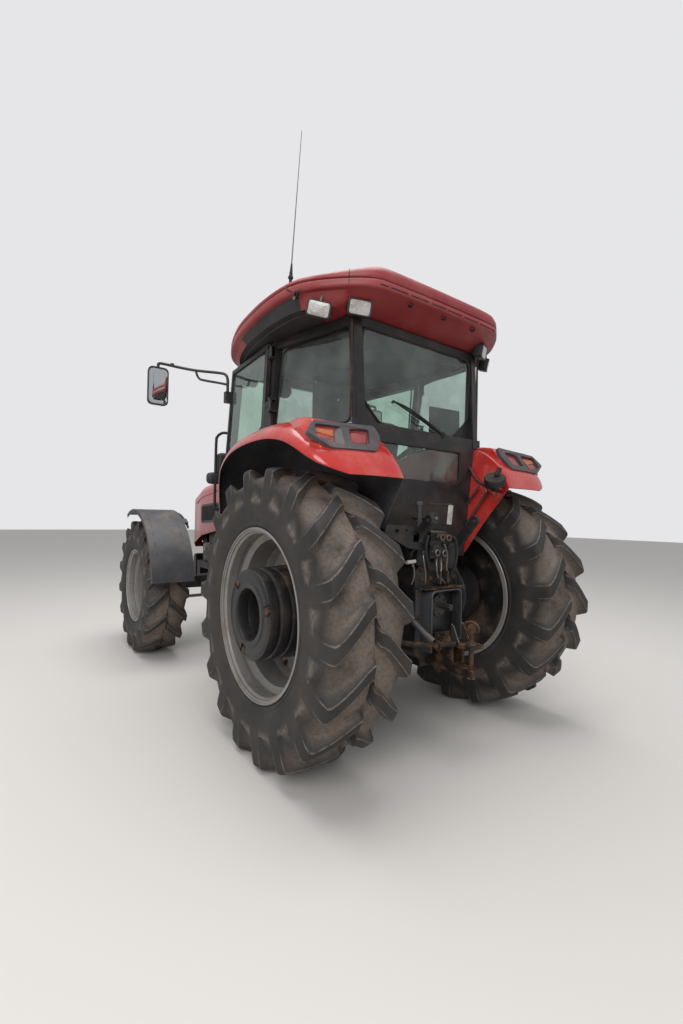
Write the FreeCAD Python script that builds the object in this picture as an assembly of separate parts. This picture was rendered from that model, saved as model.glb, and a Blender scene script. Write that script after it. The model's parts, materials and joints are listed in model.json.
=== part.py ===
"""Farm tractor with a glazed cab, four driven wheels and a drawbar hitch.

Millimetres. The front faces -Y, the tractor's left side is +X and +Z is up.
The model is laid out from the rear axle (y = 0) and the ground (z = 0), and every
node is moved along Y at the end so that the origin lies under the middle of the
whole machine.
"""
import FreeCAD, Part
import os
from math import cos, hypot, pi, radians, sin, sqrt, tan

V = FreeCAD.Vector
X_AXIS = V(1, 0, 0)
Y_AXIS = V(0, 1, 0)
Z_AXIS = V(0, 0, 1)

# clearances
seat_gap = 0.3        # between pieces that touch on curved faces
running_gap = 0.5     # between a turning piece and what carries it
pin_gap = 0.05        # around a hinge pin
glass_gap = 0.5       # between a pane and its frame

# running gear
wheelbase = 2750.0
rear_tip_r = 868.0    # wheel centre to the lug tips, as the tyre stands
rear_track = 1750.0
rear_tyre_w = 500.0
rear_seat_r = 482.6
rear_flange_r = 508.0
rear_rim_w = 460.0
rear_lug_h = 42.0
rear_lugs = 18        # on each side of the tread
front_tip_r = 688.0
front_track = 1955.0
front_tyre_w = 390.0
front_seat_r = 355.6
front_flange_r = 378.0
front_rim_w = 350.0
front_lug_h = 34.0
front_lugs = 16
flange_t = 9.0
rim_t = 8.0

rear_x = rear_track / 2
front_x = front_track / 2
front_y = -wheelbase

# rear axle and wheels
hub_face_x = 770.0    # where the rear wheel disc bolts on
hub_r = 165.0
drum_end_x = 702.0
drum_r = 235.0
trumpet_r = 118.0
rear_disc_r = 392.0
weight_r = 264.0      # outermost ring
weight_step = 4.0     # each ring behind it is that much larger
weight_bore_r = 150.0
weight_t = 72.0
weight_count = 5

# front axle
kingpin_inset = 217.5 # wheel's middle plane to the kingpin
kingpin_x = front_x - kingpin_inset
kingpin_r = 44.0
kingpin_half = 150.0
beam_half_d = 58.0
beam_half_h = 66.0
knuckle_t = 38.0
spindle_r = 104.0
spindle_end = 150.0   # outboard of the kingpin
arm_len = 220.0       # kingpin to the track rod's ball, to the rear
rod_r = 17.0
tie_pin_r = 11.0
front_fender_air = 112.0
front_fender_t = 5.0
front_fender_sweep = (8.0, 112.0)     # degrees up from straight back

# main castings
engine_half_w = 255.0
engine_front = -3010.0
engine_back = -1700.0
frame_over_axle = 172.0
engine_low = front_tip_r + frame_over_axle
engine_h = 660.0
engine_top = engine_low + engine_h
sump_half_w = 150.0
sump_depth = 115.0
sump_low = engine_low - sump_depth
rail_x = 165.0
rail_w = 75.0
rail_h = 85.0
nose_y = -3560.0      # front face of the ballast carrier
carrier_half_w = 250.0
tow_pin_r = 16.0
tow_pin_back = 40.0
rear_face_y = 420.0   # back of the rear axle housing
rear_top = 1150.0     # top of the rear axle housing
belly_z = 560.0       # underside of the rear axle housing
side_x = 180.0        # side of the gearbox
mount_low = 1120.0    # top of the clutch housing

# cab
floor_z = 1180.0
sill_t = 45.0
post_w = 58.0
a_low = V(675, -1626, floor_z)
a_top = V(675, -1285, 2715)
b_low = V(750, -702, floor_z)
b_top = V(750, -508, 2715)
c_low = V(560, 330, floor_z)
c_top = V(590, 232, 2715)
glass_t = 6.0
roof_low = 2700.0
header_z = roof_low - 60    # underside of the header rails
window_low = 2035.0
window_top = header_z - 2
windscreen_low = 1330.0
rear_wall_y = 250.0
rear_wall_t = 30.0
rear_window_half = [(352, 2042), (505, 2190), (522, 2600), (490, header_z)]   # x, z from the foot up
low_window = (380, 1700, 1930)    # half width, foot and head of the window behind the driver

# doors
door_t = 30.0
door_rail_w = 34.0
door_gap = 6.0        # between the door and the posts
post_setback = 2.0    # posts lie this far inside the plane the doors are laid out on
door_plane_x = 750.0
door_lean = 75.0 / 952.0    # the doors lean in towards the front
hinge_y = -488.0
hinge_heights = (2240, 2620)
hinge_knuckle_r = 13.0
hinge_knuckle_h = 70.0
hinge_out = 22.0      # hinge pin outside the door plane
door_pin_r = 6.0
door_outline = [      # distance forward of the hinge line and height, anticlockwise
    (28, 2685), (88, 2095), (190, 2035), (340, 1965), (470, 1880), (575, 1770), (600, 1640),
    (600, 1215), (1105, 1215), (812, 2685),
]

# roof: the plan's left half runs from the rear to the front, each arc by its end, a point on it and its end
roof_plan = [
    (490, 441), (572, 424), (640, 385), (740, 300), (860, 165), (925, 30), (952, -130),
    (957, -450), (915, -800), (850, -1030), (750, -1240), (600, -1400), (400, -1500),
]
roof_rear = 452.0
roof_front = -1558.0
roof_middle = -500.0
roof_seat_h = 12.0          # the liner's thickness
roof_seat_rear = 215.0      # the underside climbs behind this
band_front = roof_low + 6   # lower edge of the side band at the front and at the rear
band_rise = 94.0
band_rise_from = -750.0
band_h = 50.0
crown_h = 266.0             # above the seat
crown_from = 80.0           # the top falls towards the front from here
crown_fall = 0.042
roof_levels = [             # how far drawn in, and the height over the band's edge or the crown
    (30, "band", -6), (0, "band", 12), (0, "band", band_h), (12, "band", band_h + 6),
    (2, "band", band_h + 16), (4, "crown", -66), (16, "crown", -40), (40, "crown", -22),
    (85, "crown", -10), (180, "crown", -4), (420, "crown", 0),
]
lamp_w = 150.0
lamp_h = 95.0
lamp_d = 75.0
work_lamp_spots = [         # x, y, height under the roof's seat, turn about Z
    (600, 322, -2, 0), (815, 190, -30, -38), (540, -1380, -50, 180),
]
aerial_foot = (893, -20)
aerial_foot_r = 16.0
aerial_tip = V(900, 90, 3770)

# bonnet
bonnet_back = -1700.0
bonnet_front = -3470.0
bonnet_t = 5.0
bonnet_hinge_y = -1722.0
bonnet_hinge_z = 1862.0
hinge_in_x = 270.0
hinge_pin_r = 12.0
support_y = -1648.0

# headlamps in the bonnet's nose
headlamp = (185, 248, 1270, 1400)     # inner x, outer x, foot and head

# rear fenders
fender_t = 6.0
fender_in_x = 535.0
fender_lean = 0.12
fender_crest = 2003.0
fender_rows = [       # y, height of the outer skin, its outer edge and the depth of its lip
    (-978, 1440, 965, 60),
    (-962, 1600, 985, 75),
    (-900, 1752, 1010, 85),
    (-770, 1868, 1038, 92),
    (-540, 1960, 1066, 95),
    (-260, 2000, 1086, 95),
    (60, 2003, 1096, 92),
    (290, 1962, 1098, 84),
    (430, 1893, 1092, 72),
    (540, 1790, 1080, 56),
    (608, 1668, 1062, 36),
]

# tail lamp housings
cluster_in_x = 572.0
cluster_out_x = 1040.0

# driver's place
wheel_tilt = 38.0     # steering column, from upright
wheel_centre = V(0, -1130, 1930)
wheel_axis = V(0, sin(radians(wheel_tilt)), cos(radians(wheel_tilt)))

# rear attachments
hitch_pin_y = 700.0
hitch_pin_r = 15.0
pto_z = 885.0
pto_len = 120.0       # end of the stub behind the housing
guard_half_w = 160.0
guard_rise = 115.0    # above the shaft
guard_drop = 273.0    # below it
guard_len = 170.0
guard_corner = 40.0
guard_t = 8.0
pto_r = 17.5
top_link_y = 458.0
top_link_z = 1070.0
link_pin_r = 12.75
lift_shaft_y = 350.0
lift_shaft_z = 1225.0
lift_shaft_r = 36.0
lift_tip = V(0, 545, 1440)
lift_arm_x = 204.0
lift_arm_w = 28.0


def box(x0, x1, y0, y1, z0, z1):
    """A block between two corners."""
    return Part.makeBox(x1 - x0, y1 - y0, z1 - z0, V(x0, y0, z0))


def rod(p0, p1, r):
    """A round bar from one point to another."""
    axis = p1 - p0
    return Part.makeCylinder(r, axis.Length, p0, axis)


def plate(points, thickness):
    """A flat polygon given the thickness vector."""
    return Part.Face(Part.makePolygon(points + [points[0]])).extrude(thickness)


def plate_x(yz, x0, x1):
    """An outline in Y and Z, from x0 to x1."""
    return plate([V(x0, y, z) for y, z in yz], V(x1 - x0, 0, 0))


def plate_y(xz, y0, y1):
    """An outline in X and Z, from y0 to y1."""
    return plate([V(x, y0, z) for x, z in xz], V(0, y1 - y0, 0))


def plate_z(xy, z0, z1):
    """An outline in X and Y, from z0 to z1."""
    return plate([V(x, y, z0) for x, y in xy], V(0, 0, z1 - z0))


def fuse(shapes):
    """One clean solid from pieces that overlap."""
    whole = shapes[0]
    if len(shapes) > 1:
        whole = shapes[0].multiFuse(shapes[1:])
    return whole.removeSplitter()


def compound(shapes):
    """Separate solids kept in one node."""
    return Part.makeCompound(shapes)


def mirrored(shape):
    """The same piece on the other side of the tractor."""
    return shape.mirror(V(0, 0, 0), X_AXIS)


def both(shape):
    """A piece and its twin on the other side."""
    return [shape, mirrored(shape)]


def loft(wires, ruled=True):
    """A closed solid through a row of outlines."""
    return Part.makeLoft(wires, True, ruled)


def turned(profile, centre):
    """A profile of (x, r) points turned about an axis along X."""
    points = [V(centre.x + x, centre.y, centre.z + r) for x, r in profile]
    face = Part.Face(Part.makePolygon(points + [points[0]]))
    return face.revolve(V(centre.x, centre.y, centre.z), X_AXIS, 360)


def bent_tube(points, bend_r, r):
    """A round bar along straight runs joined by tangent arcs."""
    edges = []
    start = points[0]
    for before, here, after in zip(points, points[1:], points[2:]):
        a = (before - here).normalize()
        b = (after - here).normalize()
        half = a.getAngle(b) / 2
        back = bend_r / tan(half)
        p = here + a * back
        q = here + b * back
        middle = here + (a + b).normalize() * (bend_r / sin(half) - bend_r)
        edges.append(Part.LineSegment(start, p).toShape())
        edges.append(Part.Arc(p, middle, q).toShape())
        start = q
    edges.append(Part.LineSegment(start, points[-1]).toShape())
    path = Part.Wire(edges)
    ring = Part.Wire(Part.makeCircle(r, points[0], points[1] - points[0]))
    return path.makePipeShell([ring], True, False)


def arch(half_w, low, top, corner_r, y):
    """A closed outline in a plane of constant y: flat foot, rounded shoulders."""
    k = corner_r * (1 - sqrt(0.5))
    left = V(-half_w, y, low)
    left_shoulder = V(-half_w, y, top - corner_r)
    left_crown = V(-half_w + corner_r, y, top)
    right_crown = V(half_w - corner_r, y, top)
    right_shoulder = V(half_w, y, top - corner_r)
    right = V(half_w, y, low)
    return Part.Wire([
        Part.LineSegment(left, left_shoulder).toShape(),
        Part.Arc(left_shoulder, V(-half_w + k, y, top - k), left_crown).toShape(),
        Part.LineSegment(left_crown, right_crown).toShape(),
        Part.Arc(right_crown, V(half_w - k, y, top - k), right_shoulder).toShape(),
        Part.LineSegment(right_shoulder, right).toShape(),
        Part.LineSegment(right, left).toShape(),
    ])


# tyres: one pitch of tread is the same few rows on each side of the centre line
def lug_rows(width, tip_r, lug_h):
    """Rows across half a tyre.

    Columns: x out from the centre, radius of the tread floor, height of the lug,
    how far the lug trails its nose in degrees, half its foot and half its top.
    """
    floor = tip_r - lug_h
    half = width / 2
    return [
        (14.0, floor, lug_h, 0.0, 2.7, 1.9),
        (half * 0.46, floor - 2, lug_h - 1, 6.5, 2.6, 1.9),
        (half * 0.86, floor - 22, lug_h - 4, 12.5, 3.2, 2.3),
    ]


def tyre_solid(centre, width, tip_r, lug_h, lugs, seat_r, flange_r, rim_w):
    """A lugged tyre as flat facets: chevron bars, their tails and the sidewalls."""
    step = 360.0 / lugs
    half = width / 2
    floor = tip_r - lug_h
    rows = lug_rows(width, tip_r, lug_h)
    tail_x = half * 0.985
    tail_r = tip_r - lug_h * 3.6
    tail_sweep = 16.0
    tail_half = 1.3
    round_off = 1 / cos(radians(step / 4))
    bead_in = rim_w / 2 - flange_t - 4
    walls = [
        (half, (tail_r + flange_r) / 2 + 12),
        (bead_in + 6, (flange_r + 14) * round_off),
        (bead_in, flange_r * round_off),
        (bead_in, seat_r * round_off),
    ]
    facets = []

    def at(side, x, r, angle):
        a = radians(angle)
        return V(centre.x + side * x, centre.y + r * cos(a), centre.z + r * sin(a))

    def tri(a, b, c):
        facets.append((a, b, c))

    def quad(a, b, c, d):
        tri(a, b, c)
        tri(a, c, d)

    phase = -90 - rows[0][5]
    for side in (1, -1):
        offset = phase if side > 0 else phase + step / 2
        for k in range(lugs):
            nose = offset + k * step
            lead = []
            trail = []
            lead_top = []
            trail_top = []
            next_trail = []
            for x, r, h, sweep, foot, top in rows:
                mid = nose - sweep
                lead.append(at(side, x, r, mid + foot))
                trail.append(at(side, x, r, mid - foot))
                lead_top.append(at(side, x, r + h, mid + top))
                trail_top.append(at(side, x, r + h, mid - top))
                next_trail.append(at(side, x, r, mid - foot + step))
            tail_mid = nose - tail_sweep
            lead.append(at(side, tail_x, tail_r, tail_mid + tail_half))
            trail.append(at(side, tail_x, tail_r, tail_mid - tail_half))
            next_trail.append(at(side, tail_x, tail_r, tail_mid - tail_half + step))
            c0 = at(side, 0, floor, nose - step / 2)
            c1 = at(side, 0, floor, nose)
            c2 = at(side, 0, floor, nose + step / 2)
            tri(c0, c1, trail[0])
            tri(c1, lead[0], trail[0])
            tri(c1, c2, lead[0])
            tri(c2, next_trail[0], lead[0])
            quad(trail[0], lead[0], lead_top[0], trail_top[0])
            for i in (0, 1):
                quad(lead_top[i], lead_top[i + 1], trail_top[i + 1], trail_top[i])
                quad(lead[i], lead[i + 1], lead_top[i + 1], lead_top[i])
                quad(trail[i], trail_top[i], trail_top[i + 1], trail[i + 1])
            for i in (0, 1, 2):
                quad(lead[i], next_trail[i], next_trail[i + 1], lead[i + 1])
            quad(lead_top[2], lead[3], trail[3], trail_top[2])
            tri(lead[2], lead[3], lead_top[2])
            tri(trail[2], trail_top[2], trail[3])
            turn = nose - tail_sweep
            ring = [[at(side, x, r, turn + j * step / 2) for j in (0, 1, 2)] for x, r in walls]
            tri(lead[3], ring[0][0], trail[3])
            tri(lead[3], ring[0][1], ring[0][0])
            tri(lead[3], next_trail[3], ring[0][1])
            tri(next_trail[3], ring[0][2], ring[0][1])
            for outer, inner in zip(ring, ring[1:]):
                quad(outer[0], outer[1], inner[1], inner[0])
                quad(outer[1], outer[2], inner[2], inner[1])
    for j in range(2 * lugs):
        a0 = phase - tail_sweep + j * step / 2
        a1 = a0 + step / 2
        x, r = walls[-1]
        quad(at(1, x, r, a0), at(1, x, r, a1), at(-1, x, r, a1), at(-1, x, r, a0))
    faces = [Part.Face(Part.makePolygon([a, b, c, a])) for a, b, c in facets]
    shell = Part.makeShell(faces)
    shell.sewShape()
    solid = Part.makeSolid(shell)
    if solid.Volume < 0:
        solid.reverse()
    return solid


def rim_profile(seat_r, flange_r, width, disc_x, disc_r, bore_r):
    """Half section of a pressed rim with its dished disc."""
    half = width / 2
    seat = seat_r - seat_gap
    well = seat - 38
    return [
        (half, flange_r), (half, seat - rim_t), (half * 0.55, seat - rim_t), (half * 0.42, well - rim_t),
        (disc_x + 60, well - rim_t), (disc_x, disc_r), (disc_x, bore_r),
        (disc_x - 14, bore_r), (disc_x - 14, disc_r + 8), (disc_x + 38, well - rim_t),
        (-half * 0.42, well - rim_t), (-half * 0.55, seat - rim_t), (-half, seat - rim_t),
        (-half, flange_r), (-half + flange_t, flange_r), (-half + flange_t, seat),
        (-half * 0.52, seat), (-half * 0.39, well), (half * 0.39, well), (half * 0.52, seat),
        (half - flange_t, seat), (half - flange_t, flange_r),
    ]


def ring_of_holes(shape, centre, pitch_r, hole_r, count, depth, x0):
    """Cuts round holes along X on a circle."""
    holes = []
    for k in range(count):
        a = 2 * pi * (k + 0.5) / count
        p = V(x0, centre.y + pitch_r * cos(a), centre.z + pitch_r * sin(a))
        holes.append(Part.makeCylinder(hole_r, depth, p, X_AXIS))
    return shape.cut(Part.makeCompound(holes))


def rear_wheel():
    """Left rear wheel: tyre, rim with hub, and the stack of ring weights."""
    c = V(rear_x, 0, rear_tip_r)
    disc_x = hub_face_x - rear_x + 14
    tyre = tyre_solid(c, rear_tyre_w, rear_tip_r, rear_lug_h, rear_lugs,
                      rear_seat_r, rear_flange_r, rear_rim_w)
    rim = turned(rim_profile(rear_seat_r, rear_flange_r, rear_rim_w, disc_x, rear_disc_r, 60), c)
    rim = ring_of_holes(rim, c, rear_disc_r + 12, 34, 8, 200, hub_face_x - 20)
    boss = Part.makeCylinder(hub_r - 20, hub_face_x - drum_end_x - running_gap,
                             V(drum_end_x + running_gap, 0, rear_tip_r), X_AXIS)
    flange = Part.makeCylinder(hub_r, 22, V(hub_face_x - 22, 0, rear_tip_r), X_AXIS)
    shaft = Part.makeCylinder(60, 60, V(hub_face_x - 10, 0, rear_tip_r), X_AXIS)
    rim = fuse([rim, boss, flange, shaft])
    weights = []
    x = hub_face_x + 14
    for k in range(weight_count):
        r = weight_r + weight_step * (weight_count - 1 - k)
        bevel = 12
        start = x - c.x
        weights.append(turned([
            (start, weight_bore_r), (start, r - bevel), (start + bevel, r),
            (start + weight_t - bevel, r), (start + weight_t, r - bevel),
            (start + weight_t, weight_bore_r)], c))
        x += weight_t
    stack = fuse(weights)
    return tyre, rim, stack


def front_wheel():
    """Left front wheel: tyre, and rim with the hub drum."""
    c = V(front_x, front_y, front_tip_r)
    hub_x = kingpin_x + spindle_end + running_gap
    disc_x = hub_x + 22 - front_x
    tyre = tyre_solid(c, front_tyre_w, front_tip_r, front_lug_h, front_lugs,
                      front_seat_r, front_flange_r, front_rim_w)
    rim = turned(rim_profile(front_seat_r, front_flange_r, front_rim_w, disc_x, 180, 90), c)
    rim = ring_of_holes(rim, c, 215, 24, 8, 160, hub_x - 10)
    drum = Part.makeCylinder(138, 22, V(hub_x, front_y, front_tip_r), X_AXIS)
    cap = turned([(hub_x - c.x + 10, 0), (hub_x - c.x + 10, 112), (hub_x - c.x + 120, 104),
                  (hub_x - c.x + 135, 88), (hub_x - c.x + 135, 0)], c)
    return tyre, fuse([rim, drum, cap])


def knuckle():
    """Left steering knuckle: two ears on the kingpin, spindle and steering arm."""
    z = front_tip_r
    ear = kingpin_half + seat_gap
    k = V(kingpin_x, front_y, z)
    upper = fuse([Part.makeCylinder(70, knuckle_t, V(k.x, k.y, z + ear), Z_AXIS),
                  box(k.x, k.x + 92, k.y - 70, k.y + 70, z + ear, z + ear + knuckle_t)])
    lower = fuse([Part.makeCylinder(70, knuckle_t, V(k.x, k.y, z - ear - knuckle_t), Z_AXIS),
                  box(k.x, k.x + 92, k.y - 70, k.y + 70, z - ear - knuckle_t, z - ear)])
    back = box(k.x + 56, k.x + 92, k.y - 90, k.y + 90, z - ear - knuckle_t, z + ear + knuckle_t)
    spindle = Part.makeCylinder(spindle_r, spindle_end - 80, V(k.x + 80, k.y, z), X_AXIS)
    ball = V(k.x, k.y + arm_len, z - ear - knuckle_t)
    arm = plate_z([(k.x - 45, k.y + 40), (k.x + 45, k.y + 40), (ball.x + 26, ball.y),
                   (ball.x - 26, ball.y)], ball.z, ball.z + knuckle_t)
    eye = Part.makeCylinder(30, knuckle_t, ball, Z_AXIS)
    pin = Part.makeCylinder(tie_pin_r, 44, V(ball.x, ball.y, ball.z + knuckle_t), Z_AXIS)
    return fuse([upper, lower, back, spindle, arm, eye, pin])


def track_rod():
    """Round bar with an eye on each steering arm's pin."""
    ball_x = kingpin_x
    y = front_y + arm_len
    z = front_tip_r - kingpin_half - seat_gap + 25
    pieces = [rod(V(-ball_x, y, z), V(ball_x, y, z), rod_r)]
    holes = []
    for side in (-1, 1):
        p = V(side * ball_x, y, z - 20)
        pieces.append(Part.makeCylinder(27, 34, p, Z_AXIS))
        holes.append(Part.makeCylinder(tie_pin_r + pin_gap, 100, V(p.x, p.y, p.z - 30), Z_AXIS))
    return fuse(pieces).cut(compound(holes))


def front_axle():
    """Beam with the gear housing, kingpin bosses, pivot pin and drive shaft."""
    z = front_tip_r
    end = kingpin_x - 20
    beam = loft([
        Part.makePolygon([V(x, front_y - d, z - h), V(x, front_y + d, z - h),
                          V(x, front_y + d, z + h), V(x, front_y - d, z + h),
                          V(x, front_y - d, z - h)])
        for x, d, h in ((-end, 50, 62), (-180, beam_half_d, beam_half_h),
                        (180, beam_half_d, beam_half_h), (end, 50, 62))])
    bowl = Part.makeSphere(135, V(0, front_y, z - 10))
    bosses = [Part.makeCylinder(kingpin_r, 2 * kingpin_half, V(s * kingpin_x, front_y, z - kingpin_half),
                                Z_AXIS) for s in (-1, 1)]
    pivot = Part.makeCylinder(42, 420, V(0, front_y - 210, z), Y_AXIS)
    shaft = rod(V(0, front_y + 200, z), V(0, engine_back, z), 28)
    nose = Part.makeCylinder(62, 55, V(0, front_y + 90, z - 10), Y_AXIS)
    return fuse([beam, bowl, pivot, nose, shaft] + bosses)


def front_frame():
    """Side rails and the brackets that hold the axle's pivot."""
    rails = []
    for s in (-1, 1):
        x0 = min(s * rail_x, s * (rail_x + rail_w))
        rails.append(box(x0, x0 + rail_w, nose_y + 90, engine_back, engine_low - rail_h, engine_low))
    brackets = []
    for y in (front_y - 200, front_y + 150):
        blank = plate_y([(-rail_x - 60, engine_low), (-110, front_tip_r - 70), (110, front_tip_r - 70),
                         (rail_x + 60, engine_low)], y, y + 50)
        brackets.append(blank.cut(Part.makeCylinder(42 + seat_gap, 80, V(0, y - 10, front_tip_r), Y_AXIS)))
    return fuse(rails + brackets)


def weight_carrier():
    """Ballast carrier between the rails at the nose, with the tow pin's slot and bore."""
    low = engine_low - 170
    top = engine_low + 80
    blank = plate_x([(nose_y, low), (nose_y, top - 35), (nose_y + 60, top), (nose_y + 90, top),
                     (nose_y + 90, engine_low + seat_gap), (nose_y + 210, engine_low + seat_gap),
                     (nose_y + 210, low), (nose_y + 120, low - 40), (nose_y + 30, low - 40)],
                    -carrier_half_w, carrier_half_w)
    ends = [box(s * carrier_half_w - 12, s * carrier_half_w + 12, nose_y + 90 - seat_gap, nose_y + 220, low - 50,
                top + 10) for s in (-1, 1)]
    rails = [box(min(s * rail_x, s * (rail_x + rail_w)), max(s * rail_x, s * (rail_x + rail_w)), nose_y + 90,
                 nose_y + 220, engine_low - rail_h, engine_low + 1) for s in (-1, 1)]
    slot = box(-70, 70, nose_y - 10, nose_y + 80, engine_low - 120, engine_low - 40)
    pin = Part.makeCylinder(tow_pin_r, 400, V(0, nose_y + tow_pin_back, low - 60), Z_AXIS)
    return blank.cut(compound([slot, pin] + rails)).cut(compound(ends))


def engine():
    """The engine as one plain block with its sump, and the cooler behind the grille."""
    block = box(-engine_half_w, engine_half_w, engine_front, engine_back, engine_low + seat_gap, engine_top)
    sump = box(-sump_half_w, sump_half_w, -2380, -1800, sump_low, engine_low + 1)
    head = box(-150, 150, engine_front + 120, engine_back - 120, engine_top - 1, engine_top + 110)
    cooler = box(-230, 230, bonnet_front + 190, bonnet_front + 310, engine_low + seat_gap, engine_top + 40)
    return compound([fuse([block, sump, head]), cooler])


def transmission():
    """Clutch housing, gearbox and rear housing as one casting, with the top link's ears."""
    stations = ((engine_back, 255, 650, mount_low), (-1450, 235, 640, mount_low), (-1380, side_x, 620, 1060),
                (-640, side_x, 600, 1060), (-380, 205, belly_z, rear_top), (rear_face_y, 205, belly_z, rear_top))
    wires = []
    for y, w, low, top in stations:
        b = 45
        wires.append(Part.makePolygon([
            V(-w + b, y, low), V(w - b, y, low), V(w, y, low + b), V(w, y, top - b),
            V(w - b, y, top), V(-w + b, y, top), V(-w, y, top - b), V(-w, y, low + b),
            V(-w + b, y, low)]))
    ears = [box(x, x + 16, rear_face_y - 5, top_link_y + 24, top_link_z - 40, top_link_z + 40) for x in (-42, 26)]
    hole = Part.makeCylinder(link_pin_r, 200, V(-100, top_link_y, top_link_z), X_AXIS)
    return fuse([loft(wires)] + ears).cut(hole)


def rear_axle():
    """Axle trumpets that step up to the final drive drums."""
    c = V(0, 0, rear_tip_r)
    arm = turned([(205, 0), (205, 150), (260, 140), (420, trumpet_r), (470, trumpet_r + 20),
                  (520, drum_r), (drum_end_x - 12, drum_r), (drum_end_x, drum_r - 14),
                  (drum_end_x, 0)], c)
    return compound(both(arm))


def door_inner(y):
    """Inner face of the door at a place along the cab."""
    return door_plane_x + (y - b_top.y) * door_lean


def between(p, q, z):
    """Point on the line through p and q at a height."""
    return p + (q - p) * ((z - p.z) / (q.z - p.z))


def post(corners_low, corners_top):
    """A straight post between two outlines of four corners."""
    wires = []
    for corners in (corners_low, corners_top):
        wires.append(Part.makePolygon(corners + [corners[0]]))
    return loft(wires)


def side_post(p, q, z0, z1, width, depth, ahead):
    """A post under the door plane; ahead is how much of its width lies forward of the line."""
    outlines = []
    for z in (z0, z1):
        y = between(p, q, z).y
        x = door_inner(y) - post_setback
        outlines.append([V(x, y - ahead, z), V(x + door_lean * width, y - ahead + width, z),
                         V(x + door_lean * width - depth, y - ahead + width, z), V(x - depth, y - ahead, z)])
    return post(outlines[0], outlines[1])


def fender_inner_x(z):
    """Inner edge of the fender, which leans in towards its foot."""
    return fender_in_x - fender_lean * (fender_crest - z)


def fender_sections(skin, deep):
    """Outlines across the left fender; skin moves the outer face out, deep closes it below."""
    wires = []
    last = len(fender_rows) - 1
    for i, (y, z, out_x, lip) in enumerate(fender_rows):
        y0, z0 = fender_rows[max(i - 1, 0)][:2]
        y1, z1 = fender_rows[min(i + 1, last)][:2]
        run = hypot(y1 - y0, z1 - z0)
        ny = -(z1 - z0) / run
        nz = (y1 - y0) / run
        in_x = fender_inner_x(z)
        fold = lip * 0.45
        outer = [(in_x, skin), (out_x - 130, skin + 6), (out_x - 42, skin - 12), (out_x - 8 + skin, -fold),
                 (out_x + skin, -lip)]
        if deep:
            inner = [(out_x + skin, -deep), (in_x, -deep)]
        else:
            inner = [(out_x - fender_t, -lip), (out_x - 8 - fender_t, -fold - 3), (out_x - 46, -12 - fender_t),
                     (out_x - 132, 6 - fender_t), (in_x, -fender_t)]
        points = [V(x, y + ny * n, z + nz * n) for x, n in outer + inner]
        wires.append(Part.makePolygon(points + [points[0]]))
    return wires


def fender_envelope():
    """The space inside and just above the left fender's skin."""
    return loft(fender_sections(seat_gap, 300.0))


def rear_fender():
    """Left rear fender: the rolled skin with its lip and the leaning inner panel."""
    skin = loft(fender_sections(0.0, 0))
    crest = [(y, z - 3) for y, z, out_x, lip in fender_rows]
    outline = crest + [(rear_wall_y + 160, 1400), (rear_wall_y + 20, floor_z), (-978, floor_z)]
    points = [V(fender_inner_x(z), y, z) for y, z in outline]
    panel = plate(points, V(fender_t, 0, fender_t * fender_lean))
    return fuse([skin, panel])


def door_frame_point(s, z, out):
    """Point on the door: distance forward of the hinge line, height, distance out."""
    run = sqrt(1 + door_lean * door_lean)
    ex = -door_lean / run
    ey = -1 / run
    x0 = door_inner(hinge_y)
    return V(x0 + ex * s - ey * out, hinge_y + ey * s + ex * out, z)


def inset(points, d):
    """A closed outline moved inwards by d; its points run anticlockwise."""
    result = []
    count = len(points)
    for i in range(count):
        ax, ay = points[i - 1]
        bx, by = points[i]
        cx, cy = points[(i + 1) % count]
        l1 = hypot(bx - ax, by - ay)
        l2 = hypot(cx - bx, cy - by)
        n1 = (-(by - ay) / l1, (bx - ax) / l1)
        n2 = (-(cy - by) / l2, (cx - bx) / l2)
        k = 1 + n1[0] * n2[0] + n1[1] * n2[1]
        result.append((bx + d * (n1[0] + n2[0]) / k, by + d * (n1[1] + n2[1]) / k))
    return result


def door_prism(outline, z, h):
    """An upright block on points given as distance forward of the hinge and distance out."""
    points = [door_frame_point(reach, z, out) for reach, out in outline]
    return plate(points, V(0, 0, h))


def door():
    """Left door: a slim frame with its glass and two hinge knuckles."""
    offset = door_gap - post_setback
    outer = [door_frame_point(s, z, offset) for s, z in door_outline]
    inner_outline = inset(door_outline, door_rail_w)
    normal = door_frame_point(0, 0, 1) - door_frame_point(0, 0, 0)
    blank = plate(outer, normal * door_t)
    hole = plate([door_frame_point(s, z, offset - 5) for s, z in inner_outline], normal * (door_t + 10))
    frame = blank.cut(hole)
    pane = plate([door_frame_point(s, z, offset + 12) for s, z in inner_outline], normal * glass_t)
    pieces = [frame]
    pins = []
    for z in hinge_heights:
        reach = hinge_y - between(b_low, b_top, z).y + 14
        pieces.append(door_prism([(0, 16), (reach, 16), (reach, 28), (0, 28)], z - 30, 60))
        foot = door_frame_point(0, z - hinge_knuckle_h / 2, hinge_out)
        pieces.append(Part.makeCylinder(hinge_knuckle_r, hinge_knuckle_h, foot, Z_AXIS))
        pins.append(Part.makeCylinder(door_pin_r + pin_gap, hinge_knuckle_h, foot, Z_AXIS))
    return fuse(pieces).cut(compound(pins)), pane


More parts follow.
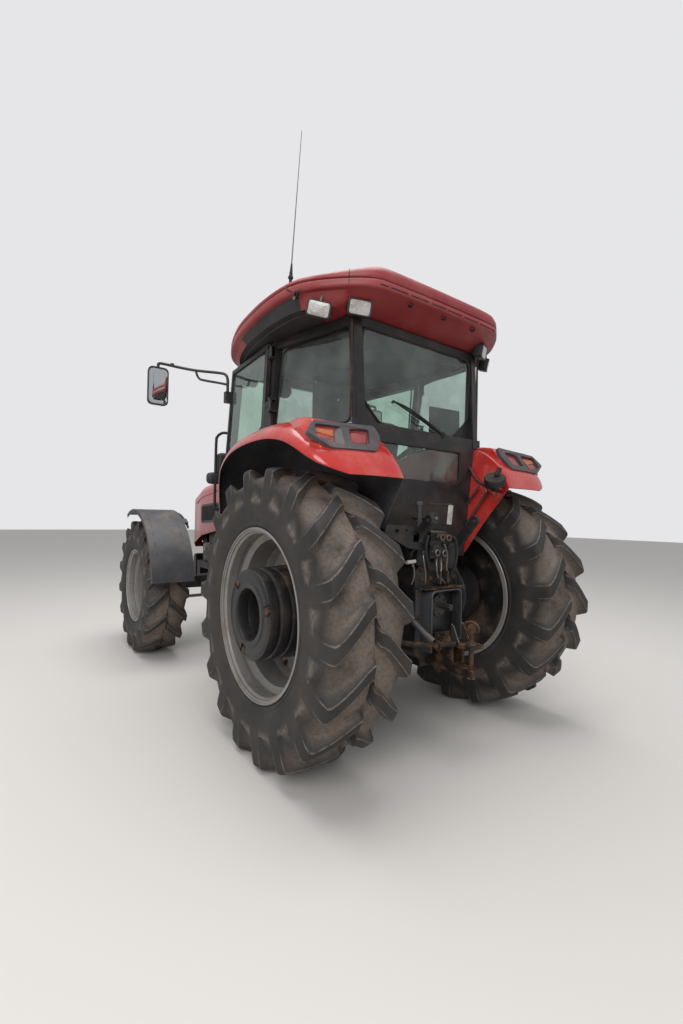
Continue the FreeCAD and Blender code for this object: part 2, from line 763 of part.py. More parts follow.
def door_hinges():
    """Lugs and pins on the left middle post that carry the door."""
    lug_t = 14.0
    pieces = []
    for z in hinge_heights:
        post_front = hinge_y - between(b_low, b_top, z).y
        near = post_front - post_w + 6
        outline = [(max(near, 13), -24), (max(near, 13), -6), (13, -2), (13, hinge_out + 13),
                   (-13, hinge_out + 13), (-13, -24)]
        for low in (z - hinge_knuckle_h / 2 - running_gap - lug_t, z + hinge_knuckle_h / 2 + running_gap):
            pieces.append(door_prism(outline, low, lug_t))
        foot = door_frame_point(0, z - hinge_knuckle_h / 2 - lug_t, hinge_out)
        pieces.append(Part.makeCylinder(door_pin_r, hinge_knuckle_h + 2 * lug_t, foot, Z_AXIS))
    return pieces


def cab_frame(envelope):
    """Posts, headers and sills of the cab, cut to sit on the fenders."""
    pieces = []
    a_post = side_post(a_low, a_top, floor_z, roof_low - seat_gap, post_w, 52, 0)
    b_post = side_post(b_low, b_top, 1900, roof_low - seat_gap, post_w, 56, 0)
    c_line = [between(c_low, c_top, z) for z in (1975, roof_low - seat_gap)]
    c_post = post(*[[V(p.x, p.y - 52, p.z), V(p.x, p.y, p.z), V(p.x - 60, p.y + 8, p.z),
                     V(p.x - 60, p.y - 44, p.z)] for p in c_line])
    header = []
    for z in (header_z, roof_low - seat_gap):
        ya = between(a_low, a_top, z).y
        yb = between(b_low, b_top, z).y
        yc = between(c_low, c_top, z).y
        header.append((ya, yb, yc))
    ya, yb, yc = header[1]
    side_header = plate_z([(door_inner(ya) - 2, ya), (door_inner(yb) - 2, yb + 30), (c_top.x, yc - 4),
                           (c_top.x - 50, yc - 4), (door_inner(yb) - 52, yb + 20), (door_inner(ya) - 50, ya)],
                          header_z, roof_low - seat_gap)
    sill = plate_z([(door_inner(-1600) - 2, -1600), (door_inner(-1000) - 2, -1000),
                    (door_inner(-1000) - 60, -1000), (door_inner(-1600) - 60, -1600)],
                   floor_z, floor_z + sill_t)
    waist = plate_z([(door_inner(yb) - 8, -500), (c_low.x + 12, 180), (c_low.x - 36, 180),
                     (door_inner(yb) - 50, -520)], 1990, window_low)
    for piece in (a_post, b_post, c_post, side_header, sill, waist):
        pieces.append(piece.cut(envelope))
    pieces += door_hinges()
    pieces = pieces + [mirrored(p) for p in pieces]
    pieces.append(box(-560, 560, yc - 50, yc, header_z, roof_low - seat_gap))
    pieces.append(box(-650, 650, ya - 8, ya + 44, header_z, roof_low - seat_gap))
    pieces.append(box(-600, 600, rear_wall_y, rear_wall_y + rear_wall_t, 1990, 2040).cut(
        compound([envelope, mirrored(envelope)])))
    return fuse(pieces)


def cab_tub():
    """Floor on its four rubber mounts, front bulkhead and the wall behind the driver."""
    low_x = fender_inner_x(floor_z) - 1
    top_x = fender_inner_x(1989) - 1
    half, low, top = low_window
    wall = plate_y([(-low_x, floor_z), (low_x, floor_z), (top_x, 1990), (-top_x, 1990)],
                   rear_wall_y, rear_wall_y + rear_wall_t)
    window = box(-half, half, rear_wall_y - 10, rear_wall_y + rear_wall_t + 10, low, top)
    front = [(640, -1600), (640, -985), (low_x, -985), (low_x, rear_wall_y + 1)]
    plan = front + [(-x, y) for x, y in reversed(front)]
    floor = plate_z(plan, floor_z, floor_z + 20)
    bulkhead = box(-600, 600, -1606, -1594, floor_z, windscreen_low - 6)
    pads = []
    for x, y, foot in ((150, -1550, mount_low), (140, 120, rear_top)):
        pads += both(Part.makeCylinder(48, floor_z - foot, V(x, y, foot), Z_AXIS))
    return fuse([wall.cut(window), floor, bulkhead] + pads)


def front_point(x, z, out):
    """Point in the plane of the windscreen."""
    p = between(a_low, a_top, z)
    return V(x, p.y - out, z)


def cab_glass():
    """Windscreen, quarter windows, rear window and the low rear window."""
    panes = []
    low = windscreen_low
    half_low = door_inner(front_point(0, low, 0).y) - post_setback - 51
    half_top = door_inner(front_point(0, window_top, 0).y) - post_setback - 51
    screen = plate([front_point(-half_low, low, -24), front_point(half_low, low, -24),
                    front_point(half_top, window_top, -24), front_point(-half_top, window_top, -24)],
                   V(0, glass_t, 0))
    panes.append(screen)
    yb = between(b_low, b_top, window_low).y + post_w + 1
    yb_top = between(b_low, b_top, window_top).y + post_w + 1
    slope = (690 - 545) / (-450.0 - 200.0)
    def quarter_x(y):
        return 690 + (y + 450) * slope
    yc = between(c_low, c_top, window_low).y - 54
    yc_top = between(c_low, c_top, window_top).y - 54
    quarter = plate([V(quarter_x(yb), yb, window_low), V(quarter_x(yc), yc, window_low),
                     V(quarter_x(yc_top), yc_top, window_top), V(quarter_x(yb_top), yb_top, window_top)],
                    V(glass_t, 0, 0))
    panes += both(quarter)
    half = rear_window_half
    outline = half + [(-x, z) for x, z in reversed(half)]
    panes.append(plate_y(outline, rear_wall_y - 26, rear_wall_y - 26 + glass_t))
    half, low, top = low_window
    panes.append(box(-half, half, rear_wall_y + 12, rear_wall_y + 12 + glass_t, low, top))
    return compound(panes)


def band_low(y):
    """Height of the side band's lower edge, which climbs towards the rear."""
    back = min(max((y - band_rise_from) / (roof_rear - band_rise_from), 0.0), 1.0)
    return band_front + band_rise * back ** 1.6


def crown_top(y):
    """Height of the crown, which falls towards the front."""
    return roof_low + crown_h - crown_fall * max(0.0, crown_from - y)


def curve_through(a, b, c):
    """An arc through three points, or a line where they are in line."""
    if (b - a).cross(c - b).Length < 1.0:
        return Part.LineSegment(a, c).toShape()
    return Part.Arc(a, b, c).toShape()


def roof_ring(inset_by, height, rear_limit):
    """Plan outline of the roof, drawn in by a distance, at heights that follow y."""
    def at(x, y):
        away = hypot(x, y - roof_middle)
        k = 1 - inset_by / away
        py = min(roof_middle + (y - roof_middle) * k, rear_limit)
        return V(x * k, py, height(py))

    def flip(p):
        return V(-p.x, p.y, p.z)

    left = [at(x, y) for x, y in roof_plan]
    edges = [curve_through(flip(left[0]), at(0, roof_rear), left[0])]
    for i in range(0, len(left) - 2, 2):
        edges.append(curve_through(left[i], left[i + 1], left[i + 2]))
    edges.append(curve_through(left[-1], at(0, roof_front), flip(left[-1])))
    right = [flip(p) for p in reversed(left)]
    for i in range(0, len(right) - 2, 2):
        edges.append(curve_through(right[i], right[i + 1], right[i + 2]))
    return Part.Wire(edges)


def roof_shell():
    """Red roof cap: the rear slope below, a band, a groove and the crowned top."""
    seat = roof_low + roof_seat_h
    rings = [roof_ring(70, lambda y: seat, roof_seat_rear)]
    for inset_by, level, lift in roof_levels:
        line = band_low if level == "band" else crown_top
        rings.append(roof_ring(inset_by, lambda y: line(y) + lift, roof_rear))
    return loft(rings)


def roof_liner():
    """Black underside of the roof, ahead of the rear slope."""
    return loft([roof_ring(d, lambda y: z, roof_seat_rear - 5) for d, z in (
        (150, roof_low), (72, roof_low + roof_seat_h))])


def lamp(centre, turn):
    """A rectangular work lamp facing +Y with its stalk, then turned about Z."""
    body = Part.makeBox(lamp_w, lamp_d, lamp_h, V(centre.x - lamp_w / 2, centre.y - lamp_d, centre.z - lamp_h / 2))
    body = body.makeFillet(10, [e for e in body.Edges if abs(e.tangentAt(0).y) > 0.9])
    stalk = Part.makeCylinder(9, lamp_h / 2 + 90, V(centre.x, centre.y - lamp_d * 0.6, centre.z), Z_AXIS)
    whole_lamp = fuse([body, stalk])
    whole_lamp.rotate(centre, Z_AXIS, turn)
    return whole_lamp


def work_lamps(shell, liner):
    """Four lamps under the rear of the roof and two at the front."""
    lamps = []
    for x, y, drop, turn in work_lamp_spots:
        lamps += both(lamp(V(x, y, roof_low + drop), turn))
    covers = compound([shell, liner])
    return compound([max(p.cut(covers).Solids, key=lambda part: part.Volume) for p in lamps])


def lamp_clusters(envelope, frame):
    """Raised tail lamp housings on the rear fenders, tapered at their outer ends."""
    body = [(200, 1850), (200, 1984), (310, 1988), (440, 1961), (458, 1948), (540, 1806), (500, 1770)]
    tip = [(300, 1840), (300, 1905), (335, 1925), (385, 1917), (398, 1908), (452, 1852), (430, 1830)]
    wires = []
    for x, outline in ((cluster_in_x, body), (cluster_out_x - 150, body), (cluster_out_x, tip)):
        points = [V(x, y, z) for y, z in outline]
        wires.append(Part.makePolygon(points + [points[0]]))
    block = loft(wires).cut(envelope).cut(frame)
    return compound(both(max(block.Solids, key=lambda part: part.Volume)))


def antenna(shell):
    """Whip aerial on its foot at the roof's left edge."""
    x, y = aerial_foot
    base = V(x, y, crown_top(y) - 60)
    foot = Part.makeCylinder(aerial_foot_r, 90, base, Z_AXIS)
    whip = rod(base + V(0, 0, 80), aerial_tip, 3.0)
    return fuse([foot, whip]).cut(shell)


def mirrors(frame):
    """Door mirrors on bent arms at the front posts."""
    root = V(door_inner(-1300) - 26, between(a_low, a_top, 2560).y + 20, 2560)
    arm = bent_tube([root, V(root.x + 10, -1540, 2600), V(760, -1640, 2740), V(1235, -1690, 2752),
                     V(1235, -1700, 2560)], 36, 11).cut(frame)
    head = box(1150, 1320, -1722, -1668, 2380, 2710)
    head = head.makeFillet(24, [e for e in head.Edges if abs(e.tangentAt(0).y) > 0.9])
    return compound(both(fuse([arm, head])))


def handrails(frame):
    """Grab rails at the front corners of the cab, with side lamps."""
    x = 742.0
    rail = bent_tube([V(660, -1560, 1500), V(x + 30, -1560, 1500), V(x + 30, -1572, 2190), V(655, -1480, 2190)],
                     30, 13)
    lamp_body = Part.makeCylinder(26, 70, V(x + 10, -1590, 1790), X_AXIS)
    return compound(both(fuse([rail, lamp_body]).cut(frame)))


# bonnet: half width, underside, crown and shoulder radius at a few stations
bonnet_rows = [
    (bonnet_back, 352, 1290, 1925, 110),
    (-2450, 344, 1280, 1872, 110),
    (-3100, 326, 1190, 1796, 105),
    (-3400, 300, 1080, 1700, 100),
    (bonnet_front, 262, 1030, 1560, 90),
]


def bonnet():
    """One-piece tilting bonnet, open below and behind."""
    outer = loft([arch(w, low, top, r, y) for y, w, low, top, r in bonnet_rows])
    inner_rows = [(y, w, low, top, r) for y, w, low, top, r in bonnet_rows]
    inner_rows[0] = (bonnet_back + 5,) + bonnet_rows[0][1:]
    inner_rows[-1] = (bonnet_front + bonnet_t,) + bonnet_rows[-1][1:]
    inner = loft([arch(w - bonnet_t, low - 2, top - bonnet_t, r - bonnet_t, y)
                  for y, w, low, top, r in inner_rows])
    ears = []
    for side in (-1, 1):
        x = side * (hinge_in_x + 12)
        ear = plate_x([(bonnet_hinge_y - 30, bonnet_hinge_z - 26), (bonnet_hinge_y + 20, bonnet_hinge_z - 26),
                       (bonnet_hinge_y + 20, 1921), (bonnet_hinge_y - 30, 1921)], x - 4, x + 4)
        ears.append(ear.cut(rod(V(-500, bonnet_hinge_y, bonnet_hinge_z), V(500, bonnet_hinge_y, bonnet_hinge_z),
                                hinge_pin_r + pin_gap)))
    mouth = plate_y([(-175, 1090), (175, 1090), (175, 1480), (-175, 1480)], bonnet_front - 50, bonnet_front + 60)
    return fuse([outer.cut(inner).cut(mouth)] + ears)


def bonnet_support():
    """Upright plate on the clutch housing with the bonnet's hinge pins."""
    top = bonnet_hinge_z + 10
    wall = plate_y([(-260, mount_low), (260, mount_low), (hinge_in_x, top - 90), (hinge_in_x, top),
                    (-hinge_in_x, top), (-hinge_in_x, top - 90)], support_y, support_y + 8)
    window = box(-180, 180, support_y - 10, support_y + 20, 1300, 1760)
    pieces = [wall.cut(window)]
    for side in (-1, 1):
        x0 = min(side * (hinge_in_x - 14), side * hinge_in_x)
        pieces.append(box(x0, x0 + 14, bonnet_hinge_y - 20, support_y + 4, bonnet_hinge_z - 22,
                          bonnet_hinge_z + 14))
        pieces.append(rod(V(x0 + 7, bonnet_hinge_y, bonnet_hinge_z),
                          V(side * (hinge_in_x + 20), bonnet_hinge_y, bonnet_hinge_z), hinge_pin_r))
    return fuse(pieces)


def grille():
    """Slatted grille in the mouth of the bonnet."""
    g = 0.5
    frame = box(-175 + g, 175 - g, bonnet_front - 4, bonnet_front + 24, 1090 + g, 1480 - g)
    slots = []
    for k in range(9):
        z = 1110 + k * 40
        slots.append(box(-155, 155, bonnet_front - 20, bonnet_front + 40, z, z + 26))
    return frame.cut(compound(slots))


def headlamps():
    """Headlamps beside the grille, on the bonnet's nose."""
    x0, x1, low, top = headlamp
    body = box(x0, x1, bonnet_front - 14, bonnet_front, low, top)
    body = body.makeFillet(14, [e for e in body.Edges if abs(e.tangentAt(0).y) > 0.9])
    return compound(both(body))


def exhaust():
    """Upright pipe ahead of the right front post."""
    x = -480.0
    y = -1790.0
    pipe = bent_tube([V(-engine_half_w, y, 1200), V(x, y, 1200), V(x, y, 2760)], 60, 32)
    muffler = Part.makeCylinder(62, 700, V(x, y, 1500), Z_AXIS)
    return fuse([pipe, muffler])


def fuel_tank():
    """Tank on the left of the gearbox, held by two arms."""
    body = box(260, 600, -1600, -960, 600, 1090)
    body = body.makeFillet(50, [e for e in body.Edges if abs(e.tangentAt(0).y) > 0.9])
    arms = [box(side_x, 262, y, y + 60, 700, 780) for y in (-1340, -760 - 300)]
    return fuse([body] + arms)


def battery_box():
    """Battery and tool box on the right of the gearbox."""
    body = box(-560, -260, -1560, -1020, 700, 1080)
    body = body.makeFillet(25, [e for e in body.Edges if abs(e.tangentAt(0).y) > 0.9])
    arms = [box(-262, -side_x, y, y + 60, 760, 820) for y in (-1340, -1100)]
    return fuse([body] + arms)


def steps():
    """Steps to both doors, hung from the tank and the battery box."""
    sets = []
    for side, x0 in ((1, 600), (-1, 560)):
        pieces = []
        for y in (-1500, -1206):
            pieces.append(plate_x([(y, 470), (y + 6, 470), (y + 6, 1060), (y, 1060)], x0, x0 + 200))
        for z in (470, 770, 1048):
            pieces.append(box(x0, x0 + 200, -1500, -1200, z, z + 12))
        ladder = fuse(pieces)
        sets.append(ladder if side > 0 else mirrored(ladder))
    return compound(sets)


def seat():
    """Driver's seat on its suspension box."""
    base = box(-180, 180, -680, -300, floor_z + 20, 1560)
    cushion = box(-250, 250, -780, -260, 1560, 1680)
    back = plate_x([(-330, 1680), (-230, 1680), (-140, 2200), (-220, 2210)], -235, 235)
    return fuse([base, cushion, back])


def console():
    """Instrument console and the steering column."""
    body = plate_x([(-1590, floor_z + 20), (-1330, floor_z + 20), (-1330, 1660), (-1365, 1800),
                    (-1425, 1840), (-1550, 1330)], -190, 190)
    column = rod(wheel_centre - wheel_axis * 350, wheel_centre - wheel_axis * 14, 24)
    return fuse([body, column])


def steering_wheel():
    """Rim, three spokes and hub on the column."""
    ring = Part.makeTorus(195, 14, wheel_centre, wheel_axis)
    hub = Part.makeCylinder(40, 36, wheel_centre - wheel_axis * (14 - running_gap), wheel_axis)
    across = X_AXIS
    up = wheel_axis.cross(across)
    spokes = []
    for k in range(3):
        a = radians(90 + 120 * k)
        tip = wheel_centre + across * (195 * cos(a)) + up * (195 * sin(a))
        spokes.append(rod(wheel_centre, tip, 9))
    return fuse([ring, hub] + spokes)


def hitch():
    """Drawbar frame bolted under the rear housing, with its clevis."""
    upper = box(-62, 62, rear_face_y, 742, 666, 690)
    lower = box(-55, 55, 60, 752, belly_z - 55, belly_z - 10)
    hanger = box(-110, 110, 200, 380, belly_z - 70, belly_z)
    web = fuse([box(-62, -42, rear_face_y, 600, belly_z - 20, 670), box(42, 62, rear_face_y, 600, belly_z - 20, 670)])
    hole = Part.makeCylinder(hitch_pin_r + seat_gap, 400, V(0, hitch_pin_y, 400), Z_AXIS)
    return fuse([upper, lower, hanger, web]).cut(hole)


def hitch_pin():
    """Drop pin with a flat head through the clevis."""
    pin = Part.makeCylinder(hitch_pin_r, 270, V(0, hitch_pin_y, 490), Z_AXIS)
    stop = Part.makeCylinder(28, 12, V(0, hitch_pin_y, 690), Z_AXIS)
    head = Part.makeCylinder(40, 8, V(0, hitch_pin_y - 4, 775), Y_AXIS)
    return fuse([pin, stop, head])


def guard_outline(half, low, top, corner, y0, y1):
    """The hood's outline: open foot, chamfered top corners."""
    return plate_y([(-half, low), (-half, top - corner), (-half + corner, top), (half - corner, top),
                    (half, top - corner), (half, low)], y0, y1)


def pto_guard():
    """Hood over the power take-off, open below and behind."""
    low = pto_z - guard_drop
    top = pto_z + guard_rise
    reach = rear_face_y + guard_len
    outer = guard_outline(guard_half_w, low, top, guard_corner, rear_face_y, reach)
    inner = guard_outline(guard_half_w - guard_t, low - guard_t, top - guard_t, guard_corner - guard_t / 2,
                          rear_face_y - 10, reach + 10)
    return outer.cut(inner)


def pto_stub():
    """Output shaft, plain, in its bearing cap."""
    cap = Part.makeCylinder(70, 24, V(0, rear_face_y, pto_z), Y_AXIS)
    shaft = Part.makeCylinder(pto_r, pto_len, V(0, rear_face_y, pto_z), Y_AXIS)
    return fuse([cap, shaft])


def lift_housing():
    """Hydraulic lift cover on the rear housing, with the cross shaft's bore."""
    body = plate_x([(292, rear_top), (rear_face_y, rear_top), (rear_face_y, 1290), (310, 1290)], -190, 190)
    bore = Part.makeCylinder(lift_shaft_r + seat_gap, 500, V(-250, lift_shaft_y, lift_shaft_z), X_AXIS)
    return fuse([body]).cut(bore)


def lift_arms():
    """Cross shaft with both lift arms, stored raised."""
    reach = lift_arm_x + lift_arm_w
    shaft = Part.makeCylinder(lift_shaft_r, 2 * reach + 16, V(-reach - 8, lift_shaft_y, lift_shaft_z), X_AXIS)
    arms = []
    along = (lift_tip - V(0, lift_shaft_y, lift_shaft_z)).normalize()
    across = V(0, -along.z, along.y)
    for x in (-reach, lift_arm_x):
        c = V(x, lift_shaft_y, lift_shaft_z)
        t = V(x, lift_tip.y, lift_tip.z)
        bar = plate([c + across * 40, t + across * 24, t - across * 24, c - across * 40], V(lift_arm_w, 0, 0))
        arms.append(bar)
        arms.append(Part.makeCylinder(52, lift_arm_w, c, X_AXIS))
        arms.append(Part.makeCylinder(30, lift_arm_w, t, X_AXIS))
    hole = Part.makeCylinder(link_pin_r, 600, V(-300, lift_tip.y, lift_tip.z), X_AXIS)
    return fuse([shaft] + arms).cut(hole)


def remotes():
    """Two pairs of hydraulic couplers on their block."""
    block = box(-60, 110, rear_face_y, 462, 1160, 1370)
    couplers = []
    for z in (1225, 1325):
        for x in (-5, 60):
            couplers.append(Part.makeCylinder(17, 48, V(x, 460, z), Y_AXIS))
    return fuse([block] + couplers)


def wiper():
    """Rear wiper on its pivot below the window."""
    y = rear_wall_y + rear_wall_t
    pivot = Part.makeCylinder(16, 24, V(-250, y, 2010), Y_AXIS)
    arm = rod(V(-250, y + 18, 2010), V(120, y + 18, 2230), 5)
    return fuse([pivot, arm])


def front_fender():
    """Curved guard over the left front tyre on its bracket from the knuckle."""
    r = front_tip_r + front_fender_air
    half = front_tyre_w / 2 + 2
    first, last = front_fender_sweep
    c = V(front_x, front_y, front_tip_r)
    stem_x = kingpin_x - 24
    stem_t = 12

    def at(radius, angle, x):
        a = radians(angle)
        return V(x, c.y + radius * cos(a), c.z + radius * sin(a))

    def slab(r_in, r_out, x0, x1, a0, a1):
        middle = (a0 + a1) / 2
        wire = Part.Wire([
            Part.Arc(at(r_out, a0, x0), at(r_out, middle, x0), at(r_out, a1, x0)).toShape(),
            Part.LineSegment(at(r_out, a1, x0), at(r_in, a1, x0)).toShape(),
            Part.Arc(at(r_in, a1, x0), at(r_in, middle, x0), at(r_in, a0, x0)).toShape(),
            Part.LineSegment(at(r_in, a0, x0), at(r_out, a0, x0)).toShape(),
        ])
        return Part.Face(wire).extrude(V(x1 - x0, 0, 0))

    skin = slab(r - front_fender_t, r, c.x - half, c.x + half, first, last)
    lip = slab(r - 40, r, c.x + half - front_fender_t, c.x + half, first, last)
    lip_in = slab(r - 22, r, c.x - half, c.x - half + front_fender_t, first, last)
    ear_top = front_tip_r + kingpin_half + seat_gap + knuckle_t
    foot = box(kingpin_x - 30, kingpin_x + 30, front_y - 30, front_y + 60, ear_top, ear_top + 12)
    tie_top = r - 24
    tie_low = r - 50
    tie = slab(tie_low, tie_top, stem_x, stem_x + stem_t, 54, 104)
    stem = plate_x([(front_y - 5, ear_top), (front_y + 55, ear_top), (front_y + 55, c.z + tie_low + 10),
                    (front_y - 5, c.z + tie_low + 10)], stem_x, stem_x + stem_t)
    cross = []
    for angle in (60, 98):
        cross.append(plate([at(r - 26, angle - 3, stem_x), at(r - 3, angle - 3, stem_x), at(r - 3, angle + 3, stem_x),
                            at(r - 26, angle + 3, stem_x)], V(c.x + half - 10 - stem_x, 0, 0)))
    return fuse([skin, lip, lip_in, foot, stem, tie] + cross)


solids = {}


def keep(node, shape):
    """Stores a node's shape."""
    solids[node] = shape


def keep_pair(node, shape):
    """Stores a left piece and its mirrored twin."""
    keep(node + "_left", shape)
    keep(node + "_right", mirrored(shape))


def build_running_gear():
    tyre, rim, stack = rear_wheel()
    keep_pair("rear_tyre", tyre)
    keep_pair("rear_rim", rim)
    keep_pair("wheel_weights", stack)
    tyre, rim = front_wheel()
    keep_pair("front_tyre", tyre)
    keep_pair("front_rim", rim)
    keep_pair("knuckle", knuckle())
    keep_pair("front_fender", front_fender())
    keep("track_rod", track_rod())
    keep("front_axle", front_axle())
    keep("front_frame", front_frame())
    keep("weight_carrier", weight_carrier())
    keep("engine_block", engine())
    keep("transmission", transmission())
    keep("rear_axle", rear_axle())
    keep("fuel_tank", fuel_tank())
    keep("battery_box", battery_box())
    keep("steps", steps())
    keep("exhaust", exhaust())


def build_cab():
    envelope = fender_envelope()
    fender = rear_fender()
    keep("rear_fenders", compound(both(fender)))
    frame = cab_frame(envelope)
    keep("cab_frame", frame)
    keep("lamp_clusters", lamp_clusters(envelope, frame))
    keep("cab_tub", cab_tub().cut(frame))
    keep("cab_glass", cab_glass())
    door_frame, pane = door()
    keep_pair("door", door_frame)
    keep_pair("door_glass", pane)
    shell = roof_shell()
    liner = roof_liner()
    keep("roof_shell", shell)
    keep("roof_liner", liner)
    keep("work_lamps", work_lamps(shell, liner))
    keep("antenna", antenna(shell))
    keep("mirrors", mirrors(frame))
    keep("handrails", handrails(frame))
    keep("wiper", wiper())
    keep("seat", seat())
    keep("console", console())
    keep("steering_wheel", steering_wheel())


def build_ends():
    keep("bonnet", bonnet())
    keep("bonnet_support", bonnet_support())
    keep("grille", grille())
    keep("headlamps", headlamps())
    keep("hitch", hitch())
    keep("hitch_pin", hitch_pin())
    keep("pto_guard", pto_guard())
    keep("pto_stub", pto_stub())
    keep("lift_housing", lift_housing())
    keep("lift_arms", lift_arms())
    keep("remotes", remotes())


build_running_gear()
build_cab()
build_ends()

whole = Part.makeCompound(list(solids.values())).BoundBox
shift = V(0, -(whole.YMin + whole.YMax) / 2, 0)
os.makedirs("parts", exist_ok=True)
for node, shape in solids.items():
    moved = shape.copy()
    moved.translate(shift)
    moved.exportStep("parts/" + node + ".step")
    print(node, len(moved.Solids), round(moved.Volume / 1e6, 2), moved.isValid())
print("shift", shift, "box", whole)
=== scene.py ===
import bpy
import bmesh
import json
from math import cos, hypot, pi, radians, sin, sqrt
from mathutils import Matrix, Vector
from mathutils.geometry import tessellate_polygon


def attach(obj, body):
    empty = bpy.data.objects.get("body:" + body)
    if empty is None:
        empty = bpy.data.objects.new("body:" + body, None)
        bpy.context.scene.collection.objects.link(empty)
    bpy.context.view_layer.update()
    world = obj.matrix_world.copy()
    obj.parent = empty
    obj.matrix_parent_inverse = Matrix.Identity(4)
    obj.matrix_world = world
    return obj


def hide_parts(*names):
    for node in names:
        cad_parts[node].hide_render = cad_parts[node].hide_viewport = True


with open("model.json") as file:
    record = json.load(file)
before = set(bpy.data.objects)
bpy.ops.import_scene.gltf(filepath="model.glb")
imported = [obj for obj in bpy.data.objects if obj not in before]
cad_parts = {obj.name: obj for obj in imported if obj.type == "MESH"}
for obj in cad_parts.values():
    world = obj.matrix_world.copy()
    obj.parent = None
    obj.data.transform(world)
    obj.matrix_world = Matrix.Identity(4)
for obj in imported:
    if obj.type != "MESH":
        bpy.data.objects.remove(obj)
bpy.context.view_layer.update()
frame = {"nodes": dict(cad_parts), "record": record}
axleY = 1.346                       # rear axle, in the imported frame
frontY = axleY - 2.75              # front axle
bodyOf = {}
sideWords = ((1, "left"), (-1, "right"))
shaftZ = 0.885                      # drive shaft over the ground
headerZ = 2.7                     # top of the cab's header
for bodyName, nodeNames in frame["record"]["behaviour"]["bodies"].items():
    for nodeName in nodeNames:
        bodyOf[nodeName] = bodyName


def hexColour(text):
    channels = [int(text[i:i + 2], 16) / 255 for i in (1, 3, 5)]
    linear = [c / 12.92 if c <= 0.04045 else ((c + 0.055) / 1.055) ** 2.4 for c in channels]
    return (*linear, 1.0)


def addNode(tree, kind, inputs=None, **settings):
    node = tree.nodes.new(kind)
    for name, value in settings.items():
        setattr(node, name, value)
    for key, value in (inputs or {}).items():
        if isinstance(value, bpy.types.Node):
            value = value.outputs[0]
        if isinstance(value, bpy.types.NodeSocket):
            tree.links.new(value, node.inputs[key])
        else:
            node.inputs[key].default_value = value
    return node


# mesh making: every shape is a list of points and a list of faces
def latheShape(profile, steps=64, closed=True, turns=1.0, start=0.0):
    # profile points are (along the axis X, radius), turned about X
    points, faces = [], []
    count = len(profile)
    rings = steps if turns == 1.0 else steps + 1
    for k in range(rings):
        a = start + 2 * pi * turns * k / steps
        points += [(x, r * cos(a), r * sin(a)) for x, r in profile]
    for k in range(steps):
        n = (k + 1) % rings
        for i in range(count if closed else count - 1):
            j = (i + 1) % count
            faces.append((k * count + i, k * count + j, n * count + j, n * count + i))
    return points, faces


def smoothPath(points, perSpan=6):
    # an evenly rounded line through the points
    line = [Vector(p) for p in points]
    if len(line) < 3:
        return line
    result = []
    for i in range(len(line) - 1):
        p0 = line[max(i - 1, 0)]
        p1, p2 = line[i], line[i + 1]
        p3 = line[min(i + 2, len(line) - 1)]
        for k in range(perSpan):
            t = k / perSpan
            a = 2 * p1 + (p2 - p0) * t
            b = (2 * p0 - 5 * p1 + 4 * p2 - p3) * t * t
            c = (3 * p1 - p0 - 3 * p2 + p3) * t * t * t
            result.append((a + b + c) / 2)
    result.append(line[-1])
    return result


def tubeShape(path, radius, sides=12, closed=False, flat=1.0):
    # a round bar along a line; radius may be one number or one for each point
    path = [Vector(p) for p in path]
    count = len(path)
    radii = radius if isinstance(radius, (list, tuple)) else [radius] * count
    points, faces = [], []
    side = None
    for i, here in enumerate(path):
        before = path[i - 1] if i or closed else here
        after = path[(i + 1) % count] if i < count - 1 or closed else here
        along = (after - before).normalized()
        if side is None:
            side = along.orthogonal().normalized()
        side = (side - along * side.dot(along)).normalized()
        up = along.cross(side)
        for k in range(sides):
            a = 2 * pi * k / sides
            points.append(here + (side * cos(a) + up * sin(a) * flat) * radii[i])
    for i in range(count if closed else count - 1):
        n = (i + 1) % count
        for k in range(sides):
            j = (k + 1) % sides
            faces.append((i * sides + k, i * sides + j, n * sides + j, n * sides + k))
    if not closed:
        faces.append(tuple(reversed(range(sides))))
        faces.append(tuple(range((count - 1) * sides, count * sides)))
    return points, faces


def loftShape(rings, caps=True, loop=True):
    # skin over a row of outlines with the same number of points
    count = len(rings[0])
    points = [Vector(p) for ring in rings for p in ring]
    faces = []
    for i in range(len(rings) - 1):
        for k in range(count if loop else count - 1):
            j = (k + 1) % count
            faces.append((i * count + k, i * count + j, (i + 1) * count + j, (i + 1) * count + k))
    if caps:
        faces.append(tuple(reversed(range(count))))
        faces.append(tuple(range((len(rings) - 1) * count, len(rings) * count)))
    return points, faces


def blockShape(lo, hi):
    x0, y0, z0 = lo
    x1, y1, z1 = hi
    foot = [(x0, y0, z0), (x1, y0, z0), (x1, y1, z0), (x0, y1, z0)]
    head = [(x, y, z1) for x, y, _ in foot]
    return loftShape([foot, head])


def plateShape(outline, thickness):
    t = Vector(thickness)
    ring = [Vector(p) for p in outline]
    return loftShape([ring, [p + t for p in ring]])


def holedShape(loops, at):
    # a flat plate with windows: the first loop is its edge, at(a, b, side) gives each corner's place
    flat = [[Vector((a, b, 0)) for a, b in loop] for loop in loops]
    corners = [p for loop in flat for p in loop]
    points = [at(p.x, p.y, side) for side in (0, 1) for p in corners]
    count = len(corners)
    faces = []
    for triangle in tessellate_polygon(flat):
        faces.append(tuple(triangle))
        faces.append(tuple(i + count for i in reversed(triangle)))
    start = 0
    for loop in loops:
        for k in range(len(loop)):
            i, j = start + k, start + (k + 1) % len(loop)
            faces.append((i, j, j + count, i + count))
        start += len(loop)
    return points, faces


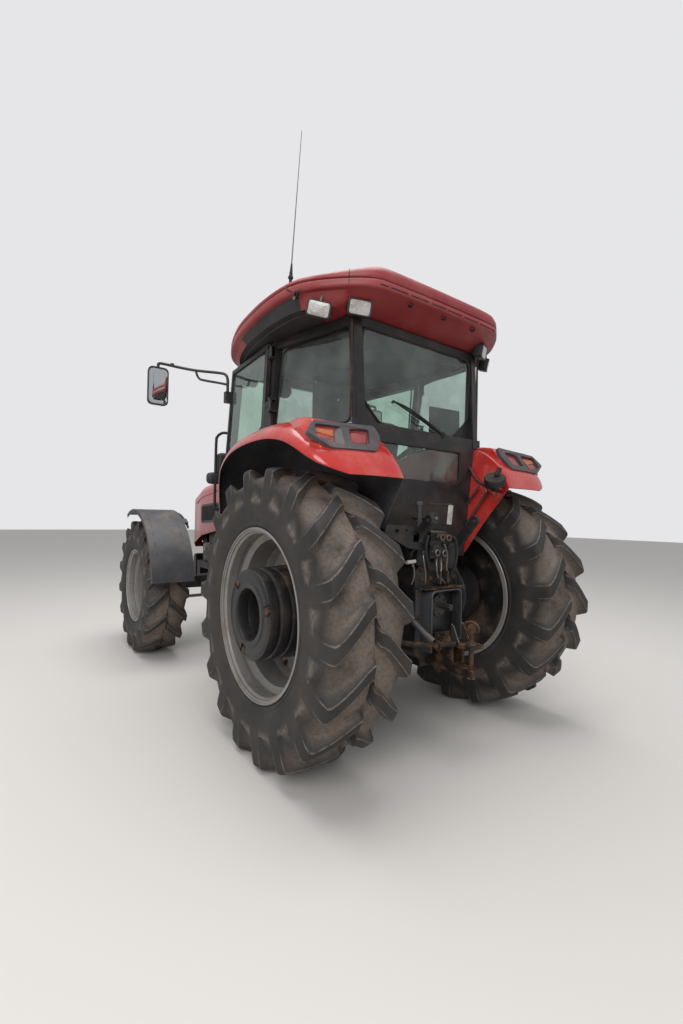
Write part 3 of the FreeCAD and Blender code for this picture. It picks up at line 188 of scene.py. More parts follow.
def insetOutline(corners, distance):
    # draws a flat outline in by a distance, whichever way it runs
    area = sum(a[0] * b[1] - b[0] * a[1] for a, b in zip(corners, corners[1:] + corners[:1]))
    away = distance if area > 0 else -distance
    result = []
    for i in range(len(corners)):
        here = Vector(corners[i])
        before = (here - Vector(corners[i - 1])).normalized()
        after = (Vector(corners[(i + 1) % len(corners)]) - here).normalized()
        left = Vector((-before.y, before.x)) + Vector((-after.y, after.x))
        k = away * 2 / left.length_squared
        result.append(tuple(here + left * k))
    return result


def drawnIn(corners, distance):
    # draws a small outline in towards its middle
    middle = sum((Vector(p) for p in corners), Vector((0, 0))) / len(corners)
    reach = min((Vector(p) - middle).length for p in corners)
    k = 1 - min(distance / reach, 0.9)
    return [tuple(middle + (Vector(p) - middle) * k) for p in corners]


def roundedOutline(corners, radius, steps=4):
    # rounds the corners of a flat outline of (a, b) pairs
    result = []
    count = len(corners)
    for i in range(count):
        here = Vector(corners[i])
        before = Vector(corners[i - 1]) - here
        after = Vector(corners[(i + 1) % count]) - here
        r = radius[i] if isinstance(radius, (list, tuple)) else radius
        reach = min(r, before.length * 0.49, after.length * 0.49)
        if reach <= 0:
            result.append(tuple(here))
            continue
        p = here + before.normalized() * reach
        q = here + after.normalized() * reach
        for k in range(steps + 1):
            t = k / steps
            result.append(tuple(p * (1 - t) ** 2 + here * 2 * t * (1 - t) + q * t ** 2))
    return result


def stepped(edge, steps, at):
    # skin over one outline, drawn in by each step's inset and set at its level
    return loftShape([[at(a, b, level) for a, b in drawnIn(edge, inset)] for inset, level in steps])


def turned(shape, rotation=None, place=(0, 0, 0)):
    points, faces = shape
    spin = rotation if rotation is not None else Matrix.Identity(3)
    offset = Vector(place)
    return [spin @ Vector(p) + offset for p in points], faces


def mirroredShape(shape):
    points, faces = shape
    return [Vector((-p[0], p[1], p[2])) for p in points], [tuple(reversed(f)) for f in faces]


def towards(direction):
    # turns the axis X of a turned shape to this direction
    return Vector(direction).to_track_quat("X", "Z").to_matrix()


def spot(x, y, z):
    # a place measured from the rear axle and the ground
    return Vector((x, y + axleY, z))


def spots(*places):
    return [spot(*p) for p in places]


allFinishes = {}


class Workpiece:
    # one piece of the tractor, put together from shapes
    def __init__(self, name):
        self.name = name
        self.points = []
        self.faces = []
        self.marks = []
        self.finishes = []

    def add(self, shape, finish, both=False):
        if finish not in self.finishes:
            self.finishes.append(finish)
        start = len(self.points)
        points, faces = shape
        self.points += [Vector(p) for p in points]
        self.faces += [tuple(i + start for i in face) for face in faces]
        self.marks += [self.finishes.index(finish)] * len(faces)
        if both:
            self.add(mirroredShape(shape), finish)
        return self

    def block(self, lo, hi, finish, both=False):
        return self.add(blockShape(lo, hi), finish, both)

    def bar(self, path, radius, finish, sides=12, both=False):
        return self.add(tubeShape(path, radius, sides), finish, both)

    def turn(self, profile, centre, finish, axis=(1, 0, 0), steps=48, both=False):
        return self.add(turned(latheShape(profile, steps), towards(axis), centre), finish, both)

    def disc(self, centre, axis, radius, length, finish, steps=32, both=False):
        a = Vector(axis).normalized()
        ends = [Vector(centre), Vector(centre) + a * length]
        return self.add(tubeShape(ends, radius, steps), finish, both)

    def make(self, body, slot, replaces=(), bevel=0.0, segments=2, subdivide=0, smooth=True, sharp=38):
        mesh = bpy.data.meshes.new(self.name)
        mesh.from_pydata(self.points, [], self.faces)
        for finish in self.finishes:
            mesh.materials.append(allFinishes[finish])
        mesh.polygons.foreach_set("material_index", self.marks)
        work = bmesh.new()
        work.from_mesh(mesh)
        bmesh.ops.remove_doubles(work, verts=work.verts, dist=0.00002)
        bmesh.ops.recalc_face_normals(work, faces=work.faces)
        work.to_mesh(mesh)
        work.free()
        return place(mesh, self.name, body, slot, replaces, bevel, segments, subdivide, smooth, sharp)


def place(mesh, name, body, slot, replaces=(), bevel=0.0, segments=2, subdivide=0, smooth=True, sharp=38):
    piece = bpy.data.objects.new(name, mesh)
    bpy.context.collection.objects.link(piece)
    if smooth:
        mesh.polygons.foreach_set("use_smooth", [True] * len(mesh.polygons))
        if not subdivide:
            mesh.set_sharp_from_angle(angle=radians(sharp))
    if bevel:
        mod = piece.modifiers.new("Bevel", "BEVEL")
        mod.width = bevel
        mod.segments = segments
        mod.limit_method = "ANGLE"
        mod.angle_limit = radians(sharp)
        mod.harden_normals = True
    if subdivide:
        mod = piece.modifiers.new("Subdivision", "SUBSURF")
        mod.levels = subdivide
        mod.render_levels = subdivide
    if replaces:
        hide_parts(*replaces)
    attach(piece, body)
    return piece


def cadMesh(node):
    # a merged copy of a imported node's triangles
    mesh = frame["nodes"][node].data.copy()
    work = bmesh.new()
    work.from_mesh(mesh)
    bmesh.ops.remove_doubles(work, verts=work.verts, dist=0.00005)
    bmesh.ops.dissolve_limit(work, angle_limit=radians(1.2), verts=work.verts, edges=work.edges)
    bmesh.ops.recalc_face_normals(work, faces=work.faces)
    work.to_mesh(mesh)
    work.free()
    return mesh


def roundedCopy(node, finish, slot, bevel=0.002, segments=2, sharp=38):
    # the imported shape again, with worn corners in place of knife edges
    mesh = cadMesh(node)
    mesh.name = node + ".dressed"
    mesh.materials.clear()
    mesh.materials.append(allFinishes[finish])
    mesh.polygons.foreach_set("material_index", [0] * len(mesh.polygons))
    return place(mesh, node + ".dressed", bodyOf[node], slot, (node,), bevel, segments, sharp=sharp)


def repeatTree(name):
    # instances one item on the points of a guide mesh, turned to each point's own direction
    tree = bpy.data.node_groups.new(name, "GeometryNodeTree")
    face = tree.interface
    face.new_socket("Guide", in_out="INPUT", socket_type="NodeSocketGeometry")
    face.new_socket("Item", in_out="INPUT", socket_type="NodeSocketObject")
    face.new_socket("Size", in_out="INPUT", socket_type="NodeSocketFloat").default_value = 1.0
    face.new_socket("Finish", in_out="INPUT", socket_type="NodeSocketMaterial")
    face.new_socket("Result", in_out="OUTPUT", socket_type="NodeSocketGeometry")
    source = addNode(tree, "NodeGroupInput")
    item = addNode(tree, "GeometryNodeObjectInfo", {"Object": source.outputs["Item"]})
    facing = addNode(tree, "GeometryNodeInputNamedAttribute", {"Name": "facing"}, data_type="FLOAT_VECTOR")
    turn = addNode(tree, "FunctionNodeAlignRotationToVector", {"Vector": facing.outputs["Attribute"]},
                   axis="X")
    spread = addNode(tree, "GeometryNodeInstanceOnPoints", {
        "Points": source.outputs["Guide"], "Instance": item.outputs["Geometry"],
        "Rotation": turn.outputs["Rotation"], "Scale": source.outputs["Size"]})
    real = addNode(tree, "GeometryNodeRealizeInstances", {"Geometry": spread.outputs["Instances"]})
    paint = addNode(tree, "GeometryNodeSetMaterial", {
        "Geometry": real.outputs["Geometry"], "Material": source.outputs["Finish"]})
    addNode(tree, "NodeGroupOutput", {"Result": paint.outputs["Geometry"]})
    return tree


def wheelTree(name):
    # turns one pitch of a round piece about the axis X as many times as it takes
    tree = bpy.data.node_groups.new(name, "GeometryNodeTree")
    face = tree.interface
    face.new_socket("Pitch", in_out="INPUT", socket_type="NodeSocketGeometry")
    face.new_socket("Count", in_out="INPUT", socket_type="NodeSocketInt").default_value = 12
    face.new_socket("Start", in_out="INPUT", socket_type="NodeSocketFloat").default_value = 0.0
    face.new_socket("Merge", in_out="INPUT", socket_type="NodeSocketFloat").default_value = 0.0002
    face.new_socket("Finish", in_out="INPUT", socket_type="NodeSocketMaterial")
    face.new_socket("Result", in_out="OUTPUT", socket_type="NodeSocketGeometry")
    source = addNode(tree, "NodeGroupInput")
    starts = addNode(tree, "GeometryNodePoints", {"Count": source.outputs["Count"], "Position": (0, 0, 0)})
    index = addNode(tree, "GeometryNodeInputIndex")
    step = addNode(tree, "ShaderNodeMath", {0: 2 * pi, 1: source.outputs["Count"]}, operation="DIVIDE")
    angle = addNode(tree, "ShaderNodeMath", {
        0: index.outputs["Index"], 1: step.outputs[0], 2: source.outputs["Start"]}, operation="MULTIPLY_ADD")
    turn = addNode(tree, "ShaderNodeCombineXYZ", {"X": angle.outputs[0]})
    spread = addNode(tree, "GeometryNodeInstanceOnPoints", {
        "Points": starts.outputs["Points"], "Instance": source.outputs["Pitch"],
        "Rotation": turn.outputs["Vector"]})
    real = addNode(tree, "GeometryNodeRealizeInstances", {"Geometry": spread.outputs["Instances"]})
    weld = addNode(tree, "GeometryNodeMergeByDistance", {
        "Geometry": real.outputs["Geometry"], "Distance": source.outputs["Merge"]})
    paint = addNode(tree, "GeometryNodeSetMaterial", {
        "Geometry": weld.outputs["Geometry"], "Material": source.outputs["Finish"]})
    addNode(tree, "NodeGroupOutput", {"Result": paint.outputs["Geometry"]})
    return tree


def grow(obj, tree, inputs):
    # runs a node tree on an object and returns its result as a plain mesh
    mod = obj.modifiers.new("Nodes", "NODES")
    mod.node_group = tree
    for item in tree.interface.items_tree:
        if item.in_out == "INPUT" and item.name in inputs:
            mod[item.identifier] = inputs[item.name]
    bpy.context.view_layer.update()
    graph = bpy.context.evaluated_depsgraph_get()
    result = bpy.data.meshes.new_from_object(obj.evaluated_get(graph))
    obj.modifiers.remove(mod)
    return result


def scratch(name, points, faces=()):
    mesh = bpy.data.meshes.new(name)
    mesh.from_pydata(points, [], faces)
    obj = bpy.data.objects.new(name, mesh)
    bpy.context.collection.objects.link(obj)
    return obj


def forget(*objects):
    for obj in objects:
        bpy.data.objects.remove(obj, do_unlink=True)


repeatNodes = repeatTree("repeatOnPoints")
wheelNodes = wheelTree("repeatRoundAxle")


def repeated(name, shape, places, finish, body, slot, size=1.0, bevel=0.0, subdivide=0):
    # places are (place, facing) pairs; the item is modelled facing X
    item = scratch(name + ".item", *shape)
    bmeshClean(item.data)
    guide = scratch(name + ".guide", [p for p, f in places])
    facing = guide.data.attributes.new("facing", "FLOAT_VECTOR", "POINT")
    facing.data.foreach_set("vector", [c for p, f in places for c in Vector(f).normalized()])
    mesh = grow(guide, repeatNodes, {"Item": item, "Size": size, "Finish": allFinishes[finish]})
    forget(item, guide)
    mesh.name = name
    return place(mesh, name, body, slot, (), bevel, 2, subdivide)


def bmeshClean(mesh):
    work = bmesh.new()
    work.from_mesh(mesh)
    bmesh.ops.remove_doubles(work, verts=work.verts, dist=0.00001)
    bmesh.ops.recalc_face_normals(work, faces=work.faces)
    work.to_mesh(mesh)
    work.free()


def boltShape(across=0.024, height=0.012, sides=6, washer=0.0):
    # a bolt head facing X, standing on the origin
    r = across / sqrt(3) if sides == 6 else across / sqrt(2)
    rings = [(-0.003, r), (height * 0.8, r), (height, r * 0.86)]
    points, faces = [], []
    for x, q in rings:
        points += [(x, q * cos(2 * pi * k / sides), q * sin(2 * pi * k / sides)) for k in range(sides)]
    for i in range(len(rings) - 1):
        for k in range(sides):
            j = (k + 1) % sides
            faces.append((i * sides + k, i * sides + j, (i + 1) * sides + j, (i + 1) * sides + k))
    faces.append(tuple(reversed(range(sides))))
    faces.append(tuple(range(len(points) - sides, len(points))))
    if washer:
        start = len(points)
        more, rim = latheShape([(-0.003, 0.001), (-0.003, washer), (0.003, washer), (0.003, 0.001)], 16)
        points += more
        faces += [tuple(i + start for i in f) for f in rim]
    return points, faces


def ringSpots(centre, radius, count, start=0.0, facing=(1, 0, 0)):
    # places on a circle about an axis along X
    x, y, z = centre
    angles = [start + 2 * pi * k / count for k in range(count)]
    return [((x, y + radius * cos(a), z + radius * sin(a)), facing) for a in angles]


# finishes: each starts from the real material, its colours given as sRGB hex
def finishTree(name, colour, roughness, metallic=0.0, coat=0.0):
    material = bpy.data.materials.new(name)
    material.use_nodes = True
    tree = material.node_tree
    tree.nodes.clear()
    shader = addNode(tree, "ShaderNodeBsdfPrincipled", {
        "Base Color": hexColour(colour), "Roughness": roughness, "Metallic": metallic, "Coat Weight": coat})
    shader.inputs["Coat Roughness"].default_value = 0.08
    addNode(tree, "ShaderNodeOutputMaterial", {"Surface": shader})
    allFinishes[name] = material
    point = addNode(tree, "ShaderNodeTexCoord").outputs["Object"]
    return tree, shader, point


def speckle(tree, point, scale, low, high, strength=1.0, detail=4.0):
    # cloudy patches: nothing below low, full strength above high
    field = addNode(tree, "ShaderNodeTexNoise", {"Vector": point, "Scale": scale, "Detail": detail,
                                                 "Roughness": 0.64})
    return addNode(tree, "ShaderNodeMapRange", {"Value": field, "From Min": low, "From Max": high,
                                                "To Max": strength}, interpolation_type="SMOOTHSTEP")


def settledDust(tree, point, groundHeight):
    # thick on faces that look up and on everything near the wheels
    normal = addNode(tree, "ShaderNodeNewGeometry").outputs["Normal"]
    facing = addNode(tree, "ShaderNodeSeparateXYZ", {0: normal}).outputs["Z"]
    height = addNode(tree, "ShaderNodeSeparateXYZ", {0: point}).outputs["Z"]
    above = addNode(tree, "ShaderNodeMapRange", {"Value": facing, "From Min": 0.15, "From Max": 0.9,
                                                 "To Min": 0.18, "To Max": 0.66})
    splash = addNode(tree, "ShaderNodeMapRange", {"Value": height, "From Min": groundHeight,
                                                  "From Max": groundHeight - 0.9, "To Max": 0.45})
    return addNode(tree, "ShaderNodeMath", {0: above, 1: splash}, operation="ADD")


def layColours(tree, base, *layers):
    # paints each (mask, colour) over the last
    below = base
    for mask, colour in layers:
        mix = addNode(tree, "ShaderNodeMix", {0: mask}, data_type="RGBA")
        for socket, value in ((mix.inputs[6], below), (mix.inputs[7], colour)):
            if isinstance(value, str):
                socket.default_value = hexColour(value)
            else:
                tree.links.new(value, socket)
        below = mix.outputs[2]
    return below


def pebbled(tree, shader, point, scale, depth, strength=1.0):
    grain = addNode(tree, "ShaderNodeTexNoise", {"Vector": point, "Scale": scale, "Detail": 3.0})
    bump = addNode(tree, "ShaderNodeBump", {"Height": grain.outputs["Fac"], "Distance": depth,
                                            "Strength": strength})
    tree.links.new(bump.outputs["Normal"], shader.inputs["Normal"])


def weathered(name, colour, shade, dust, rough, metal, coat, patches, spread, dustiness, splash, grain):
    # paint, plastic or steel that stands outdoors
    tree, shader, point = finishTree(name, colour, rough, metal, coat)
    low, high = patches
    settled = settledDust(tree, point, splash)
    cloud = speckle(tree, point, spread, low, high, settled)
    fine = speckle(tree, point, spread * 6, low + 0.04, high, cloud, 6.0)
    both = addNode(tree, "ShaderNodeMath", {0: cloud, 1: fine}, operation="ADD")
    dusty = addNode(tree, "ShaderNodeMath", {0: both, 1: dustiness}, operation="MULTIPLY", use_clamp=True)
    drift = speckle(tree, point, 2.3, 0.35, 0.65)
    painted = layColours(tree, colour, (drift, shade), (dusty, dust))
    tree.links.new(painted, shader.inputs["Base Color"])
    dulled = addNode(tree, "ShaderNodeMapRange",
                     {"Value": dusty, "To Min": rough, "To Max": min(rough + 0.45, 0.95)})
    tree.links.new(dulled.outputs[0], shader.inputs["Roughness"])
    grainSize, depth = grain
    pebbled(tree, shader, point, 1.0 / grainSize, depth)


# colour, its darker shade and the dust on it; roughness, metal, coat; the dust's patches (from, to),
# how fine they are, how much dust and up to what height; grain (size, depth) in metres
weatheredLook = {
    # gloss enamel on pressed steel: deep red under a coat, and the dust only dulls its top
    "redEnamel": ("#bd231d", "#ad1e1a", "#bd8f82", 0.24, 0.0, 0.6, (0.38, 0.75), 3.0, 0.75, 1.1,
                  (0.004, 0.00004)),
    # moulded roof cap: red bleached by the sun, chalky where it faces the sky
    "bleachedRoof": ("#85262a", "#8f3033", "#b98880", 0.42, 0.0, 0.0, (0.34, 0.78), 2.4, 0.66, -1.0,
                     (0.003, 0.0001)),
    # baked black paint on the cab's steel, brown dust in its corners
    "cabPaint": ("#1a191a", "#222021", "#6c5948", 0.4, 0.0, 0.0, (0.42, 0.68), 5.0, 0.8, 1.4,
                 (0.004, 0.0002)),
    # black chassis paint, oily and splashed
    "chassisPaint": ("#171617", "#1f1d1c", "#59483a", 0.48, 0.0, 0.0, (0.4, 0.66), 6.0, 1.2, 1.5,
                     (0.011, 0.0006)),
    # sand-cast iron under black paint: a pebbled skin, about 7 mm from lump to lump
    "castIron": ("#1b1a1b", "#242325", "#6b5a4b", 0.44, 0.0, 0.0, (0.45, 0.72), 5.0, 0.8, 1.0,
                 (0.007, 0.0008)),
    # black polypropylene guards, greyed by the sun
    "guardPlastic": ("#353538", "#424246", "#8d7c6c", 0.5, 0.0, 0.0, (0.42, 0.74), 4.0, 0.7, 0.9,
                     (0.0024, 0.0002)),
    # grained black ABS: a leather-like grain of 2 mm
    "grainedPlastic": ("#222224", "#2b2b2d", "#75675b", 0.52, 0.0, 0.0, (0.45, 0.74), 6.0, 0.55, 0.8,
                       (0.002, 0.00025)),
    # dark grey ABS round the tail lamps
    "bezelPlastic": ("#4c474b", "#423e42", "#8d7c74", 0.45, 0.0, 0.0, (0.45, 0.74), 6.0, 0.55, 0.8,
                     (0.002, 0.0002)),
    # silver wheel enamel, dulled by splashed soil
    "silverPaint": ("#94918e", "#84807c", "#76675a", 0.36, 0.3, 0.0, (0.46, 0.74), 6.0, 0.8, 1.9,
                    (0.004, 0.0001)),
    # steel that is handled or rubbed: brown, with light rust
    "rustedSteel": ("#4a392e", "#33271f", "#6e503a", 0.62, 0.4, 0.0, (0.38, 0.64), 14.0, 1.2, 3.0,
                    (0.008, 0.0006)),
    # thick drawbar plate, dark brown with old rust
    "brownSteel": ("#2e231c", "#1d1713", "#6d503a", 0.6, 0.3, 0.0, (0.42, 0.68), 12.0, 1.2, 2.6,
                   (0.008, 0.0006)),
    # zinc-plated couplers and pipes
    "zincSteel": ("#8b8780", "#6f6a63", "#6b5846", 0.34, 0.8, 0.0, (0.45, 0.68), 16.0, 0.9, 2.2,
                  (0.005, 0.0001)),
    # exhaust steel, browned by heat
    "hotSteel": ("#3a322d", "#52433a", "#6e4f3a", 0.48, 0.6, 0.0, (0.38, 0.62), 9.0, 0.8, 3.0,
                 (0.006, 0.0003)),
    # soft black rubber: seals, hoses, cables
    "sealRubber": ("#111112", "#19191a", "#5b4d42", 0.68, 0.0, 0.0, (0.45, 0.72), 9.0, 0.6, 1.2,
                   (0.003, 0.0002)),
    # satin black paint on the switch panel
    "panelPaint": ("#3a3a3b", "#434344", "#75695f", 0.5, 0.0, 0.0, (0.45, 0.74), 6.0, 0.5, 0.8,
                   (0.003, 0.0002)),
}
for name, look in weatheredLook.items():
    weathered(name, *look)


def tyreFinish():
    # natural rubber gone grey: soil dust lies in the pockets, the bars' edges are scuffed pale
    tree, shader, point = finishTree("tyreRubber", "#2a2725", 0.72)
    worn = {key: addNode(tree, "ShaderNodeAttribute", attribute_name=key).outputs["Fac"]
            for key in ("pocket", "edge", "wall")}
    mottle = speckle(tree, point, 5.0, 0.33, 0.68)
    dustPatch = speckle(tree, point, 4.2, 0.22, 0.6, worn["pocket"], 6.0)
    dustGrain = speckle(tree, point, 60.0, 0.2, 0.62, dustPatch, 5.0)
    film = speckle(tree, point, 3.0, 0.35, 0.75, worn["wall"], 6.0)
    thinFilm = addNode(tree, "ShaderNodeMath", {0: film, 1: 0.42}, operation="MULTIPLY")
    scuff = speckle(tree, point, 38.0, 0.25, 0.65, worn["edge"], 5.0)
    colour = layColours(tree, "#232120", (mottle, "#312e2c"), (dustPatch, "#554a42"), (dustGrain, "#75695f"),
                        (thinFilm, "#4a423c"), (scuff, "#7a7068"))
    tree.links.new(colour, shader.inputs["Base Color"])
    pebbled(tree, shader, point, 120.0, 0.0012, 0.7)


def glassFinish(name, tint, film, roughness=0.02):
    # toughened glass with a pale film: partly dust, partly a painted reflection of the sky that lightens the
    # panes
    tree, shader, point = finishTree(name, tint, roughness)
    shader.inputs["Transmission Weight"].default_value = 1.0
    shader.inputs["IOR"].default_value = 1.45
    # this pale diffuse colour is dust and painted reflection together: it lightens the glass as the sky's
    # reflection would
    dust = addNode(tree, "ShaderNodeBsdfDiffuse", {"Color": hexColour("#a9b0ab")})
    cloud = speckle(tree, point, 3.5, 0.3, 0.8, film, 6.0)
    mix = addNode(tree, "ShaderNodeMixShader", {0: cloud, 1: shader, 2: dust})
    output = tree.nodes["Material Output"]
    tree.links.new(mix.outputs[0], output.inputs["Surface"])


def lensFinish(name, colour, deep, ribs):
    # moulded acrylic lens: small optics behind a clear face
    tree, shader, point = finishTree(name, colour, 0.12, coat=1.0)
    optics = addNode(tree, "ShaderNodeTexVoronoi", {"Vector": point, "Scale": ribs})
    bump = addNode(tree, "ShaderNodeBump", {"Height": optics.outputs["Distance"], "Distance": 0.003,
                                            "Strength": 0.6})
    tree.links.new(bump.outputs["Normal"], shader.inputs["Normal"])
    cloud = speckle(tree, point, 18.0, 0.35, 0.75)
    tree.links.new(layColours(tree, colour, (cloud, deep)), shader.inputs["Base Color"])


def clothFinish():
    # woven seat cover: threads 2.5 mm apart, drawn four times as coarse so that they show
    tree, shader, point = finishTree("wovenCloth", "#2b2c30", 0.9)
    shader.inputs["Sheen Weight"].default_value = 0.35
    shader.inputs["Sheen Roughness"].default_value = 0.5
    warp = addNode(tree, "ShaderNodeTexWave", {"Vector": point, "Scale": 32.0}, bands_direction="X")
    weft = addNode(tree, "ShaderNodeTexWave", {"Vector": point, "Scale": 32.0}, bands_direction="DIAGONAL")
    weave = addNode(tree, "ShaderNodeMath", {0: warp.outputs["Fac"], 1: weft.outputs["Fac"]},
                    operation="MAXIMUM")
    soiled = speckle(tree, point, 6.0, 0.4, 0.8, 0.3)
    colour = layColours(tree, "#1c1d20", (weave, "#3a3b40"), (soiled, "#6b6258"))
    tree.links.new(colour, shader.inputs["Base Color"])
    bump = addNode(tree, "ShaderNodeBump", {"Height": weave, "Distance": 0.0012, "Strength": 0.8})
    tree.links.new(bump.outputs["Normal"], shader.inputs["Normal"])


tyreFinish()
# film amounts: dust together with a painted reflection of the sky on the panes
glassFinish("tintedGlass", "#d6e4de", 0.2)
glassFinish("doorGlass", "#c6e2d2", 0.16)
lensFinish("amberLens", "#c8641c", "#8a3f17", 260.0)
lensFinish("redLens", "#a13232", "#6b1c1f", 260.0)
lensFinish("reflector", "#b9b4ae", "#857d76", 120.0)
clothFinish()
finishTree("mirrorGlass", "#c9ccce", 0.03, 1.0)
finishTree("brownShade", "#2b211b", 0.6)
finishTree("yellowGrip", "#b79b22", 0.5)
print("finishes ready:", len(allFinishes))


# camera, floor and light
camera = {"place": (2.321, 3.849, 1.444), "yaw": -36.34, "pitch": 0.643, "roll": 1.134, "lens": 16.39}
yaw, pitch, roll = (radians(camera[k]) for k in ("yaw", "pitch", "roll"))
ahead = Vector((sin(yaw) * cos(pitch), -cos(yaw) * cos(pitch), sin(pitch)))
levelRight = ahead.cross(Vector((0, 0, 1))).normalized()
levelUp = levelRight.cross(ahead)
tiltRight = levelRight * cos(roll) + levelUp * sin(roll)
tiltUp = levelUp * cos(roll) - levelRight * sin(roll)
lensData = bpy.data.cameras.new("photoCamera")
lensData.sensor_width = 36.0
lensData.lens = camera["lens"]
lensData.clip_start = 0.02
lensData.clip_end = 200.0
viewer = bpy.data.objects.new("photoCamera", lensData)
turnedView = Matrix((tiltRight, tiltUp, -ahead)).transposed().to_4x4()
viewer.matrix_world = Matrix.Translation(camera["place"]) @ turnedView
bpy.context.collection.objects.link(viewer)
bpy.context.scene.camera = viewer
bpy.context.scene.view_settings.view_transform = "Standard"

finishTree("paleFloor", "#cfcbc6", 0.85)
floor = scratch("studioFloor", [(-40, -40, 0), (40, -40, 0), (40, 40, 0), (-40, 40, 0)], [(0, 1, 2, 3)])
floor.data.materials.append(allFinishes["paleFloor"])

lights = {"world": 0.62, "sky": 240.0, "key": 190.0}
world = bpy.data.worlds.new("softRoom")
bpy.context.scene.world = world
world.use_nodes = True
worldTree = world.node_tree
worldTree.nodes.clear()
seen = addNode(worldTree, "ShaderNodeLightPath")
backdrop = addNode(worldTree, "ShaderNodeBackground", {"Color": hexColour("#e6e6e8"), "Strength": 1.0})
room = addNode(worldTree, "ShaderNodeBackground",
               {"Color": hexColour("#f1f3f6"), "Strength": lights["world"]})
either = addNode(worldTree, "ShaderNodeMath", {0: seen.outputs["Is Camera Ray"],
                                               1: seen.outputs["Is Transmission Ray"]}, operation="MAXIMUM")
pick = addNode(worldTree, "ShaderNodeMixShader", {0: either, 1: room, 2: backdrop})
addNode(worldTree, "ShaderNodeOutputWorld", {"Surface": pick})


def softLamp(name, where, aim, size, power):
    data = bpy.data.lights.new(name, "AREA")
    data.shape = "DISK"
    data.size = size
    data.energy = power
    lamp = bpy.data.objects.new(name, data)
    lamp.location = where
    lamp.rotation_euler = (Vector(aim) - Vector(where)).to_track_quat("-Z", "Y").to_euler()
    bpy.context.collection.objects.link(lamp)


softLamp("skyPanel", (0.5, 0.5, 8.5), (0, 0, 1), 7.0, lights["sky"] * 2.2)
softLamp("keyPanel", (6.0, 6.5, 5.5), (0.2, 0.6, 1.2), 5.0, lights["key"] * 1.6)
print("camera, floor and light ready")


# tyres: one pitch of tread, from the centre line to the bead, turned round the axle
rearTyre = {"centre": (0.875, axleY, 0.868), "half": 0.25, "tip": 0.868, "bar": 0.046, "bars": 18,
            "flange": 0.508, "seat": 0.4826, "rimHalf": 0.23, "sweep": 13.5, "top": (0.029, 0.041),
            "pocketEnd": 0.676, "start": -90.0}
frontTyre = {"centre": (0.9775, frontY, 0.688), "half": 0.195, "tip": 0.688, "bar": 0.038, "bars": 16,
             "flange": 0.378, "seat": 0.3556, "rimHalf": 0.175, "sweep": 14.5, "top": (0.024, 0.034),
             "pocketEnd": 0.52, "start": -90.0}


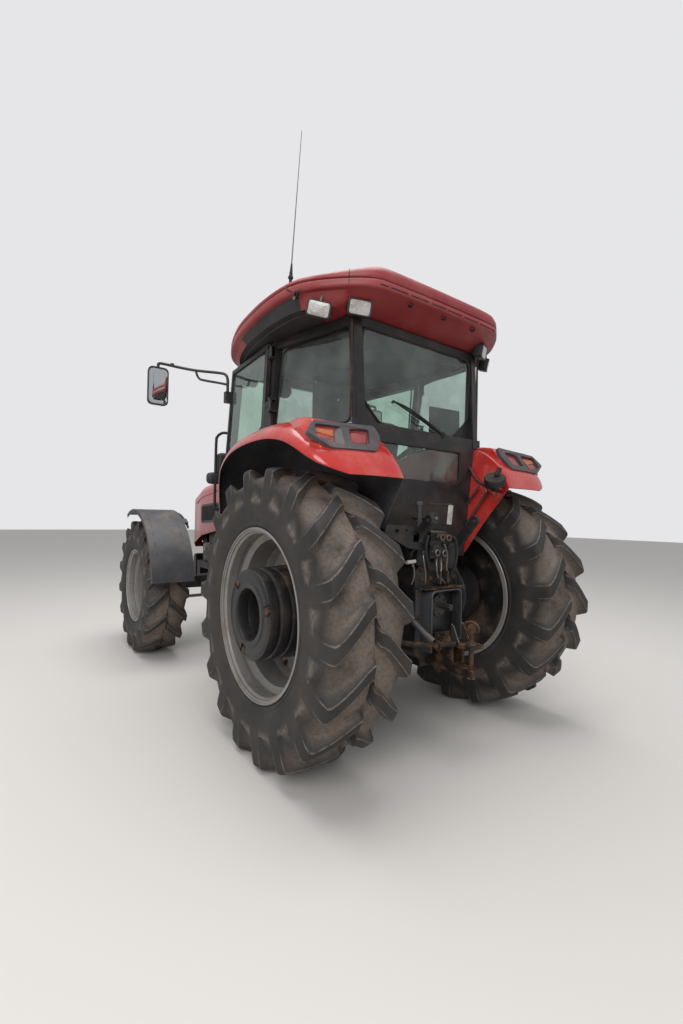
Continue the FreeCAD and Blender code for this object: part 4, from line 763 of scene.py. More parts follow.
def tyrePitch(look):
    # rows run from the tread's centre to the bead; columns run from one pocket's middle to the next
    half, tip, bar = look["half"], look["tip"], look["bar"]
    low = tip - bar
    drop = low - look["pocketEnd"]
    wallTop = look["pocketEnd"] - 0.012
    step = 2 * pi / look["bars"]
    # (x of the pocket, its radius, x of the bar's top, its radius, how far down the bar has curved)
    rows = [
        (0.0, low, 0.0, low, 0.0), (0.008, low, 0.008, low, 0.0),
        (0.012, low, 0.0135, low + bar * 0.82, 0.0),
        (0.017, low, 0.019, tip, 0.0), (0.03, low, 0.03, tip, 0.02),
        (0.24 * half, low, 0.24 * half, tip, 0.1),
        (0.38 * half, low - 0.001, 0.38 * half, tip - 0.0005, 0.24),
        (0.52 * half, low - 0.004, 0.53 * half, tip - 0.002, 0.4),
        (0.66 * half, low - 0.011, 0.68 * half, tip - 0.005, 0.57),
        (0.78 * half, low - 0.024, 0.82 * half, tip - 0.009, 0.74),
        (0.86 * half, low - 0.04, 0.93 * half, tip - 0.013, 0.87),
        (0.905 * half, low - 0.058, 0.975 * half, tip - 0.024, 0.94),
        (0.935 * half, low - drop * 0.62, 0.99 * half, tip - 0.06, 0.98),
        (0.942 * half, low - drop * 0.8, 0.996 * half, low - drop * 0.62, 1.0),
        (0.948 * half, low - drop * 0.94, 0.999 * half, low - drop * 0.86, 1.0),
        (0.953 * half, low - drop, 1.0 * half, low - drop * 0.97, 1.0),
        (1.0 * half, low - drop - 0.007, 1.0 * half, low - drop - 0.006, 1.0),
    ]
    flange, rimHalf = look["flange"], look["rimHalf"]
    reach = wallTop - flange
    wall = [
        (0.999 * half, flange + reach * 0.82), (0.992 * half, flange + reach * 0.66),
        (0.978 * half, flange + reach * 0.5), (0.957 * half, flange + reach * 0.36),
        (0.936 * half, flange + reach * 0.25), (0.932 * half, flange + reach * 0.235),
        (0.93 * half, flange + reach * 0.2), (0.938 * half, flange + reach * 0.185),
        (0.936 * half, flange + reach * 0.12), (0.92 * half, flange + 0.012),
        (rimHalf - 0.009, flange + 0.006), (rimHalf - 0.011, flange - 0.008),
        (rimHalf - 0.012, look["seat"]),
        (rimHalf - 0.06, look["seat"] + 0.004), (0.0, look["seat"] + 0.006)]
    back, fore = look["top"]
    points, marks = [], []
    for i, (px, pr, tx, tr, curve) in enumerate(rows):
        swept = radians(look["sweep"]) * (1 - (1 - min(curve, 1.0)) ** 1.25)
        wide = 1.0 + 0.35 * max(0.0, curve - 0.55)
        flank = 0.021 + 0.012 * curve
        raised = hypot(tx - px, tr - pr)
        solid = min(1.0, raised / (bar * 0.5))
        # angles from the bar's middle, in metres along the tread
        offsets = [(-back * wide - flank - 0.006, 0.0), (-back * wide - flank + 0.004, 0.06),
                   (-back * wide - 0.004, 0.9), (-back * wide + 0.001, 0.985), (-back * wide + 0.007, 1.0),
                   (0.0, 1.0), (fore * wide - 0.008, 1.0), (fore * wide - 0.002, 0.985),
                   (fore * wide + 0.004, 0.9), (fore * wide + flank - 0.004, 0.08),
                   (fore * wide + flank + 0.009, 0.0)]
        mid = -swept
        row, mark = [], []
        first, last = offsets[0][0] / pr, offsets[-1][0] / pr
        gap = step - (last - first)
        angles = [(mid + a / pr, h) for a, h in offsets]
        angles += [(mid + last + gap * f, 0.0) for f in (0.18, 0.42, 0.68, 0.86)]
        count = len(angles)
        plain = raised < 0.001
        for j, (a, h) in enumerate(angles):
            if plain and i < 2:
                a = mid + first + step * j / count if i else first + step * j / count
            # the pocket runs further down beside the bar below it
            slant = 0.0
            if i >= 11 and h < 0.5:
                f = min(max((j - 9) / 5.0, 0.0), 1.0) if j >= 9 else 1.0
                slant = (f * 0.055 - 0.004) * min(1.0, (i - 10) / 3.0) * (1.0 if i < 16 else 0.0)
            x = px + (tx - px) * h
            r = pr + (tr - pr) * h + slant * (1 - h)
            row.append((x, r, a))
            edge = 1.0 if 0.95 < h < 0.995 and solid > 0.9 and i < 13 else 0.0
            if i == 16 and h < 0.5:
                edge = 0.75
            deep = (1.0 - h) * min(1.0, max(0.0, 1.0 - (i - 6) * 0.15))
            mark.append((deep, edge, 1.0 if i > 13 else 0.15))
        points.append(row)
        marks.append(mark)
    count = len(points[0])
    final = points[-1]
    for x, r in wall:
        points.append([(x, r, final[0][2] + step * j / count) for j in range(count)])
        marks.append([(0.0, 0.0, 1.0)] * count)
    verts, faces, values = [], [], []
    for row, mark in zip(points, marks):
        closing = (row[0][0], row[0][1], row[0][2] + step)
        for (x, r, a), value in zip(row + [closing], mark + [mark[0]]):
            verts.append((x, r * cos(a), r * sin(a)))
            values.append(value)
    wide = count + 1
    for i in range(len(points) - 1):
        for j in range(count):
            a = i * wide + j
            faces.append((a, a + 1, a + 1 + wide, a + wide))
    return verts, faces, values


def makeTyre(name, look, side, body, node):
    verts, faces, values = tyrePitch(look)
    pitch = scratch(name + ".pitch", verts, faces)
    for k, key in enumerate(("pocket", "edge", "wall")):
        layer = pitch.data.attributes.new(key, "FLOAT", "POINT")
        layer.data.foreach_set("value", [v[k] for v in values])
    finish = allFinishes["tyreRubber"]
    start = radians(look["start"])
    halves = [grow(pitch, wheelNodes, {"Count": look["bars"], "Start": s, "Finish": finish, "Merge": 0.0003})
              for s in (start, start + pi / look["bars"])]
    forget(pitch)
    work = bmesh.new()
    work.from_mesh(halves[0])
    other = halves[1]
    other.transform(Matrix.Diagonal((-1, 1, 1, 1)))
    work.from_mesh(other)
    bmesh.ops.remove_doubles(work, verts=work.verts, dist=0.0006)
    bmesh.ops.recalc_face_normals(work, faces=work.faces)
    mesh = bpy.data.meshes.new(name)
    work.to_mesh(mesh)
    work.free()
    mesh.materials.append(finish)
    x, y, z = look["centre"]
    mesh.transform(Matrix.Translation((x * side, y, z)) @ Matrix.Diagonal((side, 1, 1, 1)))
    if side < 0:
        bmeshClean(mesh)
    return place(mesh, name, body, "tyre_rubber", (node,), sharp=50)


for side, word in sideWords:
    makeTyre("rearTyre." + word, rearTyre, side, "wheel_rear_" + word, "rear_tyre_" + word)
    makeTyre("frontTyre." + word, frontTyre, side, "wheel_front_" + word, "front_tyre_" + word)
print("tyres ready")


# rims: pressed steel wells on a dished disc
def rimSection(look, discX, discR, boreR):
    half, flange, seat = look["rimHalf"], look["flange"], look["seat"] - 0.0003
    well = seat - 0.038
    t = 0.008
    outside = [
        (half, flange - 0.004), (half - 0.003, flange), (half - 0.007, flange),
        (half - 0.009, flange - 0.005),
        (half - 0.009, seat + 0.004), (half - 0.014, seat), (half * 0.56, seat), (half * 0.52, seat + 0.002),
        (half * 0.48, seat - 0.004), (half * 0.39, well), (-half * 0.39, well), (-half * 0.48, seat - 0.004),
        (-half * 0.52, seat + 0.002), (-half * 0.56, seat), (-half + 0.014, seat),
        (-half + 0.009, seat + 0.004),
        (-half + 0.009, flange - 0.005), (-half + 0.007, flange), (-half + 0.003, flange),
        (-half, flange - 0.004)]
    inside = [
        (-half, seat - t), (-half * 0.9, seat - t - 0.004), (-half * 0.58, seat - t - 0.004),
        (-half * 0.52, seat - t - 0.01), (-half * 0.42, well - t), (discX + 0.036, well - t),
        (discX + 0.026, well - t - 0.006), (discX - 0.008, discR + 0.03), (discX - 0.013, discR + 0.012),
        (discX - 0.014, boreR + 0.004), (discX - 0.012, boreR), (discX - 0.002, boreR),
        (discX, boreR + 0.004),
        (discX + 0.001, discR), (discX + 0.008, discR + 0.022), (discX + 0.044, well - t - 0.006),
        (discX + 0.054, well - t), (half * 0.42, well - t), (half * 0.47, seat - t - 0.014),
        (half * 0.5, seat - t - 0.003), (half * 0.53, seat - t), (half * 0.6, seat - t - 0.001),
        (half * 0.62, seat - t - 0.005), (half * 0.86, seat - t - 0.003), (half * 0.885, seat - t + 0.001),
        (half * 0.91, seat - t + 0.006), (half * 0.95, flange - 0.012), (half - 0.001, flange - 0.01)]
    return outside + inside


def makeWheel(kind, word, side):
    rear = kind == "rear"
    look = rearTyre if rear else frontTyre
    x, y, z = look["centre"]
    centre = Vector((x * side, y, z))
    hubFace = 0.77 if rear else 0.76 + 0.1505 + 0.022
    discX = hubFace - x + (0.014 if rear else 0.0)
    discR = 0.392 if rear else 0.18
    body = "wheel_%s_%s" % (kind, word)
    node = "%s_rim_%s" % (kind, word)
    rim = Workpiece("rim.%s.%s" % (kind, word))
    rim.turn(rimSection(look, discX, discR, 0.06 if rear else 0.09), centre, "silverPaint", (side, 0, 0), 96)
    face = Vector((hubFace * side, y, z))
    out = Vector((side, 0, 0))
    if rear:
        rim.turn([(-0.022, 0.0), (-0.022, 0.15), (-0.018, 0.165), (0.0, 0.165), (0.0, 0.05), (0.048, 0.05),
                  (0.05, 0.04), (0.05, 0.0)], face, "silverPaint", out, 48)
        rim.turn([(-0.0675, 0.0), (-0.0675, 0.14), (-0.06, 0.145), (-0.02, 0.145), (-0.02, 0.0)], face,
                 "chassisPaint", out, 48)
    else:
        rim.turn([(-0.022, 0.0), (-0.022, 0.134), (-0.018, 0.138), (-0.001, 0.138), (-0.001, 0.0)], face,
                 "chassisPaint", out, 48)
        rim.turn([(-0.012, 0.0), (-0.012, 0.112), (0.06, 0.108), (0.088, 0.104), (0.098, 0.098),
                  (0.11, 0.088),
                  (0.112, 0.06), (0.113, 0.0)], face, "silverPaint", out, 48)
    piece = rim.make(body, "rim_silver", (node,), sharp=30)
    if rear:
        # the side towards the axle is black: painted shade for the dark inside of the wheel
        paintedShadeIndex = [m.name for m in piece.data.materials].index("chassisPaint")
        for f in piece.data.polygons:
            across = (f.center.x - centre.x) * side
            hollow = hypot(f.center.y - y, f.center.z - z)
            if across < discX - 0.006 and hollow < look["seat"] - 0.004:
                f.material_index = paintedShadeIndex
    # bolts that hold the disc to the rim's lugs, and the wheel nuts
    at = Vector(((x + discX) * side, y, z))
    rustRing = ringSpots(at, discR + 0.018, 8, pi / 8, out)
    repeated("rimBolts.%s.%s" % (kind, word), boltShape(0.03, 0.018, 6, 0.024), rustRing, "rustedSteel",
             body,
             "bare_steel")
    nuts = ringSpots(at, 0.13 if rear else 0.155, 8, 0.0, out)
    repeated("wheelNuts.%s.%s" % (kind, word), boltShape(0.027, 0.02), nuts, "rustedSteel", body,
             "bare_steel")


weightLook = {"start": 0.784, "thick": 0.072, "count": 5, "radius": 0.264, "grow": 0.004, "bore": 0.15,
              "bolts": (134, 14, 254), "boltR": 0.23, "notch": (0.03, 0.024)}


def makeWeights(word, side):
    # cast rings drawn together, with three bolts sunk in notches of the outermost
    y, z = rearTyre["centre"][1:]
    look = weightLook
    thick, bore = look["thick"], look["bore"]
    body = "wheel_rear_" + word
    stack = Workpiece("wheelWeights." + word)
    centre = Vector((0, y, z))
    out = Vector((side, 0, 0))
    for k in range(look["count"]):
        a = look["start"] + thick * k
        b = a + thick
        radius = look["radius"] + look["grow"] * (look["count"] - 1 - k)
        last = k == look["count"] - 1
        dish = 0.006 if last else 0.001
        ring = [(a, bore), (a, radius - 0.01), (a + 0.005, radius - 0.003), (a + 0.01, radius),
                (b - 0.016, radius), (b - 0.011, radius - 0.002), (b - 0.002, radius - 0.017),
                (b - 0.001, radius - 0.022), (b - dish, radius - 0.028), (b - dish, bore + 0.04),
                (b, bore + 0.034), (b, bore + 0.01), (b - 0.004, bore + 0.003), (b - 0.012, bore)]
        if last:
            # the outer ring is built in sectors, so that it can step back at the notches
            stack.add(notchedRing(ring, centre, side, [radians(v) for v in look["bolts"]]), "castIron")
        else:
            stack.turn(ring, centre, "castIron", out, 96)
    stack.make(body, "cast_black", ("wheel_weights_" + word,), sharp=32)
    face = Vector(((look["start"] + look["count"] * thick - 0.028) * side, y, z))
    sunkBolts = []
    for angle in look["bolts"]:
        a = radians(angle)
        sunkBolts.append(((face.x, y + look["boltR"] * cos(a), z + look["boltR"] * sin(a)), out))
    repeated("weightBolts." + word, boltShape(0.036, 0.022, 4, 0.026), sunkBolts, "rustedSteel", body,
             "bare_steel")


def notchedRing(profile, centre, side, notches):
    wide, deep = weightLook["notch"]
    inner = weightLook["boltR"] - wide
    front = max(x for x, r in profile) - deep
    half = wide / weightLook["boltR"]
    kept = []
    for k in range(120):
        a = 2 * pi * k / 120
        near = min(abs((a - n + pi) % (2 * pi) - pi) for n in notches)
        if near > half + 0.006:
            kept.append((a, False))
    for n in notches:
        for a, sunk in ((-half - 0.003, False), (-half, True), (0.0, True), (half, True),
                        (half + 0.003, False)):
            kept.append(((n + a) % (2 * pi), sunk))
    kept.sort()
    points, faces = [], []
    for a, sunk in kept:
        for x, r in profile:
            if sunk and r > inner and x > front:
                x = front
            points.append(Vector((x * side, centre.y + r * cos(a), centre.z + r * sin(a))))
    count = len(profile)
    for k in range(len(kept)):
        n = (k + 1) % len(kept)
        for i in range(count):
            j = (i + 1) % count
            faces.append((k * count + i, k * count + j, n * count + j, n * count + i))
    return points, faces


for side, word in sideWords:
    makeWheel("rear", word, side)
    makeWheel("front", word, side)
    makeWeights(word, side)
print("wheels ready")


# roof: a moulded cap, thick at the rear, with a groove above its side band
roofLook = {
    "outline": [(0.0, 0.452), (0.25, 0.449), (0.49, 0.441), (0.572, 0.424), (0.64, 0.385), (0.74, 0.3),
                (0.86, 0.165), (0.925, 0.03), (0.952, -0.13), (0.961, -0.29), (0.957, -0.45),
                (0.944, -0.63), (0.915, -0.8), (0.85, -1.03), (0.75, -1.24), (0.6, -1.4),
                (0.4, -1.5), (0.2, -1.545), (0.0, -1.558)],
    "bandLow": [(-1.558, 2.754), (-1.0, 2.752), (-0.7, 2.757), (-0.45, 2.77), (-0.2, 2.785),
                (0.0, 2.797), (0.452, 2.801)],
    "crown": 2.966, "fall": 0.042,
    "seat": 2.712, "seatRear": 0.215, "middle": -0.5, "clips": (0.27, -0.04, -0.34),
}


def bandLow(y):
    table = roofLook["bandLow"]
    y = min(max(y, table[0][0]), table[-1][0])
    for (fromY, low), (toY, high) in zip(table, table[1:]):
        if y <= toY:
            return low + (high - low) * (y - fromY) / (toY - fromY)


def crownTop(y):
    return roofLook["crown"] - roofLook["fall"] * max(0.0, 0.08 - y)


def roofOutline():
    half = [Vector((x, y + axleY, 0)) for x, y in roofLook["outline"]]
    line = smoothPath(half, 3)
    other = [Vector((-p.x, p.y, 0)) for p in reversed(line[1:-1])]
    return line + other


def roofRing(outline, inset, level, lift, droop=0.0, rearLimit=None):
    # draws the outline in and sets each point's height; the band climbs and the crown falls along y
    middle = Vector((0, roofLook["middle"] + axleY, 0))
    ring = []
    for p in outline:
        away = p - middle
        q = middle + away * max(0.0, 1 - inset / away.length)
        y = q.y - axleY
        if rearLimit is not None:
            y = min(y, rearLimit)
        toSide = min(max((abs(p.x) - 0.45) / 0.46, 0.0), 1.0)
        z = {"band": bandLow(y), "crown": crownTop(y), "flat": 0.0}[level] + lift
        z -= droop * toSide * toSide * (3 - 2 * toSide)
        ring.append(Vector((q.x, y + axleY, z)))
    return ring


def makeRoof():
    outline = roofOutline()
    steps = [(0.034, "band", -0.006), (0.01, "band", -0.004), (0.002, "band", 0.002), (0.0, "band", 0.01),
             (0.0, "band", 0.038), (0.003, "band", 0.043), (0.012, "band", 0.045), (0.013, "band", 0.05),
             (0.004, "band", 0.053), (0.001, "band", 0.058), (0.004, "crown", -0.066, 0.03),
             (0.016, "crown", -0.04, 0.046), (0.04, "crown", -0.022, 0.055), (0.085, "crown", -0.01, 0.052),
             (0.18, "crown", -0.004, 0.034), (0.42, "crown", 0.0, 0.01), (0.8, "crown", 0.0)]
    rings = [roofRing(outline, *step) for step in steps]
    seat, rear = roofLook["seat"], roofLook["seatRear"]
    under = roofRing(outline, 0.3, "flat", seat, 0.0, rear - 0.02)
    foot = roofRing(outline, 0.072, "flat", seat, 0.0, rear)
    soft = [p.lerp(q, 0.55) + Vector((0, 0, -0.006 if p.y > axleY + rear - 0.01 else 0.0))
            for p, q in zip(foot, rings[0])]
    roof = Workpiece("roofCap")
    roof.add(loftShape([under, foot, soft] + rings), "bleachedRoof")
    cap = roof.make("chassis", "roof_red", ("roof_shell",), sharp=42)
    # along the doors the slope under the band is black
    cap.data.materials.append(allFinishes["grainedPlastic"])
    for face in cap.data.polygons:
        y = face.center.y - axleY
        if -0.74 < y < 0.05 and face.center.z < bandLow(y) - 0.007:
            face.material_index = 1
    # shadow gaps: the rear cover's seam, and the slots along the back with a clip under each
    gaps = Workpiece("roofSeams")
    seam = 14
    for k in (seam, len(outline) - seam):
        gaps.bar([ring[k] for ring in rings[3:15]], 0.0022, "sealRubber", 8)
    back = [i for i, p in enumerate(outline) if p.y > axleY + 0.424 and abs(p.x) < 0.575]
    back = sorted(back, key=lambda i: outline[i].x)
    slot = smoothPath([rings[3][i] + Vector((0, 0.0004, 0.004)) for i in back], 3)
    for k in range(0, len(slot) - 5, 6):
        gaps.bar(slot[k:k + 6], 0.0036, "sealRubber", 8)
    gaps.make("chassis", "roof_red")
    clips = Workpiece("roofClips")
    for x in roofLook["clips"]:
        c = Vector((x, axleY + 0.4, 2.779))
        clips.block(c - Vector((0.013, 0.01, 0.008)), c + Vector((0.013, 0.014, 0.006)), "sealRubber")
        clips.block(c - Vector((0.02, 0.004, 0.003)), c + Vector((0.02, 0.01, 0.01)), "bleachedRoof")
    clips.make("chassis", "black_plastic", bevel=0.002)
    return outline


def makeLiner(outline):
    # the black underside: it hangs from the band and hollows upwards towards the cab
    rear = roofLook["seatRear"] - 0.005
    span = [p for p in outline if p.y < axleY + rear]
    levels = [(0.036, "band", -0.0055), (0.05, "band", 0.001), (0.074, "flat", 2.7115),
              (0.11, "flat", 2.7085),
              (0.15, "flat", 2.701), (0.26, "flat", 2.7006)]
    rings = [roofRing(span, *level, 0.0, rear) for level in levels]
    points, faces = loftShape(rings, caps=False, loop=False)
    count = len(points)
    shape = points + [p + Vector((0, 0, 0.0035)) for p in points], list(faces)
    for face in faces:
        shape[1].append(tuple(i + count for i in reversed(face)))
    wide = len(span)
    border = list(range(wide)) + [wide * k + wide - 1 for k in range(1, len(rings))]
    border += list(range(wide * (len(rings) - 1) + wide - 2, wide * (len(rings) - 1) - 1, -1))
    border += [wide * k for k in range(len(rings) - 2, 0, -1)]
    for i, j in zip(border, border[1:] + border[:1]):
        shape[1].append((i, j, j + count, i + count))
    liner = Workpiece("roofLiner")
    liner.add(shape, "grainedPlastic")
    for side in (1, -1):
        # a moulded rib along each side
        path = [p for p in roofRing(span, 0.12, "flat", 2.7045, 0.0, rear) if p.x * side > 0.5]
        path.sort(key=lambda p: p.y)
        liner.bar(path, 0.006, "grainedPlastic", 8)
    piece = liner.make("chassis", "black_plastic", ("roof_liner",), sharp=40)
    # towards the windscreen the slope under the band is red again
    piece.data.materials.append(allFinishes["bleachedRoof"])
    red = len(piece.data.materials) - 1
    for face in piece.data.polygons:
        if face.center.y < axleY - 0.74 and face.center.z > 2.7125:
            face.material_index = red


makeLiner(makeRoof())
print("roof ready")


# rear fenders: a rolled skin over each wheel, its inner panel and the lamp cluster on top
fenderLook = {
    "rows": [(-0.978, 1.44, 0.965, 0.08), (-0.962, 1.6, 0.985, 0.09), (-0.9, 1.752, 1.01, 0.1),
             (-0.77, 1.868, 1.038, 0.106), (-0.54, 1.96, 1.066, 0.112), (-0.26, 2.0, 1.086, 0.115),
             (0.06, 2.003, 1.096, 0.115), (0.29, 1.962, 1.096, 0.11), (0.43, 1.893, 1.084, 0.1),
             (0.52, 1.812, 1.064, 0.08), (0.566, 1.748, 1.03, 0.055), (0.592, 1.7, 0.968, 0.026),
             (0.608, 1.666, 0.88, 0.008)],
    "inner": 0.535, "lean": 0.12, "crest": 2.003, "thick": 0.006,
}


def fenderInner(z):
    return fenderLook["inner"] - fenderLook["lean"] * (fenderLook["crest"] - z)


def fenderRows(perSpan=4):
    rows = [Vector((y, z, out)) for y, z, out, lip in fenderLook["rows"]]
    lips = [Vector((lip, 0, 0)) for y, z, out, lip in fenderLook["rows"]]
    return list(zip(smoothPath(rows, perSpan), [v.x for v in smoothPath(lips, perSpan)]))


def fenderAcross(row, lip, before, after):
    y, z, out = row
    run = after - before
    run.z = 0
    run.normalize()
    ny, nz = -run.y, run.x
    inner = fenderInner(z)
    width = out - inner
    # (distance from the inner edge, height off the row's line): a wide soft roll, then the lip
    shape = [(0.0, 0.0), (0.006, 0.004), (0.1 * width, 0.005), (0.3 * width, 0.006), (0.48 * width, 0.0065)]
    shape += [(width - back, 0.006 - lip * fall) for back, fall in
              ((0.18, 0.01), (0.145, 0.05), (0.112, 0.12), (0.082, 0.22), (0.056, 0.34), (0.034, 0.49),
               (0.017, 0.66), (0.006, 0.83), (0.001, 0.95), (0.0, 1.05))]
    return [Vector((inner + x, axleY + y + ny * h, z + nz * h)) for x, h in shape]


def makeFender(side, word):
    rows = fenderRows()
    rings = []
    for i, (row, lip) in enumerate(rows):
        before = rows[max(i - 1, 0)][0].copy()
        after = rows[min(i + 1, len(rows) - 1)][0].copy()
        rings.append(fenderAcross(row, lip, before, after))
    points, faces = loftShape(rings, caps=False, loop=False)
    # inner panel: follows the row line down to the floor
    crest = [ring[0] for ring in rings]
    foot = []
    for p in crest:
        low = 1.18 if p.y - axleY < 0.27 else 1.18 + (p.y - axleY - 0.27) * 1.57
        low = min(low, p.z - 0.002)
        if p.y - axleY > 0.41:
            low = min(p.z - 0.002, 1.4 + (p.y - axleY - 0.41) * 1.354)
        foot.append(Vector((fenderInner(low), p.y, low)))
    panel = []
    levels = 6
    for k in range(levels + 1):
        panel.append([a.lerp(b, k / levels) for a, b in zip(crest, foot)])
    pPoints, pFaces = loftShape(panel, caps=False, loop=False)
    mesh = bpy.data.meshes.new("rearFender." + word)
    offset = len(points)
    allPoints = points + pPoints
    allFaces = faces + [tuple(i + offset for i in f) for f in pFaces]
    mesh.from_pydata([Vector((p.x * side, p.y, p.z)) for p in allPoints], [], allFaces)
    mesh.materials.append(allFinishes["redEnamel"])
    mesh.materials.append(allFinishes["guardPlastic"])
    work = bmesh.new()
    work.from_mesh(mesh)
    bmesh.ops.remove_doubles(work, verts=work.verts, dist=0.0004)
    bmesh.ops.recalc_face_normals(work, faces=work.faces)
    upFace = max(work.faces, key=lambda f: f.calc_center_median().z)
    if upFace.normal.z < 0:
        bmesh.ops.reverse_faces(work, faces=work.faces)
    work.to_mesh(mesh)
    work.free()
    piece = place(mesh, "rearFender." + word, "chassis", "red_paint", (), sharp=34)
    # the wheel side of skin and panel and the cut edges take the dark guard plastic: dirt under the fender,
    # and painted shade for its dark underside
    solid = piece.modifiers.new("Thickness", "SOLIDIFY")
    solid.thickness = fenderLook["thick"]
    solid.offset = -1
    solid.material_offset = 1
    solid.material_offset_rim = 1
    edge = piece.modifiers.new("Bevel", "BEVEL")
    edge.width = 0.0015
    edge.segments = 2
    edge.limit_method = "ANGLE"
    edge.angle_limit = radians(50)
    return piece


fenders = [makeFender(side, word) for side, word in sideWords]
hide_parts("rear_fenders")

# tail lamps: a red pod on the fender's crest, a grey bezel on its rear face, two sunk lamps
clusterLook = {
    "foot": (0.54, 1.806), "head": (0.452, 1.953), "depth": 0.024,
    "bezel": [(1.079, 0.077), (1.014, 0.164), (0.588, 0.194), (0.569, 0.118), (0.639, 0.008),
              (0.947, -0.005)],
    "outerHole": [(1.01, 0.143), (0.838, 0.149), (0.852, 0.02), (1.024, 0.053)],
    "innerHole": [(0.786, 0.143), (0.64, 0.158), (0.672, 0.05), (0.806, 0.042)],
    "outerLamp": [(1.003, 0.13), (0.882, 0.132), (0.911, 0.026), (1.018, 0.063)],
    "innerLamp": [(0.774, 0.131), (0.651, 0.144), (0.682, 0.062), (0.795, 0.054)],
    "pod": [(0.2, 1.85), (0.2, 1.986), (0.25, 1.99), (0.31, 1.989), (0.38, 1.978), (0.424, 1.962),
            (0.441, 1.943), (0.522, 1.798), (0.5, 1.77)],
    "podTip": [(0.3, 1.845), (0.3, 1.9), (0.32, 1.918), (0.345, 1.924), (0.368, 1.92), (0.384, 1.908),
               (0.398, 1.895), (0.444, 1.85), (0.43, 1.832)],
}
faceUp = Vector((0, clusterLook["head"][0] - clusterLook["foot"][0],
                 clusterLook["head"][1] - clusterLook["foot"][1])).normalized()
faceOut = Vector((0, faceUp.z, -faceUp.y))


def onFace(side, x, up, proud):
    # a place on the bezel: across, up its face and proud of it
    y, z = clusterLook["foot"]
    return Vector((x * side, axleY + y, z)) + faceUp * up + faceOut * proud


def lens(piece, corners, side, low, high, finish):
    # a moulded lens with a soft rim
    edge = roundedOutline(corners, 0.012, 5)
    rings = [[onFace(side, x, up, low) for x, up in edge]]
    for inset, lift in ((0.0, high - 0.005), (0.003, high - 0.001), (0.01, high), (0.022, high + 0.001)):
        rings.append([onFace(side, x, up, lift) for x, up in drawnIn(edge, inset)])
    piece.add(loftShape(rings), finish)


def makeCluster(side, word):
    look = clusterLook
    pod = Workpiece("lampPod." + word)
    rings = []
    for x in (0.572, 0.585, 0.8, 1.0):
        shrink = 0.01 if x < 0.58 else 0.0
        rings.append([Vector((x * side, axleY + y - shrink * 0.3, z - shrink)) for y, z in look["pod"]])
    rings.append([Vector((1.046 * side, axleY + y, z)) for y, z in look["podTip"]])
    pod.add(loftShape(rings), "redEnamel")
    pod.make("chassis", "red_paint", ("lamp_clusters",) if side > 0 else (), bevel=0.006, segments=3,
                     sharp=24)
    bezel = Workpiece("lampBezel." + word)
    outline = roundedOutline(look["bezel"], 0.02, 5)
    holes = [roundedOutline(look[key], 0.018, 5) for key in ("outerHole", "innerHole")]
    front = 0.004
    at = lambda x, up, low: onFace(side, x, up, -look["depth"] if low else front)
    bezel.add(holedShape([outline] + holes, at), "bezelPlastic")
    # the wide inner slope of the outer recess
    slope = [(0.838, 0.149), (0.852, 0.02), (0.905, 0.024), (0.878, 0.14)]
    ramp = [onFace(side, slope[0][0], slope[0][1], front - 0.002),
            onFace(side, slope[1][0], slope[1][1], front - 0.002),
            onFace(side, slope[2][0], slope[2][1], -0.018), onFace(side, slope[3][0], slope[3][1], -0.018)]
    back = [onFace(side, x, up, -look["depth"]) for x, up in slope]
    bezel.add(loftShape([back, ramp]), "bezelPlastic")
    bezel.make("chassis", "black_plastic", bevel=0.004, segments=3)
    lamps = Workpiece("tailLamps." + word)
    ul, ur, lr, ll = [Vector(p) for p in look["outerLamp"]]
    left, right = ul.lerp(ll, 0.5), ur.lerp(lr, 0.52)
    gap = Vector((0, 0.0015))
    lens(lamps, [tuple(p) for p in (ul, ur, right + gap, left + gap)], side, -0.024, -0.01, "amberLens")
    lens(lamps, [tuple(p) for p in (left - gap, right - gap, lr, ll)], side, -0.024, -0.01, "redLens")
    lens(lamps, look["innerLamp"], side, -0.024, -0.01, "redLens")
    lamps.make("chassis", "lamp_plastic", sharp=24)
    trim = Workpiece("lampTrim." + word)
    for key in ("outerLamp", "innerLamp"):
        rim = roundedOutline([tuple(p) for p in look[key]], 0.014, 5)
        path = [onFace(side, x, up, -0.019) for x, up in insetOutline(rim, -0.002)]
        trim.add(tubeShape(path, 0.004, 8, True), "sealRubber")
    screws = [(onFace(side, 1.04, 0.108, front), faceOut), (onFace(side, 0.83, 0.008, front), faceOut)]
    trim.make("chassis", "black_plastic")
    repeated("lampScrews." + word, boltShape(0.009, 0.0015, 12), screws, "zincSteel", "chassis",
             "bare_steel")


for side, word in sideWords:
    makeCluster(side, word)
print("fenders ready")

